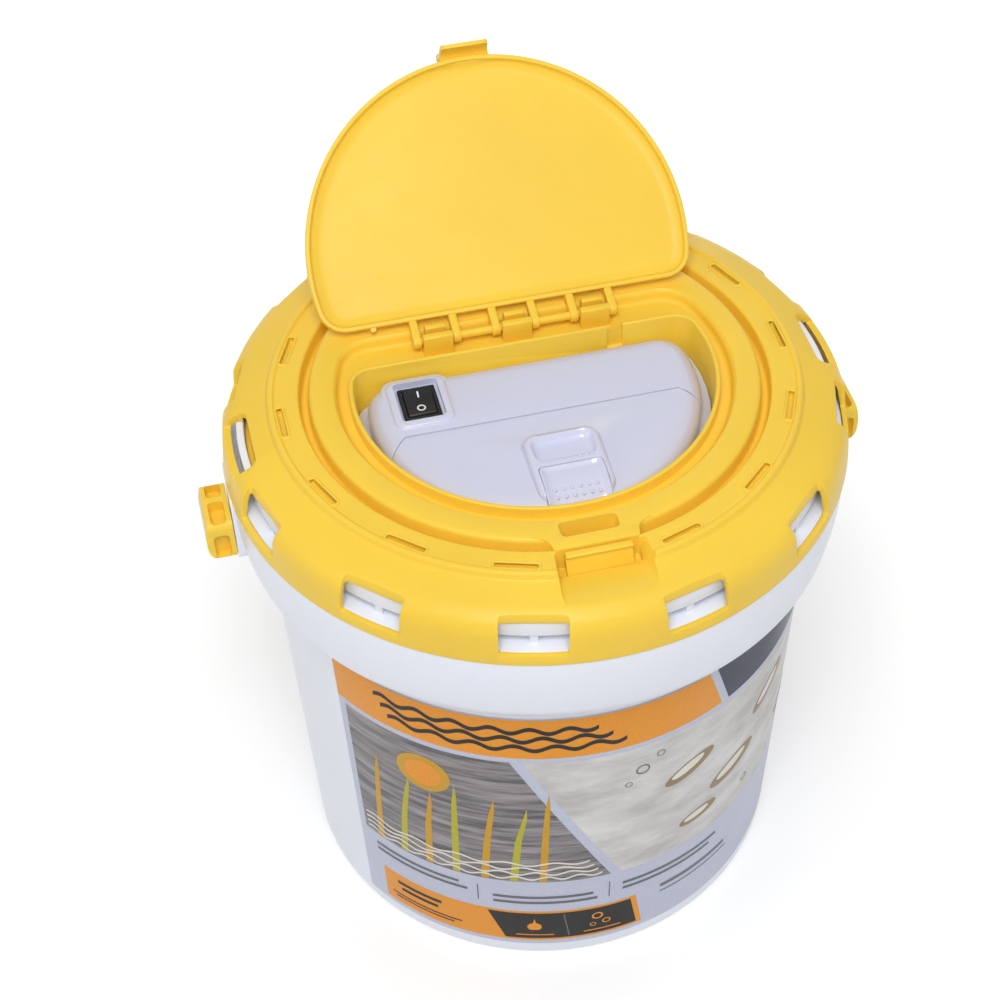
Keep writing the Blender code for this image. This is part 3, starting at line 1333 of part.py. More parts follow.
def aerator_cover():
    """White rear cover with the sunk switch pocket."""
    hood, inside = housing_shell("aerator_cover")
    front = prism("cover_front", seam_outline(0.0), cover_bottom() - OVERCUT, COVER_TOP + OVERCUT, cutter=True)
    top = COVER_TOP + SURROUND_HEIGHT
    pocket_floor = top - SWITCH_POCKET_DEPTH - SURROUND_HEIGHT
    half_w = SWITCH_POCKET_WIDTH / 2
    half_l = SWITCH_POCKET_LENGTH / 2
    low = (SWITCH_X - half_w - SURROUND_MARGIN, SWITCH_Y - half_l - SURROUND_MARGIN)
    high = (SWITCH_X + half_w + SURROUND_MARGIN, COVER_BACK - COVER_SHELL)
    surround = prism("switch_surround", rounded_box_outline(low, high, SURROUND_MARGIN, 4),
                     COVER_TOP - 2 * COVER_SHELL, top, cutter=True)
    surround.data.transform(surround.matrix_world)
    surround.matrix_world = Matrix.Identity(4)
    top_edge_bevel(surround, top, SURROUND_HEIGHT * 0.8, 2)
    limit = prism("surround_limit", d_outline(COVER_RADIUS - GAP * 2, COVER_BACK - GAP * 2, COVER_CORNER),
                  COVER_TOP - 4 * COVER_SHELL, top + OVERCUT, cutter=True)
    boolean(surround, limit, "INTERSECT")
    surround = as_mesh(surround)
    pocket = prism("switch_pocket", rounded_box_outline((SWITCH_X - half_w, SWITCH_Y - half_l),
                                                        (SWITCH_X + half_w, SWITCH_Y + half_l), 0.0015),
                   pocket_floor, top + OVERCUT, cutter=True)
    hole = box("switch_hole",
               (SWITCH_X - SWITCH_BODY_WIDTH / 2 - GAP, SWITCH_Y - SWITCH_BODY_LENGTH / 2 - GAP,
                cover_bottom() - OVERCUT),
               (SWITCH_X + SWITCH_BODY_WIDTH / 2 + GAP, SWITCH_Y + SWITCH_BODY_LENGTH / 2 + GAP,
                top + OVERCUT), cutter=True)
    cut(hood, inside)
    join(hood, surround)
    cut(hood, front, pocket, hole)
    return finish(hood, material("white_housing", WHITE, 0.3))


def battery_door():
    """White front door over the cells, with the raised housing of the thumb latch."""
    hood, inside = housing_shell("battery_door")
    cut(hood, inside)
    high = COVER_TOP + LATCH_HOUSING_RISE
    half = LATCH_HOUSING_WIDTH / 2
    outline = [
        (-LATCH_HOUSING_BACK, COVER_TOP - COVER_SHELL / 2),
        (-LATCH_HOUSING_BACK, COVER_TOP + 0.0004),
        (-LATCH_HOUSING_BACK - 0.0030, high - 0.0006),
        (-LATCH_HOUSING_BACK - 0.0045, high),
        (-LATCH_FRONT + 0.0060, high - 0.0006),
        (-LATCH_FRONT, high - 0.0030),
        (-LATCH_FRONT, COVER_TOP - COVER_SHELL * 2.5),
        (-LATCH_FRONT + COVER_SHELL, COVER_TOP - COVER_SHELL * 2.5),
        (-LATCH_FRONT + COVER_SHELL, COVER_TOP - COVER_SHELL / 2),
    ]
    housing = side_prism("latch_housing", outline, LATCH_X - half, LATCH_X + half, cutter=True)
    join(hood, housing)
    behind = prism("door_behind", behind_seam_outline(), cover_bottom() - OVERCUT, COVER_TOP + 3 * OVERCUT,
                   cutter=True)
    scoop = scoop_cutter(high)
    gap = RUNNING_GAP
    slot = box("latch_slot", (LATCH_X - LATCH_WIDTH / 2 - gap, -LATCH_FRONT - OVERCUT, latch_bottom() - 0.0040),
               (LATCH_X + LATCH_WIDTH / 2 + gap, -LATCH_BACK + gap, high + OVERCUT), cutter=True)
    join(hood, contact_posts())
    cut(hood, behind, scoop, slot)
    return finish(hood, material("white_housing", WHITE, 0.3))


def behind_seam_outline():
    """The region behind the seam, which the battery door leaves to the cover."""
    front = seam_outline(SEAM_GAP)
    side = COVER_RADIUS + 0.02
    return [(-side, side)] + [front[7], front[6], front[5], front[4], front[3], front[2]] + [(side, side)]


def scoop_cutter(high):
    """The finger scoop behind the thumb latch: a lying cylinder cut into the housing."""
    middle = (SCOOP_BACK + SCOOP_FRONT) / 2
    half_chord = (SCOOP_FRONT - SCOOP_BACK) / 2
    radius = (half_chord ** 2 + SCOOP_DEPTH ** 2) / (2 * SCOOP_DEPTH)
    height = high + radius - SCOOP_DEPTH
    return rod("latch_scoop", (LATCH_X - SCOOP_WIDTH / 2, -middle, height),
               (LATCH_X + SCOOP_WIDTH / 2, -middle, height), radius, 32, cutter=True)


def contact_posts():
    """Ribs under the battery door that press the contact strip on the cells."""
    top = COVER_TOP - COVER_SHELL / 2
    bottom = contact_top() + GAP

    def fill(data):
        for side in (-1, 1):
            x = side * CELL_X
            add_box(data, (x - 0.0015, CELL_Y - 0.0050, bottom), (x + 0.0015, CELL_Y + 0.0090, top))
    return mesh_from("contact_posts", fill, cutter=True)


def latch_bottom():
    """The height of the underside of the thumb latch."""
    return COVER_TOP + LATCH_HOUSING_RISE - 0.0008 - LATCH_THICKNESS


def thumb_latch():
    """The springy thumb pad that locks the battery door, with rows of raised grip dots."""
    top = latch_bottom() + LATCH_THICKNESS
    low = latch_bottom()
    dip = 0.0016
    outline = [
        (-LATCH_BACK, low),
        (-LATCH_FRONT + 0.0004, low - 0.0012),
        (-LATCH_FRONT, low - 0.0004),
        (-LATCH_FRONT + 0.0010, top - dip - 0.0004),
    ]
    for index in range(1, 6):
        share = index / 6
        y = -LATCH_FRONT + 0.0010 + share * (LATCH_FRONT - LATCH_BACK - 0.0020)
        outline.append((y, top - dip * (1 - share) - 0.0008 * math.sin(math.pi * share)))
    outline += [(-LATCH_BACK - 0.0006, top), (-LATCH_BACK, top - 0.0006)]
    outline.reverse()
    pad = side_prism("thumb_latch", outline, LATCH_X - LATCH_WIDTH / 2, LATCH_X + LATCH_WIDTH / 2)

    def fill(data):
        for row in range(GRIP_DOT_ROWS):
            for column in range(GRIP_DOT_COLUMNS):
                x = LATCH_X + (column - (GRIP_DOT_COLUMNS - 1) / 2) * 0.0034
                y = -LATCH_FRONT + 0.0030 + row * 0.0032
                add_rod(data, (x, y, top - 0.0040), (x, y, top - dip * 0.72 + row * 0.0002), GRIP_DOT_RADIUS, 8)
    join(pad, mesh_from("latch_dots", fill, cutter=True))
    return finish(pad, material("white_housing", WHITE, 0.3))


def bezel_bottom():
    """The height of the floor of the switch pocket, on which the bezel sits."""
    return COVER_TOP - SWITCH_POCKET_DEPTH + GAP


def switch_body():
    """Black snap-in switch: bezel frame, box and two terminals."""
    low = bezel_bottom()
    half_w = BEZEL_WIDTH / 2
    half_l = BEZEL_LENGTH / 2
    bezel = box("switch_body", (SWITCH_X - half_w, SWITCH_Y - half_l, low),
                (SWITCH_X + half_w, SWITCH_Y + half_l, low + BEZEL_HEIGHT))
    round_edges(bezel, 0.0004, 1)
    body_w = SWITCH_BODY_WIDTH / 2
    body_l = SWITCH_BODY_LENGTH / 2

    def fill(data):
        add_box(data, (SWITCH_X - body_w, SWITCH_Y - body_l, low - SWITCH_BODY_DEPTH),
                (SWITCH_X + body_w, SWITCH_Y + body_l, low + BEZEL_HEIGHT / 2))
        for side in (-1, 1):
            y = SWITCH_Y + side * TERMINAL_OFFSET
            add_box(data, (SWITCH_X - 0.0024, y - 0.0004, low - SWITCH_BODY_DEPTH - TERMINAL_LENGTH),
                    (SWITCH_X + 0.0024, y + 0.0004, low - SWITCH_BODY_DEPTH + EMBED))
    join(bezel, union_self(mesh_from("switch_block", fill, cutter=True)))
    opening_w = ROCKER_WIDTH / 2 + GAP
    opening_l = ROCKER_LENGTH / 2 + GAP
    seat = box("rocker_seat", (SWITCH_X - opening_w, SWITCH_Y - opening_l, low - 0.0048),
               (SWITCH_X + opening_w, SWITCH_Y + opening_l, low + OVERCUT), cutter=True)
    cut(bezel, seat)
    return finish(bezel, material("black_switch", (0.02, 0.02, 0.025), 0.35))


def switch_rocker():
    """Black rocker, modelled level about its pivot and tilted to its off side."""
    half = ROCKER_LENGTH / 2
    outline = [
        (-half + 0.0006, -ROCKER_DIP * 0.4),
        (half - 0.0006, -ROCKER_DIP * 0.4),
        (half - 0.0004, ROCKER_RISE - 0.0002),
        (half - 0.0010, ROCKER_RISE),
        (half * 0.5, ROCKER_RISE - ROCKER_DIP * 0.75),
        (0.0, ROCKER_RISE - ROCKER_DIP),
        (-half * 0.5, ROCKER_RISE - ROCKER_DIP * 0.75),
        (-half + 0.0010, ROCKER_RISE),
        (-half + 0.0004, ROCKER_RISE - 0.0002),
    ]
    rocker = side_prism("switch_rocker", outline, -ROCKER_WIDTH / 2, ROCKER_WIDTH / 2)
    rocker.location = (SWITCH_X, SWITCH_Y, rocker_pivot())
    rocker.rotation_euler.x = math.radians(ROCKER_TILT_DEG)
    return finish(rocker, material("black_switch", (0.02, 0.02, 0.025), 0.35))


def rocker_pivot():
    """The height of the rocker's pivot."""
    return bezel_bottom() + BEZEL_HEIGHT - 0.0018


def tub_floor():
    """The height at which the inside pieces stand on the tub's floor."""
    return BASE_BOTTOM + BASE_WALL + GAP


def cell_bottom(side):
    """The height of the underside of a cell, nub included: the left one stands on its spring."""
    if side < 0:
        return tub_floor() + SPRING_HEIGHT + GAP
    return tub_floor() + CONTACT_THICKNESS + GAP


def cell_top(side):
    """The height of the top of a cell, nub included."""
    return cell_bottom(side) + CELL_LENGTH + CELL_NUB_HEIGHT


def battery(side):
    """One D cell; the right one stands on its nub."""
    name = "battery_left" if side < 0 else "battery_right"
    x = side * CELL_X
    if side < 0:
        low, high = cell_bottom(side), cell_bottom(side) + CELL_LENGTH
        nub = ((x, CELL_Y, high - EMBED), (x, CELL_Y, cell_top(side)))
    else:
        low, high = cell_bottom(side) + CELL_NUB_HEIGHT, cell_top(side)
        nub = ((x, CELL_Y, cell_bottom(side)), (x, CELL_Y, low + EMBED))
    cell = rod(name, (x, CELL_Y, low), (x, CELL_Y, high), CELL_RADIUS, 32)
    join(cell, rod(f"{name}_nub", nub[0], nub[1], CELL_NUB_RADIUS, 16, cutter=True))
    return finish(cell, material("cell_wrap", (0.10, 0.10, 0.11), 0.35))


def battery_spring(side):
    """Conical contact spring: under the left cell, and over the right one on the contact strip."""
    if side < 0:
        name = "battery_spring_left"
        start = tub_floor() + SPRING_WIRE_RADIUS
        rise = SPRING_HEIGHT - 2 * SPRING_WIRE_RADIUS
    else:
        name = "battery_spring_right"
        start = contact_bottom() - GAP - SPRING_WIRE_RADIUS
        rise = cell_top(side) + GAP + SPRING_WIRE_RADIUS - start
    count = int(SPRING_TURNS * 10)
    points = []
    for index in range(count + 1):
        share = index / count
        radius = SPRING_BASE_RADIUS + (SPRING_TOP_RADIUS - SPRING_BASE_RADIUS) * share
        turn = 2 * math.pi * SPRING_TURNS * share
        points.append((side * CELL_X + radius * math.cos(turn), CELL_Y + radius * math.sin(turn),
                       start + rise * share))
    coil = wire(name, points, SPRING_WIRE_RADIUS)
    return finish(coil, material("contact_metal", (0.62, 0.60, 0.55), 0.3, 1.0))


def contact_bottom():
    """The height of the underside of the strip that bridges both cells."""
    return cell_top(-1) + GAP


def contact_top():
    """The height of the top of the strip that bridges both cells."""
    return contact_bottom() + CONTACT_THICKNESS


def contact_strip():
    """Metal strip under the battery door that joins the two cells."""
    reach = CELL_X + SPRING_BASE_RADIUS + 2 * SPRING_WIRE_RADIUS
    half = CONTACT_WIDTH / 2
    strip = box("contact_strip", (-reach, CELL_Y - half, contact_bottom()), (reach, CELL_Y + half, contact_top()))
    return finish(strip, material("contact_metal", (0.62, 0.60, 0.55), 0.3, 1.0))


def contact_plate():
    """Flat contact on the tub's floor under the right cell's nub."""
    half = CONTACT_WIDTH / 2
    plate = box("contact_plate", (CELL_X - half, CELL_Y - half, tub_floor()),
                (CELL_X + half, CELL_Y + half, tub_floor() + CONTACT_THICKNESS))
    return finish(plate, material("contact_metal", (0.62, 0.60, 0.55), 0.3, 1.0))


def wire_runs():
    """The three wires of the circuit, each with its name and its way."""
    terminal = bezel_bottom() - SWITCH_BODY_DEPTH - TERMINAL_LENGTH - GAP - WIRE_RADIUS
    front_y = SWITCH_Y - TERMINAL_OFFSET
    back_y = SWITCH_Y + TERMINAL_OFFSET
    low = tub_floor() + WIRE_RADIUS
    door_x = CHASSIS_HALF_LENGTH + 0.0040
    behind = -PARTITION_FRONT + PARTITION_THICKNESS + WIRE_HOLE_RADIUS + 2 * GAP
    battery_way = [
        (SWITCH_X, front_y, terminal),
        (SWITCH_X, front_y - 0.0010, terminal - 0.0080),
        (-door_x - 0.0030, behind + 0.0060, low + 0.0300),
        (-door_x, behind, low + 0.0040),
        (-door_x, -PARTITION_FRONT + PARTITION_THICKNESS / 2, low + 0.0030),
        (-door_x + 0.0020, -PARTITION_FRONT - 0.0030, low + 0.0020),
        (-CELL_X - 0.0130, CELL_Y + 0.0080, low),
        (-CELL_X - SPRING_BASE_RADIUS - 0.0016, CELL_Y + 0.0014, low),
    ]
    motor_way = [
        (SWITCH_X, back_y, terminal),
        (SWITCH_X, back_y, terminal - 0.0060),
        (-door_x, wire_lane(), terminal - 0.0140),
        (-door_x, wire_lane(), low + 0.0080),
        (-door_x + 0.0020, wire_lane(), low + 0.0030),
        (-CHASSIS_HALF_LENGTH + 0.0060, wire_lane(), low + 0.0020),
        (MOTOR_X - 0.0050, PUMP_Y + 0.0060, low + 0.0020),
        (MOTOR_X - 0.0040, PUMP_Y + 0.0020, motor_underside()),
    ]
    return_way = [
        (MOTOR_X + 0.0040, PUMP_Y - 0.0020, motor_underside()),
        (MOTOR_X + 0.0050, PUMP_Y - 0.0060, low + 0.0040),
        (MOTOR_X + 0.0080, behind, low + 0.0030),
        (MOTOR_X + 0.0080, -PARTITION_FRONT + PARTITION_THICKNESS / 2, low + 0.0030),
        (MOTOR_X + 0.0100, -PARTITION_FRONT - 0.0030, low + 0.0010),
        (CELL_X - CONTACT_WIDTH / 2 - 0.0060, CELL_Y + 0.0040, low),
        (CELL_X - CONTACT_WIDTH / 2 - GAP, CELL_Y, low),
    ]
    return {"battery_wire": battery_way, "motor_wire": motor_way, "return_wire": return_way}


def motor_underside():
    """The height at which the wires end under the motor."""
    return MOTOR_TOP - MOTOR_LENGTH - GAP - WIRE_RADIUS * 0.3


def wire_lane():
    """The Y of the lane between the pump's chassis and the tub's back wall."""
    back = D_WALL_BACK - D_WALL - WELL_LEDGE - BASE_CLEARANCE - BASE_WALL
    return (back + PUMP_Y + CHASSIS_HALF_DEPTH - EMBED) / 2


def wire_colour(name):
    """The insulation's colour of a named wire."""
    return (0.55, 0.03, 0.02) if name == "motor_wire" else (0.03, 0.03, 0.03)


def inner_wire(name):
    """One insulated wire inside the tub."""
    run = wire(name, wire_runs()[name], WIRE_RADIUS)
    return finish(run, material(f"{name}_insulation", wire_colour(name), 0.5))


def wire_holes():
    """Cutters for the holes in the tub's partition that the wires pass."""
    holes = []
    for name in ("battery_wire", "return_wire"):
        way = wire_runs()[name]
        index = 4 if name == "battery_wire" else 3
        x, y, z = way[index]
        holes.append(rod(f"{name}_hole", (x, y - OVERCUT, z), (x, y + OVERCUT, z), WIRE_HOLE_RADIUS, 12,
                         cutter=True))
    return holes


def motor():
    """Small direct-current motor, upright, with its bearing boss and shaft hole."""
    can = rod("motor", (MOTOR_X, PUMP_Y, MOTOR_TOP - MOTOR_LENGTH), (MOTOR_X, PUMP_Y, MOTOR_TOP),
              MOTOR_RADIUS, 32)
    boss = rod("motor_boss", (MOTOR_X, PUMP_Y, MOTOR_TOP - EMBED), (MOTOR_X, PUMP_Y, MOTOR_TOP + MOTOR_BOSS_HEIGHT),
               MOTOR_BOSS_RADIUS, 16, cutter=True)
    bore = rod("motor_bore", (MOTOR_X, PUMP_Y, MOTOR_TOP - 0.0030), (MOTOR_X, PUMP_Y, MOTOR_TOP + OVERCUT),
               SHAFT_RADIUS + GAP, 12, cutter=True)
    join(can, boss)
    cut(can, bore)
    return finish(can, material("motor_can", (0.60, 0.61, 0.63), 0.3, 1.0))


def crank_bottom():
    """The height of the underside of the crank disc, above the chassis plate."""
    return chassis_bottom() + CHASSIS_PLATE + RUNNING_GAP


def chassis_bottom():
    """The height of the underside of the chassis plate, on the motor."""
    return MOTOR_TOP + GAP


def crank_shaft():
    """Motor shaft with its crank disc and pin."""
    disc_low = crank_bottom()
    disc_high = disc_low + CRANK_THICKNESS
    shaft = rod("crank_shaft", (MOTOR_X, PUMP_Y, MOTOR_TOP - 0.0027), (MOTOR_X, PUMP_Y, disc_low + EMBED),
                SHAFT_RADIUS, 12)
    disc = rod("crank_disc", (MOTOR_X, PUMP_Y, disc_low), (MOTOR_X, PUMP_Y, disc_high), CRANK_RADIUS, 24, cutter=True)
    pin = rod("crank_pin", (MOTOR_X + CRANK_THROW, PUMP_Y, disc_high - EMBED),
              (MOTOR_X + CRANK_THROW, PUMP_Y, disc_high + CRANK_PIN_HEIGHT), CRANK_PIN_RADIUS, 12, cutter=True)
    join(shaft, disc, pin)
    shaft = as_mesh(shaft)
    shaft.data.transform(Matrix.Translation((-MOTOR_X, -PUMP_Y, 0.0)))
    shaft.location = (MOTOR_X, PUMP_Y, 0.0)
    return finish(shaft, material("shaft_steel", (0.65, 0.65, 0.66), 0.25, 1.0))


def pump_chassis():
    """Bracket that stands in the tub and carries the motor and the pump."""
    low = chassis_bottom()
    foot = tub_floor()

    def fill(data):
        add_box(data, (-CHASSIS_HALF_LENGTH, PUMP_Y - CHASSIS_HALF_DEPTH, low),
                (CHASSIS_HALF_LENGTH, PUMP_Y + CHASSIS_HALF_DEPTH, low + CHASSIS_PLATE))
        for side in (-1, 1):
            edges = sorted((side * CHASSIS_HALF_LENGTH, side * (CHASSIS_HALF_LENGTH - CHASSIS_LEG)))
            add_box(data, (edges[0], PUMP_Y - CHASSIS_HALF_DEPTH + EMBED, foot),
                    (edges[1], PUMP_Y + CHASSIS_HALF_DEPTH - EMBED, low + CHASSIS_PLATE / 2))
    frame = union_self(mesh_from("pump_chassis", fill))
    boss_hole = rod("chassis_boss_hole", (MOTOR_X, PUMP_Y, low - OVERCUT), (MOTOR_X, PUMP_Y, low + OVERCUT),
                    MOTOR_BOSS_RADIUS + GAP, 16, cutter=True)
    tube_hole = rod("chassis_tube_hole", (outlet_x(), PUMP_Y, low - OVERCUT), (outlet_x(), PUMP_Y, low + OVERCUT),
                    TUBE_BORE + TUBE_WALL + GAP, 16, cutter=True)
    cut(frame, boss_hole, tube_hole)
    return finish(frame, material("white_chassis", (0.80, 0.80, 0.80), 0.5))


def rod_bottom():
    """The height of the underside of the connecting rod, just above the crank pin."""
    return crank_bottom() + CRANK_THICKNESS + CRANK_PIN_HEIGHT + RUNNING_GAP


def connecting_rod():
    """Connecting rod with its eye over the crank and a button at the diaphragm."""
    low = rod_bottom()
    high = low + ROD_THICKNESS
    end = PUMP_X - DIAPHRAGM_THICKNESS - GAP - ROD_END_GAP
    half = ROD_BUTTON / 2
    middle = low + ROD_THICKNESS / 2

    def fill(data):
        add_rod(data, (MOTOR_X, PUMP_Y, low), (MOTOR_X, PUMP_Y, high), ROD_EYE_RADIUS, 24)
        add_box(data, (MOTOR_X + ROD_EYE_RADIUS / 2, PUMP_Y - ROD_BAR_WIDTH / 2, low + GAP / 2),
                (end - ROD_BUTTON_THICKNESS / 2, PUMP_Y + ROD_BAR_WIDTH / 2, high - GAP / 2))
        add_box(data, (end - ROD_BUTTON_THICKNESS, PUMP_Y - half, middle - half / 2),
                (end, PUMP_Y + half, middle + half / 2))
    link = union_self(mesh_from("connecting_rod", fill))
    eye = rod("rod_eye", (MOTOR_X, PUMP_Y, low - OVERCUT), (MOTOR_X, PUMP_Y, high + OVERCUT),
              CRANK_PIN_RADIUS + RUNNING_GAP, 16, cutter=True)
    cut(link, eye)
    return finish(link, material("grey_plastic", (0.30, 0.31, 0.33), 0.5))


def pump_low():
    """The height of the underside of the pump, on the chassis plate."""
    return chassis_bottom() + CHASSIS_PLATE + GAP


def pump_diaphragm():
    """Rubber diaphragm clamped on the open side of the pump."""
    middle = pump_low() + PUMP_HEIGHT / 2
    start = PUMP_X - GAP - DIAPHRAGM_THICKNESS
    disc = rod("pump_diaphragm", (start, PUMP_Y, middle), (PUMP_X - GAP, PUMP_Y, middle),
               PUMP_HEIGHT / 2 - GAP, 24)
    return finish(disc, material("black_rubber", (0.03, 0.03, 0.03), 0.7))


def pump_body():
    """Pump block with its chamber open towards the diaphragm."""
    low = pump_low()
    block = box("pump_body", (PUMP_X, PUMP_Y - PUMP_HALF, low),
                (PUMP_X + PUMP_BODY_LENGTH, PUMP_Y + PUMP_HALF, low + PUMP_HEIGHT))
    round_edges(block, 0.0008, 1)
    middle = low + PUMP_HEIGHT / 2
    chamber = rod("pump_chamber", (PUMP_X - OVERCUT, PUMP_Y, middle), (PUMP_X + CHAMBER_DEPTH, PUMP_Y, middle),
                  CHAMBER_RADIUS, 24, cutter=True)
    ports = []
    for side in (-1, 1):
        y = PUMP_Y + side * CHAMBER_RADIUS / 2
        ports.append(rod(f"pump_port_{side + 1}", (PUMP_X + CHAMBER_DEPTH - EMBED, y, middle),
                         (PUMP_X + PUMP_BODY_LENGTH + OVERCUT, y, middle), 0.0012, 12, cutter=True))
    cut(block, chamber, *ports)
    return finish(block, material("white_chassis", (0.80, 0.80, 0.80), 0.5))


def valve_plate():
    """Rubber sheet with both valve flaps, between the pump's body and head."""
    start = PUMP_X + PUMP_BODY_LENGTH + GAP
    low = pump_low()
    sheet = box("valve_plate", (start, PUMP_Y - PUMP_HALF, low),
                (start + VALVE_THICKNESS, PUMP_Y + PUMP_HALF, low + PUMP_HEIGHT))
    return finish(sheet, material("black_rubber", (0.03, 0.03, 0.03), 0.7))


def pump_head():
    """Pump head with the barb that the air tube is pushed on."""
    start = PUMP_X + PUMP_BODY_LENGTH + VALVE_THICKNESS + 2 * GAP
    low = pump_low()
    head = box("pump_head", (start, PUMP_Y - PUMP_HALF, low),
               (start + HEAD_LENGTH, PUMP_Y + PUMP_HALF, low + PUMP_HEIGHT))
    barb = rod("head_barb", (outlet_x(), PUMP_Y, low - 0.0070), (outlet_x(), PUMP_Y, low + EMBED),
               BARB_RADIUS, 16, cutter=True)
    bore = rod("head_bore", (outlet_x(), PUMP_Y, low - 0.0070 - OVERCUT), (outlet_x(), PUMP_Y, low + PUMP_HEIGHT / 2),
               NIPPLE_BORE, 12, cutter=True)
    join(head, barb)
    cut(head, bore)
    return finish(head, material("white_chassis", (0.80, 0.80, 0.80), 0.5))


def air_tube():
    """Short soft tube from the pump's barb down to the outlet nipple."""
    bottom = tub_floor() + NIPPLE_FLANGE + GAP
    top = pump_low() - GAP
    outer = TUBE_BORE + TUBE_WALL
    profile = [(outer, top), (outer, bottom), (TUBE_BORE, bottom), (TUBE_BORE, top)]
    tube = turned("air_tube", profile, 16, closed=True)
    tube.location = (outlet_x(), PUMP_Y, 0.0)
    return finish(tube, material("clear_tube", (0.75, 0.78, 0.80), 0.25))


def outlet_nipple():
    """Barbed outlet through the tub's floor, on which the outside air hose goes."""
    floor = tub_floor()
    tip = BASE_BOTTOM - NIPPLE_DROP
    barb = NIPPLE_RADIUS - 0.0004
    inner_top = floor + NIPPLE_FLANGE + 0.0080
    profile = [
        (BARB_RADIUS, inner_top),
        (BARB_RADIUS, floor + NIPPLE_FLANGE),
        (NIPPLE_FLANGE_RADIUS, floor + NIPPLE_FLANGE),
        (NIPPLE_FLANGE_RADIUS, floor),
        (NIPPLE_RADIUS, floor),
        (NIPPLE_RADIUS, BASE_BOTTOM - 0.0030),
    ]
    for index in range(2):
        start = BASE_BOTTOM - 0.0030 - index * 0.0035
        profile.append((barb - 0.0006, start - 0.0004))
        profile.append((barb, start - 0.0012))
        profile.append((barb - 0.0008, start - 0.0034))
    profile += [(barb - 0.0010, tip), (NIPPLE_BORE, tip), (NIPPLE_BORE, inner_top)]
    nipple = turned("outlet_nipple", profile, 16, closed=True)
    nipple.location = (outlet_x(), PUMP_Y, 0.0)
    return finish(nipple, material("white_chassis", (0.80, 0.80, 0.80), 0.5))


def clear_scene():
    """Remove every object of the scene."""
    for item in list(bpy.data.objects):
        bpy.data.objects.remove(item)


def main():
    """Build every piece of the bucket."""
    clear_scene()
    pail()
    foam_liner()
    label()
    bail_handle()
    lid()
    door_catch()
    access_door()
    aerator_base()
    for index in range(len(screw_places())):
        flange_screw(index)
    housing_gasket()
    aerator_cover()
    battery_door()
    thumb_latch()
    switch_body()
    switch_rocker()
    for side in (-1, 1):
        battery(side)
        battery_spring(side)
    contact_strip()
    contact_plate()
    for name in wire_runs():
        inner_wire(name)
    motor()
    crank_shaft()
    pump_chassis()
    connecting_rod()
    pump_diaphragm()
    pump_body()
    valve_plate()
    pump_head()
    air_tube()
    outlet_nipple()


main()
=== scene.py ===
"""Looks of the insulated bait bucket: fine shapes, finishes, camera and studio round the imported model."""
import math

import bmesh
import bpy
from bpy.props import FloatProperty, FloatVectorProperty, PointerProperty
from mathutils import Matrix, Vector


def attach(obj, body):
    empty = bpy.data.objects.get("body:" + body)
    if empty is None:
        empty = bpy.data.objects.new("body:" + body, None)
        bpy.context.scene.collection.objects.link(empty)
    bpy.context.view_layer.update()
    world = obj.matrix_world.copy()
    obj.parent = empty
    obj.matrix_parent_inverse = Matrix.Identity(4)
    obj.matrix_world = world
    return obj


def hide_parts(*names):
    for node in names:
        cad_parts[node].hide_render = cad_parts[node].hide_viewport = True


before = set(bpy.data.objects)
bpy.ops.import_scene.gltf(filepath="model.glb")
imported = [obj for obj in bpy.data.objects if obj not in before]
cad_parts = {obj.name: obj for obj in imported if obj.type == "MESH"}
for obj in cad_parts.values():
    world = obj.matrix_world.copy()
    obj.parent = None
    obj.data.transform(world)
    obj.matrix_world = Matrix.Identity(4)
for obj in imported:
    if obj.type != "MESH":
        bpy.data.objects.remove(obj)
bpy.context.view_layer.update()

bl_info = {
    "name": "Bait Bucket Looks",
    "version": (1, 0, 0),
    "blender": (4, 5, 0),
    "location": "View3D > Sidebar > Bait Bucket",
    "description": "Builds the visible shapes and finishes of an insulated bait bucket",
    "category": "Object",
}

LOOKS = "bait_bucket_looks"
HELPERS = "bait_bucket_helpers"
SIDES = (-1, 1)

# How finely round shapes are divided
TURN_STEPS = 192
FRONT_STEPS = 96
CORNER_STEPS = 10

MM = 0.001
# A radius below this one lies on the Z axis
ON_AXIS = 1e-7
# The corner radius that a D shape keeps when it is drawn in
LEAST_CORNER = 0.0004
# How far a cutter stands out past what it cuts
CLEAR = 0.004
# Booleans leave points that nearly meet, which are merged, and edges of no length, which are dissolved
MERGE_REACH = 0.00002
SHORT_EDGE = 0.00001


def srgb(red, green, blue):
    """The linear value of a colour that is given as it looks on screen, from 0 to 255."""
    found = []
    for part in (red, green, blue):
        share = part / 255.0
        found.append(share / 12.92 if share <= 0.04045 else ((share + 0.055) / 1.055) ** 2.4)
    return tuple(found)


class BaitBucketPail(bpy.types.PropertyGroup):
    """Sizes of the pail, its foam cup and its label."""
    base_radius: FloatProperty(name="Base Radius", description="Outer radius of the wall at the base",
                               default=0.1063, unit="LENGTH")
    taper: FloatProperty(name="Taper", description="How much the wall's radius grows with height",
                         default=0.0344)
    wall: FloatProperty(name="Wall", description="Thickness of the pail's wall",
                        default=0.0022, unit="LENGTH")
    collar_radius: FloatProperty(name="Collar Radius", description="Outer radius of the collar",
                                 default=0.1244, unit="LENGTH")
    foam: FloatProperty(name="Foam", description="Thickness of the foam cup", default=0.0080, unit="LENGTH")


class BaitBucketLid(bpy.types.PropertyGroup):
    """Sizes of the lid."""
    radius: FloatProperty(name="Radius", description="Outer radius of the skirt",
                          default=0.1250, unit="LENGTH")
    top: FloatProperty(name="Top", description="Height of the platform above the ground",
                       default=0.2510, unit="LENGTH")
    wall: FloatProperty(name="Wall", description="Thickness of the moulding", default=0.0022, unit="LENGTH")
    groove: FloatProperty(name="Groove", description="Depth of the groove round the platform",
                          default=0.0076, unit="LENGTH")


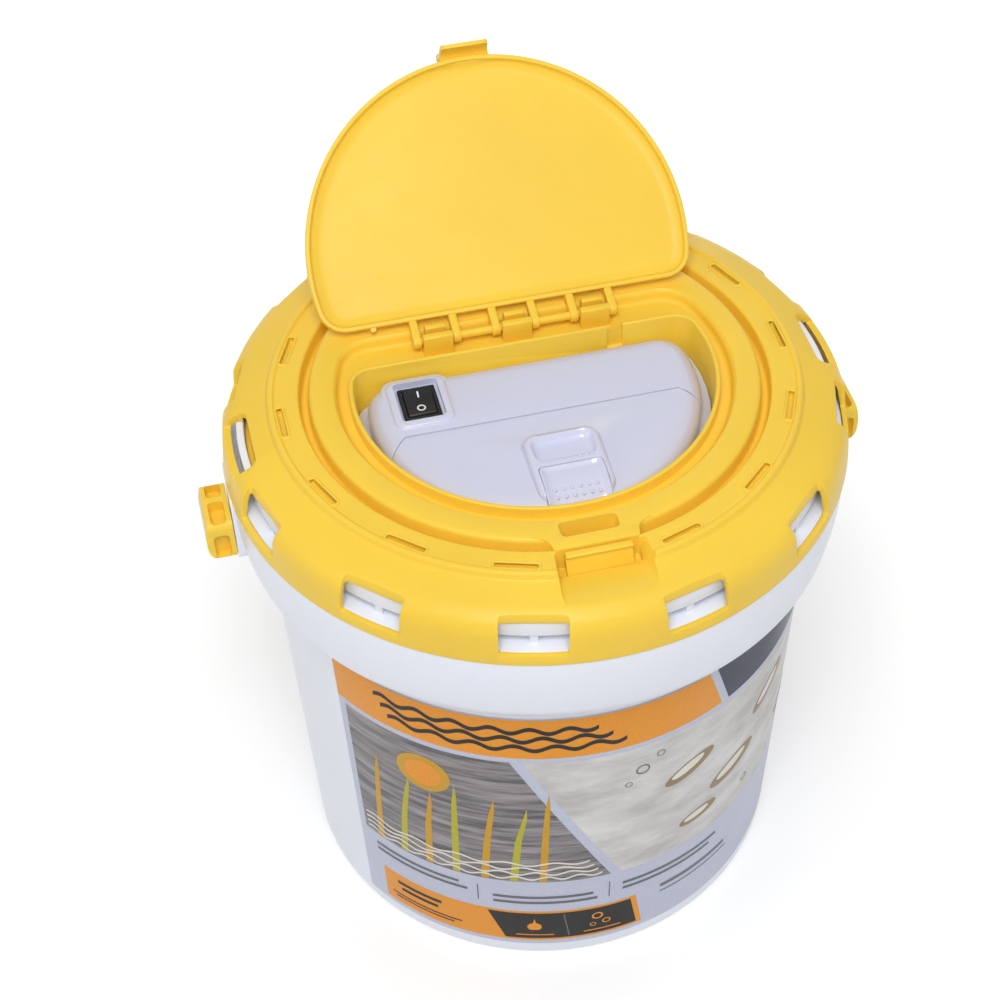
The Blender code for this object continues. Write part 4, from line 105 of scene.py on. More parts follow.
class BaitBucketColours(bpy.types.PropertyGroup):
    """Colours of the finishes."""
    yellow: FloatVectorProperty(name="Yellow", description="Lid, door and bail", subtype="COLOR",
                                size=3, default=srgb(246, 206, 70))
    white: FloatVectorProperty(name="White", description="Pail", subtype="COLOR",
                               size=3, default=srgb(238, 242, 253))
    # The housing is white plastic; this darker lilac-grey is painted shade of the deep well it sits in, with
    # a painted bluish reflection
    housing: FloatVectorProperty(name="Housing", description="Pump housing", subtype="COLOR",
                                 size=3, default=srgb(206, 209, 231))
    orange: FloatVectorProperty(name="Orange", description="Bands of the label", subtype="COLOR",
                                size=3, default=srgb(236, 152, 32))
    slate: FloatVectorProperty(name="Slate", description="Slanted block of the label", subtype="COLOR",
                               size=3, default=srgb(36, 42, 68))
    ink: FloatVectorProperty(name="Ink", description="Black parts of the label", subtype="COLOR",
                             size=3, default=srgb(22, 20, 20))


class BaitBucketStage(bpy.types.PropertyGroup):
    """Camera and light."""
    key_power: FloatProperty(name="Key Light", description="Power of the large lamp above",
                             default=10.4, unit="POWER")
    fill_power: FloatProperty(name="Fill Light", description="Power of the left lamp, which sets the others",
                              default=1.2, unit="POWER")
    world: FloatProperty(name="Sky", description="Strength of the even light all round", default=0.40)


def pail_sizes():
    """The pail's settings."""
    return bpy.context.scene.bait_bucket_pail


def lid_sizes():
    """The lid's settings."""
    return bpy.context.scene.bait_bucket_lid


def colours():
    """The colour settings."""
    return bpy.context.scene.bait_bucket_colours


def collection(name):
    """The named collection, made and linked when it is new."""
    found = bpy.data.collections.get(name)
    if found is None:
        found = bpy.data.collections.new(name)
        bpy.context.scene.collection.children.link(found)
    return found


def new_object(name, mesh, helper=False):
    """An object for a mesh, in the looks' or the helpers' collection."""
    made = bpy.data.objects.new(name, mesh)
    collection(HELPERS if helper else LOOKS).objects.link(made)
    return made


def mesh_from(name, builder, helper=False):
    """An object whose mesh is filled in by a function that gets a bmesh."""
    mesh = bpy.data.meshes.new(name)
    data = bmesh.new()
    builder(data)
    data.to_mesh(mesh)
    data.free()
    return new_object(name, mesh, helper)


def evaluated_mesh(made):
    """The plain mesh that an object evaluates to."""
    bpy.context.view_layer.update()
    graph = bpy.context.evaluated_depsgraph_get()
    return bpy.data.meshes.new_from_object(made.evaluated_get(graph))


def drop(made):
    """Remove a helper and its mesh or curve."""
    data = made.data
    bpy.data.objects.remove(made)
    if data is not None and data.users == 0:
        if isinstance(data, bpy.types.Mesh):
            bpy.data.meshes.remove(data)
        else:
            bpy.data.curves.remove(data)


def apply_all(made):
    """Turn an object's modifiers into its mesh."""
    mesh = evaluated_mesh(made)
    made.modifiers.clear()
    made.data = mesh
    return made


def combine(made, kind, *others):
    """Cut or join other objects at once, and remove them."""
    for other in others:
        step = made.modifiers.new(other.name, "BOOLEAN")
        step.operation = kind
        step.solver = "EXACT"
        step.object = other
    apply_all(made)
    for other in others:
        drop(other)
    return made


def cut(made, *others):
    """Take the others away."""
    return combine(made, "DIFFERENCE", *others)


def join(made, *others):
    """Fuse the others with a piece."""
    return combine(made, "UNION", *others)


def clean(made):
    """Merge what booleans leave behind on edges."""
    data = bmesh.new()
    data.from_mesh(made.data)
    bmesh.ops.remove_doubles(data, verts=data.verts, dist=MERGE_REACH)
    bmesh.ops.dissolve_degenerate(data, edges=data.edges, dist=SHORT_EDGE)
    data.to_mesh(made.data)
    data.free()
    return made


def ease(made, width, segments=2, angle_deg=38.0):
    """Round the edges that are still sharp."""
    bevel = made.modifiers.new("Ease", "BEVEL")
    bevel.width = width
    bevel.segments = segments
    bevel.limit_method = "ANGLE"
    bevel.angle_limit = math.radians(angle_deg)
    bevel.use_clamp_overlap = True
    bevel.miter_outer = "MITER_ARC"
    return apply_all(made)


def dress(made, body, tone, stands_for=(), smooth_deg=32.0):
    """Paint a piece, and say its body and what it stands for."""
    made.data.materials.clear()
    made.data.materials.append(paint(tone))
    made.data.shade_smooth()
    made.data.set_sharp_from_angle(angle=math.radians(smooth_deg))
    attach(made, body)
    if stands_for:
        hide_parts(*stands_for)
    return made


def soften(points, steps=4, closed=False):
    """Round the corners of a path of (x, y, radius) points."""
    found = []
    count = len(points)
    nearly_none = 1e-9
    most = 0.48
    for index, (x, y, radius) in enumerate(points):
        here = Vector((x, y))
        end_point = not closed and index in (0, count - 1)
        before = Vector(points[index - 1][:2]) - here
        after = Vector(points[(index + 1) % count][:2]) - here
        if end_point or radius <= 0.0 or min(before.length, after.length) < nearly_none:
            found.append((x, y))
            continue
        reach = min(radius, before.length * most, after.length * most)
        start = here + before.normalized() * reach
        finish = here + after.normalized() * reach
        for step in range(steps + 1):
            share = step / steps
            spot = (1 - share) ** 2 * start + 2 * share * (1 - share) * here + share ** 2 * finish
            found.append((spot.x, spot.y))
    return found


def arc(centre, radius, start_deg, end_deg, steps):
    """Points on an arc, both ends included."""
    found = []
    for index in range(steps + 1):
        angle = math.radians(start_deg + (end_deg - start_deg) * index / steps)
        found.append((centre[0] + radius * math.cos(angle), centre[1] + radius * math.sin(angle)))
    return found


def d_outline(radius, back, corner):
    """A capital D lying on its side: a round front about the Z axis and a straight back."""
    middle_y = back - corner
    middle_x = math.sqrt((radius - corner) ** 2 - middle_y ** 2)
    tangent = math.degrees(math.atan2(middle_y, middle_x))
    points = arc((0.0, 0.0), radius, -180.0 - tangent, tangent, FRONT_STEPS)
    points += arc((middle_x, middle_y), corner, tangent, 90.0, CORNER_STEPS)[1:]
    points += arc((-middle_x, middle_y), corner, 90.0, 180.0 - tangent, CORNER_STEPS)[:-1]
    return points


def rounded_box(low, high, corner, steps=5):
    """A rectangle with round corners, from its lower right one round to its lower left one."""
    left, right = low[0] + corner, high[0] - corner
    lower, upper = low[1] + corner, high[1] - corner
    points = []
    for centre, start in (((right, lower), -90.0), ((right, upper), 0.0),
                          ((left, upper), 90.0), ((left, lower), 180.0)):
        points += arc(centre, corner, start, start + 90.0, steps)
    return points


def box_rings(low, high, corner, path, steps=8):
    """Rings of round-cornered rectangles at the (outset, height) points of a path."""
    least = 0.0006
    rings = []
    for outset, height in path:
        ring = rounded_box((low[0] - outset, low[1] - outset), (high[0] + outset, high[1] + outset),
                           max(corner + outset, least), steps)
        rings.append([(x, y, height) for x, y in ring])
    return rings


def quarter(steps, first=0):
    """The angles of a quarter turn in equal steps, from the given step to its end."""
    return [math.pi / 2 * step / steps for step in range(first, steps + 1)]


def loft(name, rings, helper=False, ring_closed=False):
    """A body through a row of rings; the row is closed on itself, or both its ends are capped."""
    def fill(data):
        rows = [[data.verts.new(point) for point in ring] for ring in rings]
        pairs = list(zip(rows[:-1], rows[1:]))
        if ring_closed:
            pairs.append((rows[-1], rows[0]))
        for first, second in pairs:
            for side in range(len(first)):
                after = (side + 1) % len(first)
                data.faces.new((first[side], first[after], second[after], second[side]))
        if not ring_closed:
            data.faces.new(rows[0])
            data.faces.new(tuple(reversed(rows[-1])))
        bmesh.ops.recalc_face_normals(data, faces=data.faces)
    return mesh_from(name, fill, helper)


def d_body(name, shape, path, helper=False, ring_closed=False):
    """A D-shaped body whose section is a path of (outset, height) points."""
    radius, back, corner = shape
    rings = []
    for outset, height in path:
        ring = d_outline(radius + outset, back + outset, max(corner + outset, LEAST_CORNER))
        rings.append([(x, y, height) for x, y in ring])
    return loft(name, rings, helper, ring_closed)


def shrunk(outline, amount):
    """An outline moved in towards its middle by an amount."""
    count = len(outline)
    centre = Vector((sum(x for x, _ in outline) / count, sum(y for _, y in outline) / count))
    found = []
    for index, point in enumerate(outline):
        before = Vector(outline[index - 1])
        after = Vector(outline[(index + 1) % count])
        way = (after - before).normalized()
        inward = Vector((-way.y, way.x))
        if inward.dot(centre - Vector(point)) < 0:
            inward = -inward
        found.append(Vector(point) + inward * amount)
    return found


def prism(name, outline, low, high, helper=False, edge=0.0, base_edge=0.0):
    """A flat outline raised between two heights, with round upper and lower edges if they are given."""
    levels = []
    if base_edge > 0.0:
        for angle in quarter(4)[:-1]:
            levels.append((base_edge * (1 - math.sin(angle)), low + base_edge * (1 - math.cos(angle))))
    levels.append((0.0, low + base_edge))
    if edge > 0.0:
        for angle in quarter(4):
            levels.append((edge * (1 - math.cos(angle)), high - edge * (1 - math.sin(angle))))
    else:
        levels.append((0.0, high))
    rings = [[(spot.x, spot.y, height) for spot in shrunk(outline, amount)] for amount, height in levels]
    return loft(name, rings, helper)


def side_body(name, outline, left, right, helper=False):
    """An outline of (y, z) points stretched along X."""
    rings = [[(x, y, z) for y, z in outline] for x in (left, right)]
    return loft(name, rings, helper)


def turned(name, profile, steps=TURN_STEPS):
    """A profile of (radius, height) points turned about the Z axis, where both its ends lie."""
    def fill(data):
        columns = []
        for index in range(steps):
            angle = 2 * math.pi * index / steps
            columns.append((math.cos(angle), math.sin(angle)))
        rows = []
        for radius, height in profile:
            if radius < ON_AXIS:
                rows.append([data.verts.new((0.0, 0.0, height))])
            else:
                rows.append([data.verts.new((radius * x, radius * y, height)) for x, y in columns])
        for first, second in zip(rows[:-1], rows[1:]):
            for side in range(steps):
                after = (side + 1) % steps
                if len(first) == 1:
                    data.faces.new((first[0], second[after], second[side]))
                elif len(second) == 1:
                    data.faces.new((first[side], first[after], second[0]))
                else:
                    data.faces.new((first[side], first[after], second[after], second[side]))
        bmesh.ops.recalc_face_normals(data, faces=data.faces)
    return mesh_from(name, fill)


def add_box(data, low, high):
    """Add a box between two corners to a bmesh."""
    low = Vector(low)
    high = Vector(high)
    place = Matrix.Translation((low + high) / 2) @ Matrix.Diagonal((*(high - low), 1.0))
    bmesh.ops.create_cube(data, size=1.0, matrix=place)


def box(name, *corners):
    """A helper of one or more boxes, each between a low and a high corner."""
    def fill(data):
        for low, high in zip(corners[::2], corners[1::2]):
            add_box(data, low, high)
    return mesh_from(name, fill, helper=True)


def rod(name, start, end, radius, sides=32):
    """A round rod between two points, as a helper."""
    start = Vector(start)
    end = Vector(end)
    turn = (end - start).to_track_quat("Z", "Y").to_matrix().to_4x4()
    place = Matrix.Translation((start + end) / 2) @ turn

    def fill(data):
        bmesh.ops.create_cone(data, cap_ends=True, segments=sides, radius1=radius, radius2=radius,
                              depth=(end - start).length, matrix=place)
    return mesh_from(name, fill, helper=True)


def front_turn(angle_deg):
    """The turn that carries the front, at -Y, to an angle towards +X."""
    return Matrix.Rotation(math.radians(angle_deg), 4, "Z")


def spun(angles_deg, spot=(0.0, 0.0, 0.0)):
    """Places for a shape that is drawn at the front, one at each angle round the Z axis."""
    return [(front_turn(angle) @ Vector(spot), (0.0, 0.0, math.radians(angle))) for angle in angles_deg]


def unturned(spots):
    """Places at the given spots, with no turn."""
    return [(Vector(spot), (0.0, 0.0, 0.0)) for spot in spots]


def places_object(name, places):
    """A helper with one point for each (place, turn) and the turn kept as an attribute."""
    mesh = bpy.data.meshes.new(name)
    mesh.from_pydata([tuple(place) for place, _ in places], [], [])
    turns = mesh.attributes.new("turn", "FLOAT_VECTOR", "POINT")
    for item, (_, turn) in zip(turns.data, places):
        item.vector = turn
    return new_object(name, mesh, helper=True)


# For each kind of repeated shape: its input, the input's type, and the node that gives it with its sockets
REPEATED_SHAPES = {
    "OBJECT": ("Shape", "NodeSocketObject", "GeometryNodeObjectInfo", "Object", "Geometry"),
    "BLOCK": ("Size", "NodeSocketVector", "GeometryNodeMeshCube", "Size", "Mesh"),
    "BALL": ("Radius", "NodeSocketFloat", "GeometryNodeMeshUVSphere", "Radius", "Mesh"),
}
BALL_DIVISIONS = {"Segments": 20, "Rings": 12}


def repeat_tree(name, shape):
    """Geometry nodes that set a shape on every point, turned as the point says, and paint it."""
    label, kind, node_type, socket_in, socket_out = REPEATED_SHAPES[shape]
    tree = bpy.data.node_groups.new(name, "GeometryNodeTree")
    face = tree.interface
    keys = {}
    for title, socket in (("Places", "NodeSocketGeometry"), (label, kind), ("Paint", "NodeSocketMaterial")):
        keys[title] = face.new_socket(title, in_out="INPUT", socket_type=socket).identifier
    face.new_socket("Geometry", in_out="OUTPUT", socket_type="NodeSocketGeometry")
    nodes = tree.nodes
    start = nodes.new("NodeGroupInput")
    end = nodes.new("NodeGroupOutput")
    spread = nodes.new("GeometryNodeInstanceOnPoints")
    turn = nodes.new("GeometryNodeInputNamedAttribute")
    turn.data_type = "FLOAT_VECTOR"
    turn.inputs["Name"].default_value = "turn"
    euler = nodes.new("FunctionNodeEulerToRotation")
    real = nodes.new("GeometryNodeRealizeInstances")
    painted = nodes.new("GeometryNodeSetMaterial")
    source = nodes.new(node_type)
    if shape == "BALL":
        for title, count in BALL_DIVISIONS.items():
            source.inputs[title].default_value = count
    for first, out, second, into in (
            (start, label, source, socket_in), (source, socket_out, spread, "Instance"),
            (start, "Places", spread, "Points"), (turn, "Attribute", euler, "Euler"),
            (euler, "Rotation", spread, "Rotation"), (spread, "Instances", real, "Geometry"),
            (real, "Geometry", painted, "Geometry"), (start, "Paint", painted, "Material"),
            (painted, "Geometry", end, "Geometry")):
        tree.links.new(first.outputs[out], second.inputs[into])
    return tree, keys[label], keys["Paint"]


def repeated(name, places, shape, value, tone, helper=False):
    """A mesh with a shape on each of the places, in a finish."""
    spots = places_object(f"{name}_places", places)
    tree, value_key, paint_key = repeat_tree(f"{name}_tree", shape)
    step = spots.modifiers.new("Repeat", "NODES")
    step.node_group = tree
    step[value_key] = value
    step[paint_key] = paint(tone)
    mesh = evaluated_mesh(spots)
    step.node_group = None
    spots.modifiers.clear()
    drop(spots)
    bpy.data.node_groups.remove(tree)
    return new_object(name, mesh, helper)


def copies(name, shape, places, helper=False):
    """A yellow mesh with a copy of a helper shape on each of the places; the helper is removed."""
    made = repeated(name, places, "OBJECT", shape, "yellow", helper)
    drop(shape)
    return made


class Finish:
    """Builds one procedural finish node by node."""

    def __init__(self, name, colour, roughness, metallic=0.0):
        self.material = bpy.data.materials.new(name)
        self.material.use_nodes = True
        self.tree = self.material.node_tree
        self.shader = self.tree.nodes["Principled BSDF"]
        self.shader.inputs["Base Color"].default_value = (*colour, 1.0)
        self.shader.inputs["Roughness"].default_value = roughness
        self.shader.inputs["Metallic"].default_value = metallic
        place = self.tree.nodes.new("ShaderNodeTexCoord")
        self.where = place.outputs["Object"]
        self.bumps = None

    def link(self, start, end):
        """Join two sockets."""
        self.tree.links.new(start, end)

    def stretched(self, scale):
        """Object coordinates, stretched along the axes."""
        mapping = self.tree.nodes.new("ShaderNodeMapping")
        mapping.inputs["Scale"].default_value = scale
        self.link(self.where, mapping.inputs["Vector"])
        return mapping.outputs["Vector"]

    def noise(self, scale, detail=3.0, rough=0.5, where=None):
        """A noise value over the piece."""
        node = self.tree.nodes.new("ShaderNodeTexNoise")
        node.inputs["Scale"].default_value = scale
        node.inputs["Detail"].default_value = detail
        node.inputs["Roughness"].default_value = rough
        self.link(where or self.where, node.inputs["Vector"])
        return node.outputs["Fac"]

    def cells(self, scale):
        """A cell pattern over the piece."""
        node = self.tree.nodes.new("ShaderNodeTexVoronoi")
        node.inputs["Scale"].default_value = scale
        self.link(self.where, node.inputs["Vector"])
        return node.outputs["Distance"]

    def ranged(self, value, low, high, start=0.3, end=0.7):
        """A value carried from one range to another."""
        node = self.tree.nodes.new("ShaderNodeMapRange")
        node.inputs["From Min"].default_value = start
        node.inputs["From Max"].default_value = end
        node.inputs["To Min"].default_value = low
        node.inputs["To Max"].default_value = high
        self.link(value, node.inputs["Value"])
        return node.outputs["Result"]

    def blend(self, factor, first, second):
        """A colour between two, by a factor."""
        node = self.tree.nodes.new("ShaderNodeMix")
        node.data_type = "RGBA"
        self.link(factor, node.inputs["Factor"])
        # Sockets 6 and 7 are the colour inputs A and B, and output 2 is the colour
        for socket, value in ((node.inputs[6], first), (node.inputs[7], second)):
            if isinstance(value, tuple):
                socket.default_value = (*value[:3], 1.0)
            else:
                self.link(value, socket)
        return node.outputs[2]

    def paint(self, value):
        """Use a colour as the base colour."""
        self.link(value, self.shader.inputs["Base Color"])

    def tone(self, value, first, second, start=0.3, end=0.7):
        """Let a value between start and end carry the base colour from the first to the second."""
        self.paint(self.blend(self.ranged(value, 0.0, 1.0, start, end), first, second))

    def gloss(self, value, low, high):
        """Let a value carry the roughness from low to high."""
        self.link(self.ranged(value, low, high), self.shader.inputs["Roughness"])

    def constant(self, socket, value):
        """Set a socket of the shader that is the same all over."""
        self.shader.inputs[socket].default_value = value

    def bump(self, value, strength, depth):
        """Raise the surface by a value, on top of what is raised already."""
        node = self.tree.nodes.new("ShaderNodeBump")
        node.inputs["Strength"].default_value = strength
        node.inputs["Distance"].default_value = depth
        self.link(value, node.inputs["Height"])
        if self.bumps is not None:
            self.link(self.bumps, node.inputs["Normal"])
        self.bumps = node.outputs["Normal"]
        self.link(self.bumps, self.shader.inputs["Normal"])


def tinted(colour, share):
    """A colour made lighter or darker by a share."""
    return tuple(max(0.0, min(1.0, part * share)) for part in colour)


def moulded(name, colour, roughness, grain=0.25, glow=0.0, cloud=0.05, sink=0.25, shine=0.5):
    """Injection-moulded plastic: faint colour clouds, streaks of uneven gloss, grain and soft sink marks."""
    made = Finish(name, colour, roughness)
    made.tone(made.noise(14.0, 2.0), tinted(colour, 1.0 - cloud), tinted(colour, 1.0 + cloud * 0.6))
    streaks = made.noise(60.0, 5.0, 0.6, made.stretched((1.0, 3.0, 1.0)))
    made.gloss(streaks, roughness - 0.04, roughness + 0.08)
    made.bump(made.noise(18.0, 1.0), sink, 0.0006)
    made.bump(made.noise(2600.0, 2.0), grain, 0.00004)
    made.constant("IOR", 1.49)
    made.constant("Specular IOR Level", shine)
    if glow > 0.0:
        made.constant("Subsurface Weight", glow)
        made.constant("Subsurface Radius", (1.0, 0.55, 0.15))
        made.constant("Subsurface Scale", 0.003)
    return made.material


def foam_finish():
    """Bead foam: packed cells with darker seams."""
    colour = srgb(236, 236, 230)
    made = Finish("bead_foam", colour, 0.8)
    beads = made.cells(260.0)
    made.tone(beads, colour, tinted(colour, 0.82), 0.1, 0.7)
    made.gloss(made.noise(90.0), 0.7, 0.9)
    made.bump(beads, 0.5, 0.0006)
    return made.material


def print_finish(name, colour, roughness=0.36):
    """Printed film: even ink with faint mottling, and the film's slight ripple."""
    made = Finish(name, colour, roughness)
    made.tone(made.noise(900.0, 3.0), tinted(colour, 0.95), tinted(colour, 1.04))
    made.gloss(made.noise(30.0, 2.0), roughness - 0.05, roughness + 0.06)
    made.bump(made.noise(22.0, 2.0), 0.15, 0.0004)
    made.bump(made.noise(1800.0, 1.0), 0.06, 0.00003)
    made.constant("Specular IOR Level", 0.25)
    return made.material


def backdrop_finish(name, tones, grain, stretch, start, end):
    """A printed background of the label: grain between two tones, and the film's slight ripple."""
    middle, first, second = tones
    made = Finish(name, middle, 0.4)
    made.tone(made.noise(*grain, made.stretched((1.0, 1.0, stretch))), first, second, start, end)
    made.gloss(made.noise(30.0, 2.0), 0.34, 0.46)
    made.bump(made.noise(22.0, 2.0), 0.12, 0.0004)
    return made.material


def planks_finish():
    """Printed grey boards with grain."""
    tones = (srgb(110, 106, 110), srgb(70, 66, 72), srgb(158, 152, 154))
    return backdrop_finish("printed_boards", tones, (26.0, 8.0, 0.65), 14.0, 0.38, 0.64)


def sand_finish():
    """Printed pale sand and shallow water."""
    tones = (srgb(206, 204, 200), srgb(186, 184, 182), srgb(224, 223, 222))
    return backdrop_finish("printed_shallows", tones, (34.0, 6.0, 0.6), 2.6, 0.35, 0.68)


def metal_finish(name, colour, roughness, brushed=(1.0, 1.0, 1.0)):
    """Bare or plated metal with fine drawing lines and small stains."""
    made = Finish(name, colour, roughness, metallic=1.0)
    lines = made.noise(700.0, 3.0, 0.6, made.stretched(brushed))
    made.tone(made.noise(90.0, 4.0), tinted(colour, 0.86), tinted(colour, 1.08))
    made.gloss(lines, roughness - 0.08, roughness + 0.14)
    made.bump(lines, 0.12, 0.00005)
    return made.material


def rubber_finish():
    """Matt black rubber with a dusty bloom."""
    colour = srgb(34, 34, 36)
    made = Finish("black_rubber_skin", colour, 0.72)
    made.tone(made.noise(70.0, 5.0), colour, srgb(58, 57, 58))
    made.gloss(made.noise(160.0), 0.6, 0.85)
    made.bump(made.noise(1500.0, 3.0), 0.3, 0.00006)
    return made.material


def cell_finish():
    """Plain battery wrap: dark film with a wide copper-coloured band at the upper end."""
    made = Finish("cell_wrap_film", srgb(30, 30, 34), 0.32)
    split = made.tree.nodes.new("ShaderNodeSeparateXYZ")
    made.link(made.where, split.inputs["Vector"])
    band_start, band_full = 0.2180, 0.2184
    band = made.ranged(split.outputs["Z"], 0.0, 1.0, band_start, band_full)
    inks = made.noise(400.0, 2.0)
    dark = made.blend(made.ranged(inks, 0.0, 1.0), srgb(26, 26, 30), srgb(40, 40, 46))
    copper = made.blend(made.ranged(inks, 0.0, 1.0), srgb(176, 118, 62), srgb(198, 140, 80))
    made.paint(made.blend(band, dark, copper))
    made.gloss(made.noise(50.0), 0.24, 0.4)
    made.bump(made.noise(60.0, 2.0), 0.15, 0.0002)
    return made.material


def tube_finish():
    """Soft translucent tube."""
    colour = srgb(206, 212, 214)
    made = Finish("soft_tube", colour, 0.25)
    made.constant("Transmission Weight", 0.55)
    made.constant("IOR", 1.42)
    made.tone(made.noise(40.0), tinted(colour, 0.9), colour)
    made.gloss(made.noise(120.0), 0.2, 0.35)
    made.bump(made.noise(300.0, 2.0), 0.1, 0.0001)
    return made.material


PAINTS = {}


def paint(name):
    """A finish by its name, made when it is first asked for."""
    if name not in PAINTS:
        PAINTS[name] = make_paint(name)
    return PAINTS[name]


def make_paint(name):
    """Make the finish of this name."""
    tones = colours()
    makers = {
        "yellow": lambda: moulded("yellow_moulding", tuple(tones.yellow), 0.38, grain=0.35, glow=0.12,
                                  shine=0.3),
        "white": lambda: moulded("white_moulding", tuple(tones.white), 0.32, grain=0.15, glow=0.06,
                                 cloud=0.015, sink=0.10),
        # The housing finish carries the painted shade of the well and the painted bluish reflection that its
        # colour setting holds
        "housing": lambda: moulded("housing_moulding_painted_shade", tuple(tones.housing), 0.17, grain=0.06, glow=0.05,
                                   cloud=0.015, sink=0.06, shine=0.8),
        "black": lambda: moulded("switch_moulding", srgb(20, 21, 26), 0.40, grain=0.8, cloud=0.15, shine=0.3),
        "mark": lambda: print_finish("switch_mark", srgb(228, 230, 234), 0.4),
        "plain": lambda: moulded("chassis_moulding", srgb(214, 214, 212), 0.5, grain=0.6, cloud=0.04),
        "grey": lambda: moulded("rod_moulding", srgb(88, 90, 94), 0.48, grain=0.6, cloud=0.08),
        "red_wire": lambda: moulded("red_insulation", srgb(176, 32, 26), 0.42, grain=0.3, cloud=0.08),
        "black_wire": lambda: moulded("black_insulation", srgb(28, 28, 30), 0.42, grain=0.3, cloud=0.08),
        "foam": foam_finish,
        "rubber": rubber_finish,
        "cell": cell_finish,
        "tube": tube_finish,
        "steel": lambda: metal_finish("ground_steel", (0.55, 0.55, 0.56), 0.26, (1.0, 1.0, 12.0)),
        "plated": lambda: metal_finish("nickel_plate", (0.68, 0.66, 0.60), 0.22),
        "can": lambda: metal_finish("zinc_plate", (0.60, 0.61, 0.63), 0.34, (1.0, 1.0, 0.1)),
        "film": lambda: print_finish("label_ground", srgb(196, 201, 220)),
        "orange": lambda: print_finish("orange_ink", tuple(tones.orange)),
        "slate": lambda: print_finish("slate_ink", tuple(tones.slate)),
        "ink": lambda: print_finish("black_ink", tuple(tones.ink), 0.42),
        "small_print": lambda: print_finish("grey_ink", srgb(104, 104, 112)),
        "boards": planks_finish,
        "shallows": sand_finish,
        "leaf": lambda: print_finish("reed_ink", srgb(184, 178, 40)),
        "gold": lambda: print_finish("amber_ink", srgb(206, 156, 26)),
        "reed": lambda: print_finish("brown_ink", srgb(150, 128, 92)),
        "pale": lambda: print_finish("pale_ink", srgb(232, 228, 216)),
    }
    return makers[name]()


# Pail, foam cup and label: heights above the ground, radii about the Z axis, angles from the front

FLOOR_LOW = 0.0022
FLOOR_TOP = 0.0047
COLLAR_START = 0.1820
COLLAR_TOP = 0.2232
LEDGE_TOP = 0.2280
LEDGE_STEP = 0.0022
RIM_TOP = 0.2400
RIM_LOW = RIM_TOP - 0.0080
RIM_SEAT = RIM_TOP - 0.0055
RIM_RADIUS = 0.1120
RIM_LIP = 0.0060
RIM_STEP = 0.1150
WINDOW_ANGLES = [side * angle for angle in (14.45, 43.35, 72.25, 107.75, 136.65, 165.55) for side in SIDES]
SLOT_ANGLES = [side * (18.0 + 24.0 * index) for index in range(7) for side in SIDES]
PIVOT_HEIGHT = 0.2000
PIN_RADIUS = 0.0040
PIN_ENDS = (0.1230, 0.1340)
EAR_FACE = 0.1251
FOAM_TOP = 0.2230


def wall_radius(height):
    """The outer radius of the pail's tapered wall."""
    sizes = pail_sizes()
    return sizes.base_radius + sizes.taper * height


def pail_shell():
    """White pail with soft collar, ledge and rim lip, and its ears and pivot pins."""
    sizes = pail_sizes()
    wall = sizes.wall
    collar = sizes.collar_radius
    ledge = collar - LEDGE_STEP
    neck = wall_radius(COLLAR_START)
    run = collar - neck
    lip = RIM_RADIUS + RIM_LIP
    path = [
        (0.0, FLOOR_LOW, 0.0), (0.0962, FLOOR_LOW, 0.0008), (0.0973, 0.0002, 0.0008), (0.1050, 0.0, 0.0016),
        (wall_radius(0.002), 0.0020, 0.0016), (neck, COLLAR_START, 0.0012),
        (collar - run * 0.45, COLLAR_START + 0.0046, 0.0040),
        (collar - run * 0.20, COLLAR_START + 0.0098, 0.0050),
        (collar - 0.0004, COLLAR_START + 0.0230, 0.0100),
        (collar, COLLAR_TOP, 0.0008), (ledge, COLLAR_TOP, 0.0004), (ledge, LEDGE_TOP, 0.0006),
        (RIM_RADIUS, LEDGE_TOP, 0.0012), (RIM_RADIUS, RIM_LOW, 0.0012),
        (lip, RIM_LOW, 0.0006), (lip, RIM_TOP, 0.0009), (RIM_STEP, RIM_TOP, 0.0007),
        (RIM_STEP, RIM_SEAT, 0.0008), (RIM_RADIUS - wall, RIM_SEAT, 0.0009),
        (RIM_RADIUS - wall, LEDGE_TOP - wall, 0.0015),
        (ledge - wall, LEDGE_TOP - wall, 0.0010), (ledge - wall, COLLAR_START + 0.0208, 0.0060),
        (collar - run * 0.45 - wall, COLLAR_START + 0.0068, 0.0040),
        (neck - wall, COLLAR_START + wall, 0.0012),
        (wall_radius(FLOOR_TOP) - wall, FLOOR_TOP, 0.0020), (0.0, FLOOR_TOP, 0.0),
    ]
    shell = turned("pail_shell", soften(path))
    outline = rounded_box((-0.0110, 0.1902), (0.0140, COLLAR_TOP), 0.0035)
    ears = []
    for side in SIDES:
        faces = sorted((side * (ledge - wall / 2), side * EAR_FACE))
        ears.append(side_body(f"ear_{side + 1}", outline, *faces, helper=True))
    join(shell, *ears)
    for side in SIDES:
        start, end = [(side * across, 0.0, PIVOT_HEIGHT) for across in PIN_ENDS]
        join(shell, rod(f"pin_{side + 1}", start, end, PIN_RADIUS))
    return dress(shell, "pail_body", "white", stands_for=("pail",))


def pail_gussets():
    """Small upright gussets between the ledge and the rim lip, one in each window."""
    size = (0.0030, RIM_LIP, 0.0044)
    spot = (0.0, -(RIM_RADIUS + RIM_LIP / 2 - 0.0005), (LEDGE_TOP + RIM_TOP - 0.0080) / 2)
    places = spun(WINDOW_ANGLES + [-90.0, 90.0], spot)
    made = repeated("pail_gussets", places, "BLOCK", size, "white")
    return dress(made, "pail_body", "white")


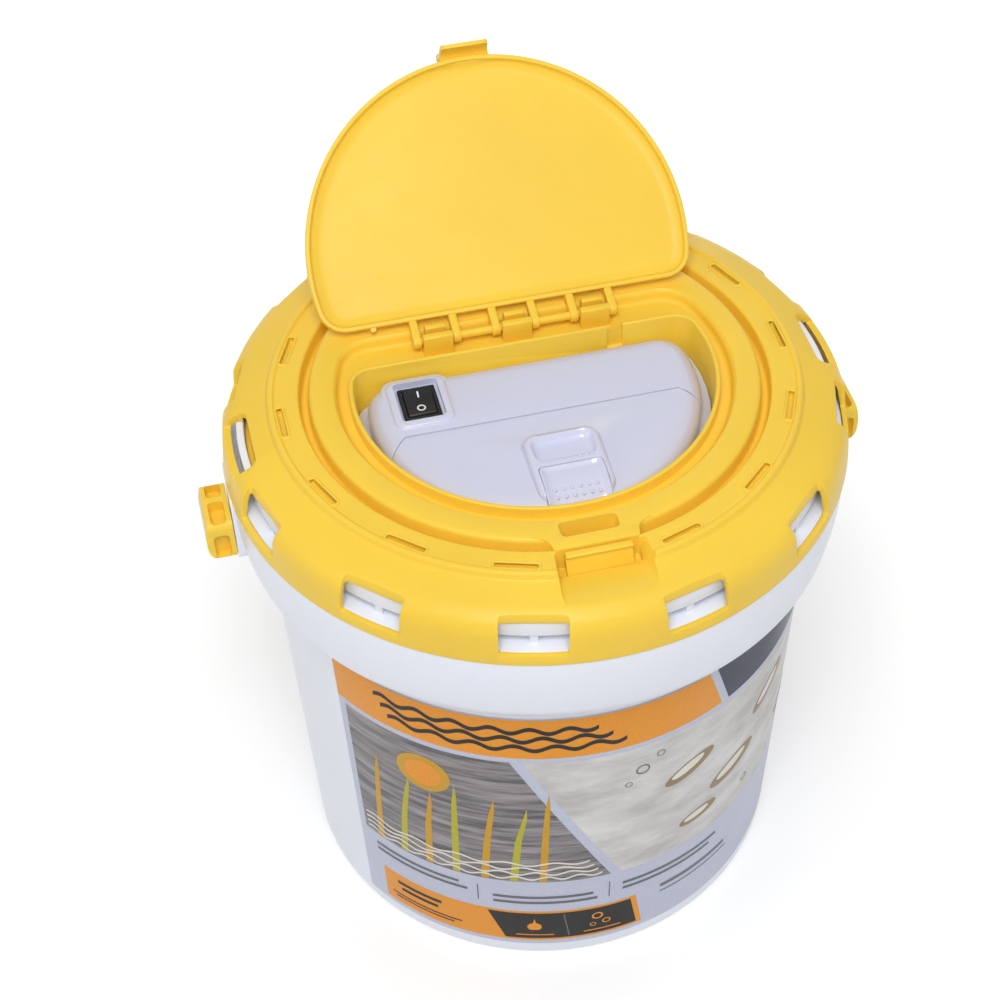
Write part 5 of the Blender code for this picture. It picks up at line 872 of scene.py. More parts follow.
def foam_cup():
    """Foam cup inside the pail, with moulded edges."""
    sizes = pail_sizes()
    gap = sizes.wall + 0.0003
    floor = 0.0050
    foot = wall_radius(floor) - gap
    neck = wall_radius(COLLAR_START) - gap
    path = [
        (0.0, floor, 0.0), (foot, floor, 0.0020), (neck, COLLAR_START, 0.0), (neck, FOAM_TOP, 0.0015),
        (neck - sizes.foam, FOAM_TOP, 0.0025), (neck - sizes.foam, COLLAR_START, 0.0),
        (foot - sizes.foam, floor + sizes.foam, 0.0040), (0.0, floor + sizes.foam, 0.0),
    ]
    cup = turned("foam_cup", soften(path), 128)
    return dress(cup, "pail_body", "foam", stands_for=("foam_liner",))


LABEL_FROM = -60.0
LABEL_TO = 114.0
LABEL_LOW = 0.0090
LABEL_HIGH = 0.1765
LABEL_LIFT = 0.0003
LAYER = 0.00005
# The widest flat strip of a print, in degrees, and how many millimetres of the wall a degree is
STRIP_DEG = 2.5
MM_PER_DEG = 1.9


def on_wall(degrees, height, layer):
    """A point on the label: an angle from the front and a height, lifted by its layer."""
    radius = wall_radius(height) + LABEL_LIFT + LAYER * (layer + 1)
    angle = math.radians(degrees)
    return Vector((radius * math.sin(angle), -radius * math.cos(angle), height))


def print_shape(name, outline, layer, ink, hole=None):
    """One printed shape: an outline of (degrees, millimetres up) points laid on the wall."""
    curve = bpy.data.curves.new(name, "CURVE")
    curve.dimensions = "2D"
    curve.fill_mode = "BOTH"
    for path in ([outline] if hole is None else [outline, hole]):
        spline = curve.splines.new("POLY")
        spline.points.add(len(path) - 1)
        for point, (degrees, height) in zip(spline.points, path):
            point.co = (degrees, height, 0.0, 1.0)
        spline.use_cyclic_u = True
    source = new_object(name, curve, helper=True)
    mesh = evaluated_mesh(source)
    drop(source)
    data = bmesh.new()
    data.from_mesh(mesh)
    low = min(vert.co.x for vert in data.verts)
    high = max(vert.co.x for vert in data.verts)
    count = int((high - low) / STRIP_DEG)
    for index in range(count):
        where = low + (high - low) * (index + 1) / (count + 1)
        bmesh.ops.bisect_plane(data, geom=data.verts[:] + data.edges[:] + data.faces[:],
                               plane_co=(where, 0.0, 0.0), plane_no=(1.0, 0.0, 0.0))
    for vert in data.verts:
        vert.co = on_wall(vert.co.x, vert.co.y * MM, layer)
    bmesh.ops.recalc_face_normals(data, faces=data.faces)
    outward = 0.0
    for face in data.faces:
        middle = face.calc_center_median()
        outward += face.normal.dot(Vector((middle.x, middle.y, 0.0))) * face.calc_area()
    if outward < 0:
        bmesh.ops.reverse_faces(data, faces=data.faces)
    data.to_mesh(mesh)
    data.free()
    made = new_object(name, mesh)
    return dress(made, "pail_body", ink, smooth_deg=60.0)


def oval(centre, half_width_deg, half_height, steps=28, lean_deg=0.0):
    """An oval outline on the label, leaned by an angle."""
    points = []
    lean = math.radians(lean_deg)
    for index in range(steps):
        angle = 2 * math.pi * index / steps
        x = half_width_deg * MM_PER_DEG * math.cos(angle)
        y = half_height * math.sin(angle)
        points.append((centre[0] + (x * math.cos(lean) - y * math.sin(lean)) / MM_PER_DEG,
                       centre[1] + x * math.sin(lean) + y * math.cos(lean)))
    return points


def bubble(name, centre, size, share, ink):
    """A printed ring whose hole takes up a share of it."""
    ring = oval(centre, size / MM_PER_DEG, size)
    hole = oval(centre, size * share / MM_PER_DEG, size * share)
    print_shape(name, ring, 3, ink, hole)


def label_film():
    """The film itself, a thin band round the wall."""
    steps = 120
    rings = []
    for index in range(steps + 1):
        degrees = LABEL_FROM + (LABEL_TO - LABEL_FROM) * index / steps
        ring = []
        for height, layer in ((LABEL_LOW, 0), (LABEL_HIGH, 0), (LABEL_HIGH, -1), (LABEL_LOW, -1)):
            ring.append(on_wall(degrees, height, layer))
        rings.append(ring)
    made = loft("label_film", rings)
    return dress(made, "pail_body", "film", stands_for=("label",))


def wave(start, end, middle, height, count, thickness):
    """A wavy stripe outline between two angles."""
    steps = 14 * count
    upper = []
    lower = []
    for index in range(steps + 1):
        share = index / steps
        degrees = start + (end - start) * share
        swing = middle + height * math.sin(2 * math.pi * count * share)
        upper.append((degrees, swing + thickness / 2))
        lower.append((degrees, swing - thickness / 2))
    return lower + list(reversed(upper))


# The label's design as (degrees, millimetres up, ...), on layers that lie on each other
PEBBLES = ((20, 118, 6.8, 24), (34, 96, 7.6, 18), (46, 126, 7.2, 30), (62, 88, 6.6, 12), (24, 78, 5.4, 8))
BUBBLES = ((8, 132, 3.0), (12, 139, 1.9), (5, 124, 1.6), (40, 74, 2.2), (52, 70, 1.5), (72, 120, 2.6),
           (78, 132, 1.8))
DROP_BUBBLES = ((-0.8, 28.0, 2.6), (1.4, 22.6, 2.0), (-1.8, 21.4, 1.5))
SUN = (-39.0, 128.0)
# Left and right end, foot and height of each bar, and its ink
BARS = (
    (-50.0, -38.0, 28.5, 2.2, "ink"), (-49.0, -39.0, 24.0, 2.2, "ink"), (-52.0, -33.0, 19.0, 0.9, "ink"),
    (-51.0, -35.0, 16.6, 0.9, "ink"), (-20.0, -11.0, 16.2, 0.8, "orange"), (-4.0, 5.0, 16.2, 0.8, "orange"),
    (-55.0, -33.0, 52.0, 1.8, "small_print"), (-55.0, -31.0, 47.8, 1.8, "small_print"),
    (-25.0, -2.0, 46.6, 1.8, "small_print"), (-25.0, -1.0, 42.4, 1.8, "small_print"),
    (5.0, 31.0, 49.0, 1.8, "small_print"), (5.0, 29.0, 44.8, 1.8, "small_print"),
    (15.0, 35.0, 34.0, 2.2, "small_print"), (15.0, 36.0, 30.0, 0.8, "small_print"),
)


def label_prints():
    """The label's plain design: bands, blocks, panels, and what is printed on them."""
    print_shape("band_orange", [(-60, 151), (27, 151), (22.5, 176.2), (-60, 176.2)], 1, "orange")
    for index in range(3):
        outline = wave(-49.0 + index * 1.5, -2.0 + index * 3.0, 169.0 - index * 5.6, 1.5, 6, 2.6)
        print_shape(f"band_wave_{index + 1}", outline, 2, "ink")
    print_shape("block_slate", [(29, 151), (114, 151), (114, 176.2), (24.5, 176.2)], 1, "slate")
    print_shape("panel_left", [(-58, 60), (2, 60), (-20, 148), (-58, 148)], 1, "boards")
    print_shape("panel_right", [(4.5, 60), (114, 60), (114, 148), (-17.5, 148)], 1, "shallows")
    label_reeds()
    print_shape("sun_disc", oval(SUN, 6.2, 11.8, 48), 3, "gold")
    print_shape("sun_core", oval(SUN, 4.3, 8.2, 48), 4, "orange")
    for index in range(4):
        outline = wave(-57.0, -3.0 + index * 1.0, 74.0 - index * 3.6, 1.1, 5 + index, 1.2)
        print_shape(f"water_line_{index + 1}", outline, 3, "pale")
    for index, (degrees, height, size, lean) in enumerate(PEBBLES):
        pebble = oval((degrees, height), size, size * 0.72, 32, lean)
        light = oval((degrees - 0.6, height + size * 0.16), size * 0.66, size * 0.40, 28, lean)
        print_shape(f"pebble_{index + 1}", pebble, 2, "reed")
        print_shape(f"pebble_light_{index + 1}", light, 3, "pale")
    for index, (degrees, height, size) in enumerate(BUBBLES):
        bubble(f"bubble_{index + 1}", (degrees, height), size, 0.78, "small_print")
    print_shape("block_orange", [(-54, 12), (10.5, 12), (8.5, 36), (-54, 36)], 1, "orange")
    print_shape("block_black", [(-22.5, 13.6), (9.1, 13.6), (7.2, 34.4), (-26.5, 34.4)], 2, "ink")
    print_shape("block_rule", [(-7.6, 14.8), (-7.3, 14.8), (-8.6, 33.2), (-8.9, 33.2)], 3, "small_print")
    label_small_prints()


def label_reeds():
    """Seven reeds on the left panel, each a pointed blade with a bend."""
    foot, bend = 60.5, 92.0
    for index in range(7):
        root = -53.0 + index * 6.6
        lean = 0.9 + 0.5 * math.sin(index * 1.7)
        tip = 126.0 - 5.0 * (index % 3)
        outline = [(root - 0.9, foot), (root + 0.9, foot), (root + lean + 0.8, bend),
                   (root + 2.2 * lean + 0.5, tip - 8.0), (root + 2.6 * lean, tip),
                   (root + 1.9 * lean - 0.5, tip - 12.0), (root + lean - 0.8, bend - 2.0)]
        print_shape(f"reed_{index + 1}", outline, 2, "leaf" if index % 2 else "gold")


def label_small_prints():
    """Plain bars and rules in place of small print, and two plain pictograms."""
    for index, (start, end, height, tall, ink) in enumerate(BARS):
        outline = [(start, height), (end, height), (end, height + tall), (start, height + tall)]
        print_shape(f"print_bar_{index + 1}", outline, 3, ink)
    for index, degrees in enumerate((-28.5, 1.8)):
        left, right = degrees - 0.12, degrees + 0.12
        outline = [(left, 42.0), (right, 42.0), (right, 54.0), (left, 54.0)]
        print_shape(f"print_rule_{index + 1}", outline, 3, "small_print")
    belly = []
    for step in reversed(range(19)):
        angle = 0.6 + 5.08 * step / 18
        belly.append((-15.6 + 1.7 * math.sin(angle), 23.4 - 3.2 * math.cos(angle)))
    print_shape("drop_sign", [(-15.6, 30.2)] + belly, 3, "orange")
    for index, (degrees, height, size) in enumerate(DROP_BUBBLES):
        bubble(f"bubble_sign_{index + 1}", (degrees, height), size, 0.68, "orange")


# Bail handle

BAIL_ANGLE = math.radians(39.5213)
BAIL_REACH = 0.17921
BAIL_SPAN = 0.1278
BAIL_THICK = 0.0085
BAIL_DEPTH = 0.0090
BAIL_FLANGE = 0.0024
BAIL_WEB = 0.0026
BAIL_SOFT = 0.0006
BAIL_BEND = 0.8
BAIL_STEPS = 120
GRIP_HALF = 0.048
HUB_LOW = 0.1254
HUB_HIGH = 0.1370
HUB_TOP = PIVOT_HEIGHT + 0.0100
HUB_POCKET = (0.1275, 0.1338)


def bail_point(across, along, depth):
    """A point of the bail: along runs from the pivot, depth is square to it."""
    y = along * math.sin(BAIL_ANGLE) + depth * math.cos(BAIL_ANGLE)
    z = PIVOT_HEIGHT - along * math.cos(BAIL_ANGLE) + depth * math.sin(BAIL_ANGLE)
    return Vector((across, y, z))


def arch_place(offset, turn):
    """The across and along of a place on the arch, a squarish oval; offset is from its inner face."""
    side = -1.0 if turn < math.pi / 2 else 1.0
    across = side * (BAIL_SPAN + offset) * abs(math.cos(turn)) ** BAIL_BEND
    along = (BAIL_REACH + offset) * abs(math.sin(turn)) ** BAIL_BEND
    return across, along


def bail_section():
    """The I-shaped section of the arch as (offset, depth) points."""
    half = BAIL_DEPTH / 2
    web = BAIL_WEB / 2
    inner, outer = BAIL_FLANGE, BAIL_THICK - BAIL_FLANGE
    corners = [(0.0, -half), (inner, -half), (inner, -web), (outer, -web), (outer, -half),
               (BAIL_THICK, -half), (BAIL_THICK, half),
               (outer, half), (outer, web), (inner, web), (inner, half), (0.0, half)]
    return soften([(*corner, BAIL_SOFT) for corner in corners], 2, closed=True)


def bail_arch():
    """Yellow bail: I-section arch, grip, and hubs with pockets."""
    section = bail_section()
    rings = []
    for index in range(BAIL_STEPS + 1):
        turn = math.pi * (0.004 + 0.992 * index / BAIL_STEPS)
        rings.append([bail_point(*arch_place(offset, turn), depth) for offset, depth in section])
    arch = loft("bail", rings)
    outline = rounded_box((-GRIP_HALF, -0.0060), (GRIP_HALF, 0.0060), 0.0057, 8)
    grip = prism("grip", outline, -BAIL_REACH - 0.0092, -BAIL_REACH,
                 helper=True, edge=0.0018, base_edge=0.0018)
    grip.data.transform(Matrix.Translation((0, 0, PIVOT_HEIGHT)) @ Matrix.Rotation(BAIL_ANGLE, 4, "X"))
    join(arch, grip, *[hub(side) for side in SIDES])
    clean(arch)
    return dress(arch, "handle", "yellow", stands_for=("bail_handle",))


def hub(side):
    """One hub block with a softly bulging outer side, its pockets and its bore."""
    root = HUB_LOW - 0.001
    outline = rounded_box((-0.0090, PIVOT_HEIGHT - 0.0100), (0.0160, HUB_TOP), 0.0030)
    block = side_body(f"hub_{side + 1}", outline, *sorted((side * HUB_LOW, side * HUB_HIGH)), helper=True)
    section = soften([(root, 0.1890, 0.0), (0.1306, 0.1890, 0.0030), (0.1362, 0.1932, 0.0036),
                      (HUB_HIGH, 0.2010, 0.0040), (0.1352, 0.2110, 0.0), (root, 0.2110, 0.0)], 5, closed=True)
    rings = [[(side * x, y, z) for x, z in section] for y in (-0.0100, 0.0170)]
    combine(block, "INTERSECT", loft("hub_section", rings, helper=True))
    inner, outer = sorted(side * across for across in HUB_POCKET)
    for low, high in ((0.0070, 0.0148), (-0.0078, 0.0044)):
        pocket = rounded_box((inner, low), (outer, high), 0.0016, 4)
        cut(block, prism("hub_pocket", pocket, HUB_TOP - 0.0050, HUB_TOP + CLEAR, helper=True))
    # The front pocket of the hub on the right is a little wider
    low = (inner, PIVOT_HEIGHT - 0.0084)
    high = (outer + 0.0010 * max(side, 0), PIVOT_HEIGHT + 0.0040)
    rings = [[(x, y, z) for x, z in rounded_box(low, high, 0.0018, 4)] for y in (-0.0120, -0.0052)]
    cut(block, loft("hub_front", rings, helper=True))
    start, end = [(side * across, 0.0, PIVOT_HEIGHT) for across in (0.1200, 0.1347)]
    cut(block, rod("hub_bore", start, end, PIN_RADIUS + 0.0004))
    clean(block)
    return ease(block, 0.0005)


def bail_ribs():
    """Cross ribs between the flanges of the arch, apart from its stretch under the grip."""
    count = 15
    places = []
    for index in range(count):
        turn = math.radians(6.0 + 168.0 * index / (count - 1))
        inner = arch_place(BAIL_FLANGE * 0.6, turn)
        outer = arch_place(BAIL_THICK - BAIL_FLANGE * 0.6, turn)
        if abs(inner[0]) < GRIP_HALF - 0.002:
            continue
        middle = bail_point((inner[0] + outer[0]) / 2, (inner[1] + outer[1]) / 2, 0.0)
        tilt = math.atan2(outer[0] - inner[0], -(outer[1] - inner[1]))
        turned_by = (Matrix.Rotation(BAIL_ANGLE, 4, "X") @ Matrix.Rotation(tilt, 4, "Y")).to_euler()
        places.append((middle, tuple(turned_by)))
    size = (0.0020, BAIL_DEPTH - 0.0008, BAIL_THICK - 1.2 * BAIL_FLANGE)
    made = repeated("bail_ribs", places, "BLOCK", size, "yellow")
    return dress(made, "handle", "yellow")


# Lid: a D shape is its front radius, its straight back and the radius of its back corners

RECESS = (0.0776, 0.0372, 0.0140)
D_WALL = (0.0728, 0.0222, 0.0100)
HINGE_Y = 0.0316
HINGE_Z = 0.2506
NOSE_FRONT = 0.0926
SKIRT_LOW = 0.2235
RECESS_FLOOR = 0.2460
WELL_LOW = 0.2300
# Half width, front, back and corner radius of a slot in the ring
SLOT_HALF = 0.0080
SLOT_FRONT = -0.1012
SLOT_BACK = -0.0990
SLOT_CORNER = 0.0007


def lid_path():
    """The turned section of the lid, from the centre of the top round to its underside."""
    sizes = lid_sizes()
    top = sizes.top
    wall = sizes.wall
    edge = sizes.radius
    groove = top - sizes.groove
    platform_and_ring = [
        (0.0, top, 0.0), (0.0884, top, 0.0022), (0.0890, groove, 0.0016),
        (0.0918, groove, 0.0016), (0.0925, top - 0.0010, 0.0014),
        (0.1020, top - 0.0014, 0.0006), (0.1026, top - 0.0003, 0.0006), (0.1045, top - 0.0003, 0.0009),
        (0.1055, top - 0.0030, 0.0008),
    ]
    shoulder_and_skirt = [
        (0.1168, top - 0.0064, 0.0060), (0.1214, top - 0.0094, 0.0040), (0.1236, top - 0.0135, 0.0050),
        (edge, SKIRT_LOW, 0.0007), (edge - wall, SKIRT_LOW, 0.0005),
        (edge - wall - 0.0003, 0.2295, 0.0), (edge - wall - 0.0020, 0.2370, 0.0016),
    ]
    seal_and_plug = [
        (0.1197, 0.2393, 0.0004), (0.1183, 0.2393, 0.0003), (0.1182, 0.2403, 0.0), (0.1151, 0.2403, 0.0003),
        (0.1150, 0.2424, 0.0005), (0.1126, 0.2430, 0.0005), (0.1126, 0.2366, 0.0004),
        (0.1146, 0.2362, 0.0004), (0.1146, 0.2350, 0.0004), (0.1109, 0.2350, 0.0005),
        (0.1107, 0.2438, 0.0006), (0.1051, 0.2460, 0.0010), (0.0944, 0.2464, 0.0010),
    ]
    underside = [
        (0.0944, groove - wall, 0.0008), (0.0862, groove - wall, 0.0008), (0.0862, top - wall, 0.0008),
        (0.0, top - wall, 0.0),
    ]
    return platform_and_ring + shoulder_and_skirt + seal_and_plug + underside


def lid_shell():
    """Yellow lid in one piece: skirt, ring, groove, platform, recess, well, nose, ramp and windows."""
    top = lid_sizes().top
    shell = turned("lid_shell", soften(lid_path()))
    tub = d_body("recess_tub", RECESS, [(0.0022, 0.2436), (0.0022, top - 0.0012)], helper=True)
    join(shell, tub)
    hollow = soften([(-0.0060, RECESS_FLOOR, 0.0), (-0.0004, RECESS_FLOOR, 0.0022),
                     (0.0002, top - 0.0014, 0.0008), (0.0014, top + 0.00002, 0.0),
                     (0.0014, top + CLEAR, 0.0)])
    cut(shell, d_body("recess_cutter", RECESS, hollow, helper=True))
    cut(shell, d_body("well_cutter", D_WALL, [(-0.0009, WELL_LOW), (-0.0009, top + CLEAR)], helper=True))
    ring = soften([(0.0, 0.2275, 0.0), (0.0002, 0.2452, 0.0), (0.0, top, 0.0008), (-0.0018, top, 0.0008),
                   (-0.0022, WELL_LOW, 0.0), (-0.0082, WELL_LOW, 0.0), (-0.0082, 0.2275, 0.0)], closed=True)
    join(shell, d_body("well_wall", D_WALL, ring, helper=True, ring_closed=True))
    join(shell, nose_block(), slot_box(), ramp_block(), notch_apron())
    cut(shell, front_cutters(), ramp_cutter())
    cut(shell, window_cutter(), slot_cutter())
    clean(shell)
    ease(shell, 0.0005, 2, 42.0)
    return dress(shell, "lid_body", "yellow", stands_for=("lid",))


def notch_apron():
    """A small baffle under the recess, behind the notch of the well's back wall."""
    return box("notch_apron", (0.0340, 0.0240, 0.2370), (0.0430, 0.0256, 0.2442))


def nose_block():
    """The flat bridge from the platform to the latch, with hollow roundings where it leaves the platform."""
    top = lid_sizes().top
    corners = [(0.0225, -0.0845, 0.0), (0.0172, -0.0866, 0.0024), (0.0160, -NOSE_FRONT, 0.0008)]
    outline = soften(corners + [(-x, y, radius) for x, y, radius in reversed(corners)], 4, closed=True)
    return prism("nose", outline, top - 0.0082, top - 0.00002, helper=True)


def slot_box():
    """The closed box under the nose that the door's hook drops into."""
    outline = rounded_box((-0.0134, -0.0886), (0.0120, -0.0780), 0.0020)
    return prism("slot_box", outline, 0.2336, lid_sizes().top - 0.0012, helper=True)


# The ramp's floor as (distance in front of the Z axis, height)
RAMP_LINE = ((0.0931, 0.2409), (0.0980, 0.2420), (0.1030, 0.2431), (0.1080, 0.2441), (0.1130, 0.2448),
             (0.1165, 0.2450), (0.1240, 0.2452), (0.1300, 0.2452))


def ramp_block():
    """Material under and beside the ramp."""
    top = lid_sizes().top
    below = 0.0018
    outline = [(-0.0914, top - 0.0024), (-0.1044, top - 0.0032), (-0.1130, top - 0.0072)]
    outline += [(-distance, height - below) for distance, height in reversed(RAMP_LINE[:5])]
    outline += [(-0.0914, 0.2388)]
    return side_body("ramp_block", outline, -0.0215, 0.0215, helper=True)


def ramp_cutter():
    """The ramp's open space: it widens outwards, with a steep left and a sloping right side."""
    top = lid_sizes().top + 0.0030
    rings = []
    for distance, floor in RAMP_LINE:
        half = 0.0148 + 0.0032 * (distance - RAMP_LINE[0][0]) / 0.0200
        rise = top - floor
        section = soften([(-half - 0.18 * rise, top, 0.0), (-half, floor, 0.0022), (half, floor, 0.0030),
                          (half + 0.36 * rise, top, 0.0)], 6)
        rings.append([(x, -distance, z) for x, z in section])
    return loft("ramp_cutter", rings, helper=True)


def front_cutters():
    """The hook slot, the notch in the well's back wall and the space of the catch."""
    high = lid_sizes().top + CLEAR
    slot = prism("hook_slot", rounded_box((-0.0118, -0.0870), (0.0104, -0.0796), 0.0020), 0.2352, high,
                 helper=True)
    spaces = box("front_space", (0.0352, 0.0150, 0.2395), (0.0418, 0.0223, high),
                 (-0.0158, -0.0981, 0.2409), (0.0158, -NOSE_FRONT, high))
    return join(slot, spaces)


def window_cutter():
    """Cutters for twelve windows over the shoulder, open above their sill, and two larger at the sides."""
    half = 0.01275
    front = -0.1300
    outline = [(front, 0.2285), (-0.1160, 0.2285), (-0.1160, 0.2391), (-0.1189, 0.2392), (-0.1178, 0.2440),
               (-0.1176, 0.2490), (front, 0.2490)]
    shape = side_body("window_shape", outline, -half, half, helper=True)
    ease(shape, 0.0012, 3, 70.0)
    made = copies("windows", shape, spun(WINDOW_ANGLES), helper=True)
    wide = prism("side_shape", rounded_box((-0.0155, -0.1310), (0.0155, -0.1127), 0.0030), 0.2385, 0.2500,
                 helper=True, base_edge=0.0010)
    return join(made, copies("side_windows", wide, spun((-90.0, 90.0)), helper=True))


def slot_cutter():
    """Cutters for the slots of the ring."""
    top = lid_sizes().top
    outline = rounded_box((-SLOT_HALF, SLOT_FRONT), (SLOT_HALF, SLOT_BACK), SLOT_CORNER, 4)
    shape = prism("slot_shape", outline, top - 0.0036, top + CLEAR, helper=True)
    return copies("slots", shape, spun(SLOT_ANGLES), helper=True)


def slot_rims():
    """Slim raised rims round the slots."""
    top = lid_sizes().top
    low = top - 0.0020
    high = top - 0.0007
    levels = [(0.0014, low), (0.0011, high - 0.0003), (0.0008, high),
              (0.0003, high), (0.0, high - 0.0003), (0.0, low)]
    rings = box_rings((-SLOT_HALF, SLOT_FRONT), (SLOT_HALF, SLOT_BACK), SLOT_CORNER, levels, 4)
    shape = loft("rim_shape", rings, helper=True, ring_closed=True)
    made = copies("slot_rims", shape, spun(SLOT_ANGLES))
    return dress(made, "lid_body", "yellow")


# The hinge's arms stand evenly along its rod, with the posts between them
ARM_PITCH = 0.01615
ARM_COUNT = 6
POSTS = (-2 * ARM_PITCH, 0.0, 2 * ARM_PITCH)


def hinge_posts():
    """Three posts that clasp the door's rod: a low front jaw and a narrower rear jaw."""
    foot = 0.2452
    top = 0.2553
    half = 0.0059
    front = [(0.0272, foot, 0.0), (0.0312, foot, 0.0), (0.0312, 0.2485, 0.0), (0.0304, 0.2500, 0.0010),
             (0.0304, top, 0.0008), (0.0272, top, 0.0008)]
    block = side_body("post_front", soften(front, 3, closed=True), -half, half, helper=True)
    base = side_body("post_foot", [(0.0275, foot), (0.0358, foot), (0.0358, 0.2487), (0.0275, 0.2487)],
                     -half + 0.0004, half - 0.0004, helper=True)
    rear = [(0.0328, foot, 0.0), (0.0362, foot, 0.0), (0.0362, top, 0.0012), (0.0330, top, 0.0010),
            (0.0336, 0.2520, 0.0008)]
    hook = side_body("post_rear", soften(rear, 3, closed=True), -0.0040, 0.0040, helper=True)
    join(block, base, hook)
    cut(block, rod("post_bore", (-0.02, HINGE_Y, HINGE_Z), (0.02, HINGE_Y, HINGE_Z), 0.0021))
    clean(block)
    ease(block, 0.0004)
    made = copies("hinge_posts", block, unturned((x, 0.0, 0.0) for x in POSTS))
    return dress(made, "lid_body", "yellow")


def door_catch():
    """The springy tongue with its rolled lip."""
    foot = 0.2413
    half = 0.0126
    outline = soften([
        (-0.0961, foot, 0.0), (-0.0931, 0.2484, 0.0006), (-0.0931, 0.2500, 0.0006), (-0.0959, 0.2500, 0.0009),
        (-0.0963, 0.2490, 0.0005), (-0.0951, 0.2484, 0.0006), (-0.0981, foot, 0.0),
    ], 3, closed=True)
    made = side_body("catch_tongue", outline, -half, half)
    ease(made, 0.0004)
    return dress(made, "catch", "yellow", stands_for=("door_catch",))


# Access door

DOOR = (0.0780, 0.02295, 0.0110)
DOOR_LOW = 0.2514
DOOR_HIGH = DOOR_LOW + 0.0060
DOOR_EDGE = 0.0772
DOOR_OPEN = math.radians(-136.2)


def door_section():
    """The door's section as (outset, height): round outer edge, lip and soft inner corner."""
    inside = DOOR_LOW + 0.0036
    return soften([
        (-0.0100, DOOR_HIGH, 0.0), (0.0, DOOR_HIGH, 0.0013),
        (0.0, DOOR_LOW, 0.0006), (-0.0018, DOOR_LOW, 0.0006),
        (-0.0021, DOOR_LOW + 0.0022, 0.0012), (-0.0052, inside, 0.0022), (-0.0101, inside, 0.0),
    ], 4)


def door_arm_shape():
    """One hinge arm, from the door's edge round the rod."""
    half = 0.0016
    root = DOOR[1] - 0.0009
    outline = arc((HINGE_Y, HINGE_Z), 0.0028, -120.0, 60.0, 14) + [
        (HINGE_Y - 0.0045, HINGE_Z + 0.0032), (DOOR[1] + 0.0010, DOOR_LOW + 0.0052),
        (root, DOOR_LOW + 0.0052), (root, DOOR_LOW + 0.0008)]
    arm = side_body("arm_shape", outline, -half, half, helper=True)
    return ease(arm, 0.0004)


def door_tab():
    """The tab at the front of the door: a bowed hook with round corners, and a thumb lip."""
    top = DOOR_LOW + 0.0058
    middle = top - 0.0012
    half = 0.0096
    drop_by = 0.0064
    shift = 0.0004
    stations = [(-0.0755, middle, 0.0130), (-0.0766, middle, 0.0108)]
    bend = quarter(14)
    for step, angle in enumerate(bend):
        stations.append((-0.0766 - 0.0053 * math.sin(angle), middle - drop_by * (1.0 - math.cos(angle)),
                         half + 0.0008 * (1.0 - step / (len(bend) - 1)) ** 2))
    for angle in quarter(6):
        stations.append((-0.0819, middle - drop_by - 0.0016 * math.sin(angle),
                         half - 0.0016 * (1 - math.cos(angle))))
    rings = []
    for index, (y, z, width) in enumerate(stations):
        before = Vector(stations[max(index - 1, 0)][:2])
        after = Vector(stations[min(index + 1, len(stations) - 1)][:2])
        thick = 0.0013 - 0.0005 * index / (len(stations) - 1)
        side = (after - before).normalized().orthogonal() * thick
        rings.append([(x * width + shift, y + side.x * way, z + side.y * way)
                      for x, way in ((-1, -1), (1, -1), (1, 1), (-1, 1))])
    tab = loft("tab_shape", rings, helper=True)
    outline = soften([
        (-0.0788, top - 0.0018, 0.0), (-0.0798, top + 0.0004, 0.0010), (-0.0802, top + 0.0048, 0.0008),
        (-0.0798, top + 0.0074, 0.0010), (-0.0822, top + 0.0078, 0.0012), (-0.0826, top + 0.0050, 0.0008),
        (-0.0820, top + 0.0014, 0.0012), (-0.0806, top - 0.0020, 0.0),
    ], 4, closed=True)
    join(tab, side_body("thumb_lip", outline, -0.0094, 0.0090, helper=True))
    return ease(tab, 0.0005)


def door_land():
    """The small land behind the tab, under the door's front edge."""
    half = 0.0232
    steps = 12
    back = -0.0736
    high = DOOR_HIGH - 0.0010
    rings = []
    for index in range(steps + 1):
        x = -half + 2 * half * index / steps
        edge = -math.sqrt(DOOR_EDGE ** 2 - x * x)
        rings.append([(x, edge, DOOR_LOW + 0.0012), (x, max(edge + 0.0012, -0.0757), DOOR_LOW + 0.0014),
                      (x, back, DOOR_LOW + 0.0036), (x, back, high), (x, edge, high)])
    return loft("land", rings, helper=True)


def access_door():
    """Yellow D-shaped door, shaped closed and turned open about its hinge."""
    door = d_body("door", DOOR, door_section())
    join(door, door_land(), door_tab())
    half = ARM_PITCH * 2.5
    places = unturned((ARM_PITCH * (index - 2.5), 0.0, 0.0) for index in range(ARM_COUNT))
    arms = copies("door_arms", door_arm_shape(), places, helper=True)
    join(door, arms, rod("door_rod", (-half, HINGE_Y, HINGE_Z), (half, HINGE_Y, HINGE_Z), 0.0017, 24))
    foot, head = [(-0.0564, 0.0235, DOOR_LOW + height) for height in (0.0004, 0.0040)]
    join(door, rod("door_nub", foot, head, 0.0011, 16))
    clean(door)
    place = (Matrix.Translation((0.0, HINGE_Y, HINGE_Z)) @ Matrix.Rotation(DOOR_OPEN, 4, "X")
             @ Matrix.Translation((0.0, -HINGE_Y, -HINGE_Z)))
    door.data.transform(place)
    return dress(door, "door", "yellow", stands_for=("access_door",))


# Pump housing in the well

COVER = (0.0660, 0.0196, 0.0120)
COVER_LOW = 0.2341
COVER_TOP = 0.2440
COVER_WALL = 0.0020
# Corners of the seam between the covers on the right: across and along
SEAM = ((0.0550, -0.0136), (0.0624, -0.0215), (0.0698, -0.0294), (0.0860, -0.0294))
SWITCH = (-0.0455, 0.0041)
POCKET_HALF = (0.0088, 0.0109)
LATCH_X = 0.0020
PAD_HALF = 0.0125
PAD_FRONT = -0.0638
PAD_LENGTH = 0.0638 - 0.0462


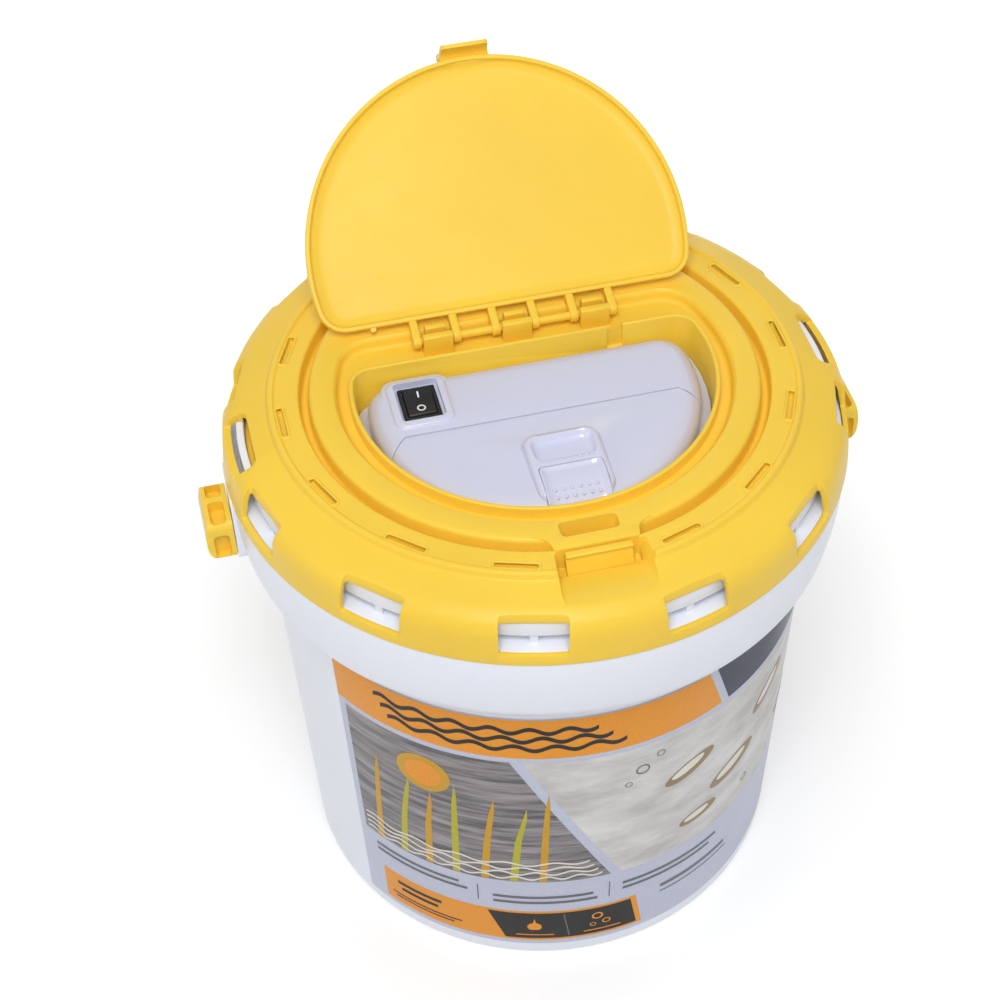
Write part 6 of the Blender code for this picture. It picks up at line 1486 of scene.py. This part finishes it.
def hood(name, top):
    """The D-shaped hood with its soft edge, open below."""
    wide, deep = 0.0076, 0.0058
    path = [(-0.0150, top)]
    for angle in quarter(14):
        path.append((-wide + wide * math.sin(angle), top - deep + deep * math.cos(angle)))
    path += [(0.0, COVER_LOW + 0.0004), (-0.0004, COVER_LOW),
             (-0.0016, COVER_LOW), (-COVER_WALL, COVER_LOW + 0.0004)]
    for angle in reversed(quarter(8)):
        path.append((-wide + (wide - COVER_WALL) * math.sin(angle),
                     top - deep + (deep - COVER_WALL) * math.cos(angle)))
    path.append((-0.0151, top - COVER_WALL))
    return d_body(name, COVER, path)


def seam_line(gap):
    """The stepped line of the seam between the covers, from left to right."""
    left = [(-across, along - gap) for across, along in reversed(SEAM)]
    return left + [(across, along - gap) for across, along in SEAM]


def swelling(name, low, high, corner, base, top, foot, crown):
    """A block that rises softly from a flat surface: a hollow foot below, a round edge above."""
    rise = top - base
    share = 0.42
    path = [(foot + 0.0004, base - 0.0008), (foot, base - 0.0001)]
    for angle in quarter(5, 1):
        path.append((foot * (1 - math.sin(angle)), base + rise * share * (1 - math.cos(angle))))
    for angle in quarter(7, 1):
        path.append((-crown * (1 - math.cos(angle)), base + rise * (share + 0.58 * math.sin(angle))))
    return loft(name, box_rings(low, high, corner, path), helper=True)


def basin(name, low, high, corner, base, top):
    """A cutter for a hollow with soft walls and round corners."""
    deep = top - base
    profile = ((-0.0034, 0.0), (-0.0018, 0.08), (-0.0007, 0.28), (0.0, 0.62), (0.0005, 0.88))
    path = [(outset, base + share * deep) for outset, share in profile]
    path += [(0.0011, top), (0.0011, top + CLEAR)]
    return loft(name, box_rings(low, high, corner, path), helper=True)


def round_switch(half_across, half_along, back=None):
    """The low and high corners of a rectangle round the middle of the switch."""
    back = half_along if back is None else back
    return (SWITCH[0] - half_across, SWITCH[1] - half_along), (SWITCH[0] + half_across, SWITCH[1] + back)


def switch_box(name, half_across, half_along, low, high):
    """A box round the middle of the switch, between two heights."""
    near, far = round_switch(half_across, half_along)
    return box(name, (*near, low), (*far, high))


def aerator_cover():
    """White rear cover with the raised surround and sunk pocket of the switch."""
    made = hood("rear_cover", COVER_TOP)
    above = COVER_TOP + CLEAR
    across, along = POCKET_HALF
    reach = SEAM[-1][0]
    front = [(-reach, -reach), (reach, -reach)] + list(reversed(seam_line(0.0)))
    low = (SWITCH[0] - across - 0.0030, SWITCH[1] - along - 0.0030)
    high = (SWITCH[0] + across + 0.0030, SWITCH[1] + along + 0.0018)
    join(made, swelling("surround", low, high, 0.0040, COVER_TOP, COVER_TOP + 0.0014, 0.0018, 0.0022))
    outline = rounded_box(*round_switch(across, along), 0.0016)
    pocket = prism("pocket", outline, COVER_TOP - 0.0018, above, helper=True)
    hole = switch_box("switch_hole", 0.0065, 0.0071, 0.2300, above)
    cut(made, prism("front_space", front, COVER_LOW - CLEAR, above, helper=True), pocket, hole)
    clean(made)
    ease(made, 0.0005, 3, 40.0)
    return dress(made, "lid_body", "housing", stands_for=("aerator_cover",))


def battery_cover():
    """White front cover with the housing and scoops of the thumb latch."""
    top = COVER_TOP - 0.0003
    high = COVER_TOP + 0.0036
    half = 0.0150
    reach = SEAM[-1][0]
    made = hood("battery_cover", top)
    back = seam_line(0.0004) + [(reach, reach), (-reach, reach)]
    cut(made, prism("rear_space", back, COVER_LOW - CLEAR, COVER_TOP + 0.008, helper=True))
    housing = swelling("latch_housing", (LATCH_X - half, -0.0622), (LATCH_X + half, -0.0276), 0.0058,
                       top, high, 0.0020, 0.0028)
    # The housing slopes down towards its front
    for vert in housing.data.vertices:
        share = max(0.0, min(1.0, (-vert.co.y - 0.0500) / 0.0140))
        vert.co.z -= 0.0046 * share * share
    join(made, housing)
    half = 0.0118
    scoop = basin("scoop", (LATCH_X - half, -0.0434), (LATCH_X + half, -0.0308), 0.0040, high - 0.0032, high)
    half = 0.0127
    outline = rounded_box((LATCH_X - half, -0.0720), (LATCH_X + half, -0.0459), 0.0022)
    slot = prism("latch_slot", outline, 0.2394, high + CLEAR, helper=True)
    cut(made, scoop, slot)
    clean(made)
    ease(made, 0.0006, 3, 36.0)
    return dress(made, "battery_cover", "housing", stands_for=("battery_door",))


def pad_height(across, share):
    """The height of the thumb pad's hollow top at a place across it and from its front to its back."""
    inside = min(1.0, (0.0124 - abs(across)) / 0.0034)
    ends = min(1.0, (1 - share) / 0.14) * min(1.0, share / 0.05 + 0.25)
    hollow = 0.0021 * math.sin(math.pi / 2 * max(0.0, inside)) * math.sin(math.pi / 2 * ends)
    slope = 0.0040 * max(0.0, 1 - share / 0.75) ** 2
    return COVER_TOP + 0.0038 - slope - hollow


def thumb_pad():
    """The springy thumb pad, hollowed for a fingertip, with a soft raised rim and round corners."""
    low = 0.2430
    steps = 32
    across_steps = 24
    rings = []
    for index in range(steps + 1):
        share = index / steps
        y = PAD_FRONT + PAD_LENGTH * share
        half = PAD_HALF - 0.0022 * max(0.0, (share - 0.88) / 0.12) ** 2.5
        edge = 0.0016 * max(0.0, 1 - share / 0.08) ** 2 + 0.0012 * max(0.0, (share - 0.94) / 0.06) ** 2
        base = low - 0.0012 * (1 - share)
        ring = [(LATCH_X - half, y, base), (LATCH_X + half, y, base)]
        for step in range(across_steps + 1):
            across = half * math.cos(math.pi * step / across_steps)
            side = max(0.0, abs(across) / half - 0.94) / 0.06
            high = pad_height(across * PAD_HALF / half, share) - edge - 0.0008 * side ** 2
            ring.append((LATCH_X + across, y, high))
        rings.append(ring)
    made = loft("thumb_pad", rings)
    return dress(made, "thumb_pad", "housing", stands_for=("thumb_latch",))


def grip_dots():
    """Two rows of small raised dots on the thumb pad, and four in the scoop behind it."""
    spots = []
    for row in range(2):
        for column in range(6):
            across = (column - 2.5) * 0.0033 - 0.0004 * row
            y = -0.0604 + row * 0.0031
            spots.append((LATCH_X + across, y, pad_height(across, (y - PAD_FRONT) / PAD_LENGTH)))
    made = repeated("grip_dots", unturned(spots), "BALL", 0.0008, "housing")
    dress(made, "thumb_pad", "housing", smooth_deg=80.0)
    spots = [(LATCH_X + 0.0020 + 0.0026 * index, -0.0434, COVER_TOP + 0.0028) for index in range(4)]
    side = repeated("scoop_dots", unturned(spots), "BALL", 0.0006, "housing")
    return dress(side, "battery_cover", "housing", smooth_deg=80.0)


# Switch

BEZEL_LOW = 0.2425
ROCKER_PIVOT = 0.2421
ROCKER_HALF = 0.0068
ROCKER_TILT = math.radians(7.0)


def switch_frame():
    """Black bezel, box and terminals of the switch."""
    low = BEZEL_LOW
    outline = rounded_box(*round_switch(0.0075, 0.0091), 0.0006, 3)
    made = prism("switch_bezel", outline, low, low + 0.0014, edge=0.0005)
    join(made, switch_box("switch_block", 0.0062, 0.0068, low - 0.0110, low + 0.0007))
    for side in SIDES:
        y = SWITCH[1] + side * 0.0040
        join(made, box(f"terminal_{side + 1}", (SWITCH[0] - 0.0024, y - 0.0004, low - 0.0170),
                       (SWITCH[0] + 0.0024, y + 0.0004, low - 0.0102)))
    cut(made, switch_box("rocker_seat", 0.0060, 0.0078, low - 0.0048, low + CLEAR))
    clean(made)
    return dress(made, "lid_body", "black", stands_for=("switch_body",))


def rocker_top(y):
    """The height of the rocker's hollow top above its pivot."""
    return 0.0034 - 0.0011 * (1 - (y / ROCKER_HALF) ** 2)


def rocker_place():
    """The place of the rocker, tilted to its off side."""
    return Matrix.Translation((SWITCH[0], SWITCH[1], ROCKER_PIVOT)) @ Matrix.Rotation(ROCKER_TILT, 4, "X")


def switch_rocker():
    """Black rocker with a hollow face, and the I and O marks on it."""
    rings = []
    half = 0.0057
    base = -0.0004
    steps = 24
    for index in range(steps + 1):
        share = index / steps
        y = -0.0070 + 0.0140 * share
        fall = 0.0006 * max(0.0, 1 - share / 0.06) ** 2 + 0.0006 * max(0.0, (share - 0.94) / 0.06) ** 2
        high = rocker_top(max(-ROCKER_HALF, min(ROCKER_HALF, y))) - fall
        section = soften([(-half, base, 0.0), (half, base, 0.0), (half, high, 0.0006), (-half, high, 0.0006)],
                         3, closed=True)
        rings.append([(x, y, z) for x, z in section])
    made = loft("rocker", rings)
    made.data.transform(rocker_place())
    dress(made, "rocker", "black", stands_for=("switch_rocker",))
    thick = 0.0001
    bar = prism("rocker_bar", rounded_box((-0.00035, 0.0022), (0.00035, 0.0050), 0.0003, 3), 0.0, 2 * thick)
    for vert in bar.data.vertices:
        vert.co.z += rocker_top(vert.co.y) - thick
    bar.data.transform(rocker_place())
    dress(bar, "rocker", "mark")
    inner, outer = 0.00115, 0.00175
    steps = 40
    rings = []
    for index in range(steps):
        angle = 2 * math.pi * index / steps
        ring = []
        for radius, height in ((inner, -thick), (outer, -thick), (outer, thick), (inner, thick)):
            y = -0.0034 + radius * math.sin(angle)
            ring.append((radius * math.cos(angle), y, rocker_top(y) + height))
        rings.append(ring)
    circle = loft("rocker_ring", rings, ring_closed=True)
    circle.data.transform(rocker_place())
    return dress(circle, "rocker", "mark")


CAD_PAINTS = {
    "aerator_base": "housing", "housing_gasket": "rubber",
    "flange_screw_1": "steel", "flange_screw_2": "steel",
    "flange_screw_3": "steel", "flange_screw_4": "steel",
    "battery_left": "cell", "battery_right": "cell",
    "battery_spring_left": "plated", "battery_spring_right": "plated",
    "contact_strip": "plated", "contact_plate": "plated",
    "battery_wire": "black_wire", "motor_wire": "red_wire", "return_wire": "black_wire",
    "motor": "can", "crank_shaft": "steel", "connecting_rod": "grey", "pump_chassis": "plain",
    "pump_diaphragm": "rubber", "pump_body": "plain", "valve_plate": "rubber", "pump_head": "plain",
    "air_tube": "tube", "outlet_nipple": "plain",
}


def inner_finishes():
    """Better finishes for the inner pieces that keep their solid shape."""
    for name, tone in CAD_PAINTS.items():
        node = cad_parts[name]
        node.data.materials.clear()
        node.data.materials.append(paint(tone))


# Stage

CAMERA_DISTANCE = 0.85529
CAMERA_TARGET = Vector((0.0, 0.0, 0.150))
CAMERA_TURN = math.radians(-13.68)
CAMERA_RISE = math.radians(47.143)
CAMERA_ROLL = math.radians(-0.857)
FOCAL_PIXELS = 1994.6
CENTRE_PIXELS = (537.16, 550.73)
IMAGE_PIXELS = 1000.0
SENSOR_WIDTH = 36.0
# Each lamp's name, place, height on the Z axis that it is aimed at, size, power setting and share of it
LAMPS = (
    ("key_lamp", (-0.20, -0.70, 1.30), 0.18, 0.6, "key_power", 1.0),
    ("left_lamp", (-1.25, -0.25, 0.75), 0.15, 0.4, "fill_power", 1.0),
    ("right_lamp", (1.25, -0.65, 0.75), 0.15, 0.5, "fill_power", 0.8),
    ("back_lamp", (0.35, 1.45, 0.70), 0.12, 0.9, "fill_power", 2.2),
)


def stage_camera():
    """The camera of the photograph."""
    level = math.cos(CAMERA_RISE)
    back = Vector((math.sin(CAMERA_TURN) * level, -math.cos(CAMERA_TURN) * level, math.sin(CAMERA_RISE)))
    right = Vector((math.cos(CAMERA_TURN), math.sin(CAMERA_TURN), 0.0))
    up = back.cross(right)
    across = right * math.cos(CAMERA_ROLL) + up * math.sin(CAMERA_ROLL)
    upward = up * math.cos(CAMERA_ROLL) - right * math.sin(CAMERA_ROLL)
    place = Matrix((across, upward, back)).transposed().to_4x4()
    place.translation = CAMERA_TARGET + back * CAMERA_DISTANCE
    data = bpy.data.cameras.new("photo_camera")
    data.sensor_width = SENSOR_WIDTH
    data.lens = FOCAL_PIXELS * SENSOR_WIDTH / IMAGE_PIXELS
    data.shift_x = (IMAGE_PIXELS / 2 - CENTRE_PIXELS[0]) / IMAGE_PIXELS
    data.shift_y = (CENTRE_PIXELS[1] - IMAGE_PIXELS / 2) / IMAGE_PIXELS
    data.clip_start = 0.01
    data.clip_end = 50.0
    camera = bpy.data.objects.new("photo_camera", data)
    camera.matrix_world = place
    bpy.context.scene.collection.objects.link(camera)
    bpy.context.scene.camera = camera
    return camera


def seen_directly(tree):
    """A value of 1 for rays of the camera, and for what shows in glossy and clear surfaces."""
    path = tree.nodes.new("ShaderNodeLightPath")
    value = path.outputs["Is Camera Ray"]
    for name in ("Is Glossy Ray", "Is Transmission Ray"):
        both = tree.nodes.new("ShaderNodeMath")
        both.operation = "MAXIMUM"
        tree.links.new(value, both.inputs[0])
        tree.links.new(path.outputs[name], both.inputs[1])
        value = both.outputs["Value"]
    return value


def whiten(ground):
    """Lift the floor to white where it is seen directly, more so away from the object."""
    tree = ground.tree
    near, far = 0.12, 0.55
    near_glow, far_glow = 0.26, 0.80
    away = tree.nodes.new("ShaderNodeVectorMath")
    away.operation = "LENGTH"
    ground.link(ground.where, away.inputs[0])
    level = tree.nodes.new("ShaderNodeMath")
    level.operation = "MULTIPLY"
    ground.link(ground.ranged(away.outputs["Value"], near_glow, far_glow, near, far), level.inputs[0])
    ground.link(seen_directly(tree), level.inputs[1])
    glow = tree.nodes.new("ShaderNodeEmission")
    ground.link(level.outputs["Value"], glow.inputs["Strength"])
    both = tree.nodes.new("ShaderNodeAddShader")
    ground.link(ground.shader.outputs["BSDF"], both.inputs[0])
    ground.link(glow.outputs["Emission"], both.inputs[1])
    ground.link(both.outputs["Shader"], tree.nodes["Material Output"].inputs["Surface"])


def stage_floor():
    """Pale floor that shows as white behind the object and keeps its shadow."""
    reach = 6
    corners = [(-reach, -reach, 0), (reach, -reach, 0), (reach, reach, 0), (-reach, reach, 0)]
    mesh = bpy.data.meshes.new("studio_floor")
    mesh.from_pydata(corners, [], [(0, 1, 2, 3)])
    floor = bpy.data.objects.new("studio_floor", mesh)
    floor.location.z = -0.0002
    bpy.context.scene.collection.objects.link(floor)
    ground = Finish("studio_floor_paint", (0.80, 0.80, 0.80), 0.85)
    ground.tone(ground.noise(3.0), (0.79, 0.79, 0.79), (0.81, 0.81, 0.81))
    whiten(ground)
    mesh.materials.append(ground.material)
    return floor


def stage_lamp(name, place, target, size, power):
    """One soft square lamp aimed at a point."""
    data = bpy.data.lights.new(name, "AREA")
    data.shape = "SQUARE"
    data.size = size
    data.energy = power
    lamp = bpy.data.objects.new(name, data)
    way = Vector(target) - Vector(place)
    lamp.matrix_world = Matrix.Translation(place) @ way.to_track_quat("-Z", "Y").to_matrix().to_4x4()
    lamp.visible_camera = False
    bpy.context.scene.collection.objects.link(lamp)
    return lamp


def stage_sky(strength):
    """Even light all round, white where it is seen directly."""
    world = bpy.data.worlds.new("studio_sky")
    bpy.context.scene.world = world
    world.use_nodes = True
    tree = world.node_tree
    back = tree.nodes["Background"]
    back.inputs["Color"].default_value = (1.0, 1.0, 1.0, 1.0)
    level = tree.nodes.new("ShaderNodeMapRange")
    level.inputs["To Min"].default_value = strength
    level.inputs["To Max"].default_value = 1.0
    tree.links.new(seen_directly(tree), level.inputs["Value"])
    tree.links.new(level.outputs["Result"], back.inputs["Strength"])
    return world


# Operators, panel and registration


class BAITBUCKET_OT_build_pail(bpy.types.Operator):
    """Make the pail with its gussets and foam cup"""
    bl_idname = "baitbucket.build_pail"
    bl_label = "Build Pail"
    bl_options = {"REGISTER", "UNDO"}

    def execute(self, context):
        pail_shell()
        pail_gussets()
        foam_cup()
        return {"FINISHED"}


class BAITBUCKET_OT_build_label(bpy.types.Operator):
    """Make the label and its plain design"""
    bl_idname = "baitbucket.build_label"
    bl_label = "Build Label"
    bl_options = {"REGISTER", "UNDO"}

    def execute(self, context):
        label_film()
        label_prints()
        return {"FINISHED"}


class BAITBUCKET_OT_build_bail(bpy.types.Operator):
    """Make the bail handle with its hubs, grip and ribs"""
    bl_idname = "baitbucket.build_bail"
    bl_label = "Build Bail"
    bl_options = {"REGISTER", "UNDO"}

    def execute(self, context):
        bail_arch()
        bail_ribs()
        return {"FINISHED"}


class BAITBUCKET_OT_build_lid(bpy.types.Operator):
    """Make the lid with its slot rims and hinge posts"""
    bl_idname = "baitbucket.build_lid"
    bl_label = "Build Lid"
    bl_options = {"REGISTER", "UNDO"}

    def execute(self, context):
        lid_shell()
        slot_rims()
        hinge_posts()
        return {"FINISHED"}


class BAITBUCKET_OT_build_catch(bpy.types.Operator):
    """Make the springy door catch"""
    bl_idname = "baitbucket.build_catch"
    bl_label = "Build Catch"
    bl_options = {"REGISTER", "UNDO"}

    def execute(self, context):
        door_catch()
        return {"FINISHED"}


class BAITBUCKET_OT_build_door(bpy.types.Operator):
    """Make the access door"""
    bl_idname = "baitbucket.build_door"
    bl_label = "Build Door"
    bl_options = {"REGISTER", "UNDO"}

    def execute(self, context):
        access_door()
        return {"FINISHED"}


class BAITBUCKET_OT_build_housing(bpy.types.Operator):
    """Make both covers of the pump housing and the thumb latch"""
    bl_idname = "baitbucket.build_housing"
    bl_label = "Build Housing"
    bl_options = {"REGISTER", "UNDO"}

    def execute(self, context):
        aerator_cover()
        battery_cover()
        thumb_pad()
        grip_dots()
        return {"FINISHED"}


class BAITBUCKET_OT_build_switch(bpy.types.Operator):
    """Make the rocker switch and its marks"""
    bl_idname = "baitbucket.build_switch"
    bl_label = "Build Switch"
    bl_options = {"REGISTER", "UNDO"}

    def execute(self, context):
        switch_frame()
        switch_rocker()
        return {"FINISHED"}


class BAITBUCKET_OT_finish_inside(bpy.types.Operator):
    """Give the inner pieces their finishes"""
    bl_idname = "baitbucket.finish_inside"
    bl_label = "Finish Inside"
    bl_options = {"REGISTER", "UNDO"}

    def execute(self, context):
        inner_finishes()
        return {"FINISHED"}


class BAITBUCKET_OT_build_stage(bpy.types.Operator):
    """Make the camera, floor, lamps and sky"""
    bl_idname = "baitbucket.build_stage"
    bl_label = "Build Stage"
    bl_options = {"REGISTER", "UNDO"}

    def execute(self, context):
        levels = context.scene.bait_bucket_stage
        powers = {"key_power": levels.key_power, "fill_power": levels.fill_power}
        stage_camera()
        stage_floor()
        for name, place, aim, size, setting, share in LAMPS:
            stage_lamp(name, place, (0.0, 0.0, aim), size, powers[setting] * share)
        stage_sky(levels.world)
        context.scene.view_settings.view_transform = "Standard"
        return {"FINISHED"}


OPERATORS = (
    BAITBUCKET_OT_build_pail, BAITBUCKET_OT_build_label, BAITBUCKET_OT_build_bail, BAITBUCKET_OT_build_lid,
    BAITBUCKET_OT_build_catch, BAITBUCKET_OT_build_door, BAITBUCKET_OT_build_housing,
    BAITBUCKET_OT_build_switch, BAITBUCKET_OT_finish_inside, BAITBUCKET_OT_build_stage,
)
SETTINGS = {
    "bait_bucket_pail": BaitBucketPail,
    "bait_bucket_lid": BaitBucketLid,
    "bait_bucket_colours": BaitBucketColours,
    "bait_bucket_stage": BaitBucketStage,
}


class BAITBUCKET_PT_panel(bpy.types.Panel):
    """Sidebar panel with the settings and the makers of the bait bucket."""
    bl_label = "Bait Bucket"
    bl_idname = "BAITBUCKET_PT_panel"
    bl_space_type = "VIEW_3D"
    bl_region_type = "UI"
    bl_category = "Bait Bucket"

    def draw(self, context):
        """List the settings and the operators."""
        column = self.layout.column()
        for group in SETTINGS:
            settings = getattr(context.scene, group)
            for name in settings.__annotations__:
                column.prop(settings, name)
        for item in OPERATORS:
            column.operator(item.bl_idname)


CLASSES = (*SETTINGS.values(), *OPERATORS, BAITBUCKET_PT_panel)


def register():
    """Register the classes and the settings of the scene."""
    for item in CLASSES:
        bpy.utils.register_class(item)
    for name, group in SETTINGS.items():
        setattr(bpy.types.Scene, name, PointerProperty(type=group))


def unregister():
    """Remove the settings and the classes."""
    for name in SETTINGS:
        delattr(bpy.types.Scene, name)
    for item in reversed(CLASSES):
        bpy.utils.unregister_class(item)


def main():
    """Register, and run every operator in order."""
    register()
    for item in OPERATORS:
        getattr(bpy.ops.baitbucket, item.bl_idname.split(".")[1])()


if __name__ == "__main__":
    main()
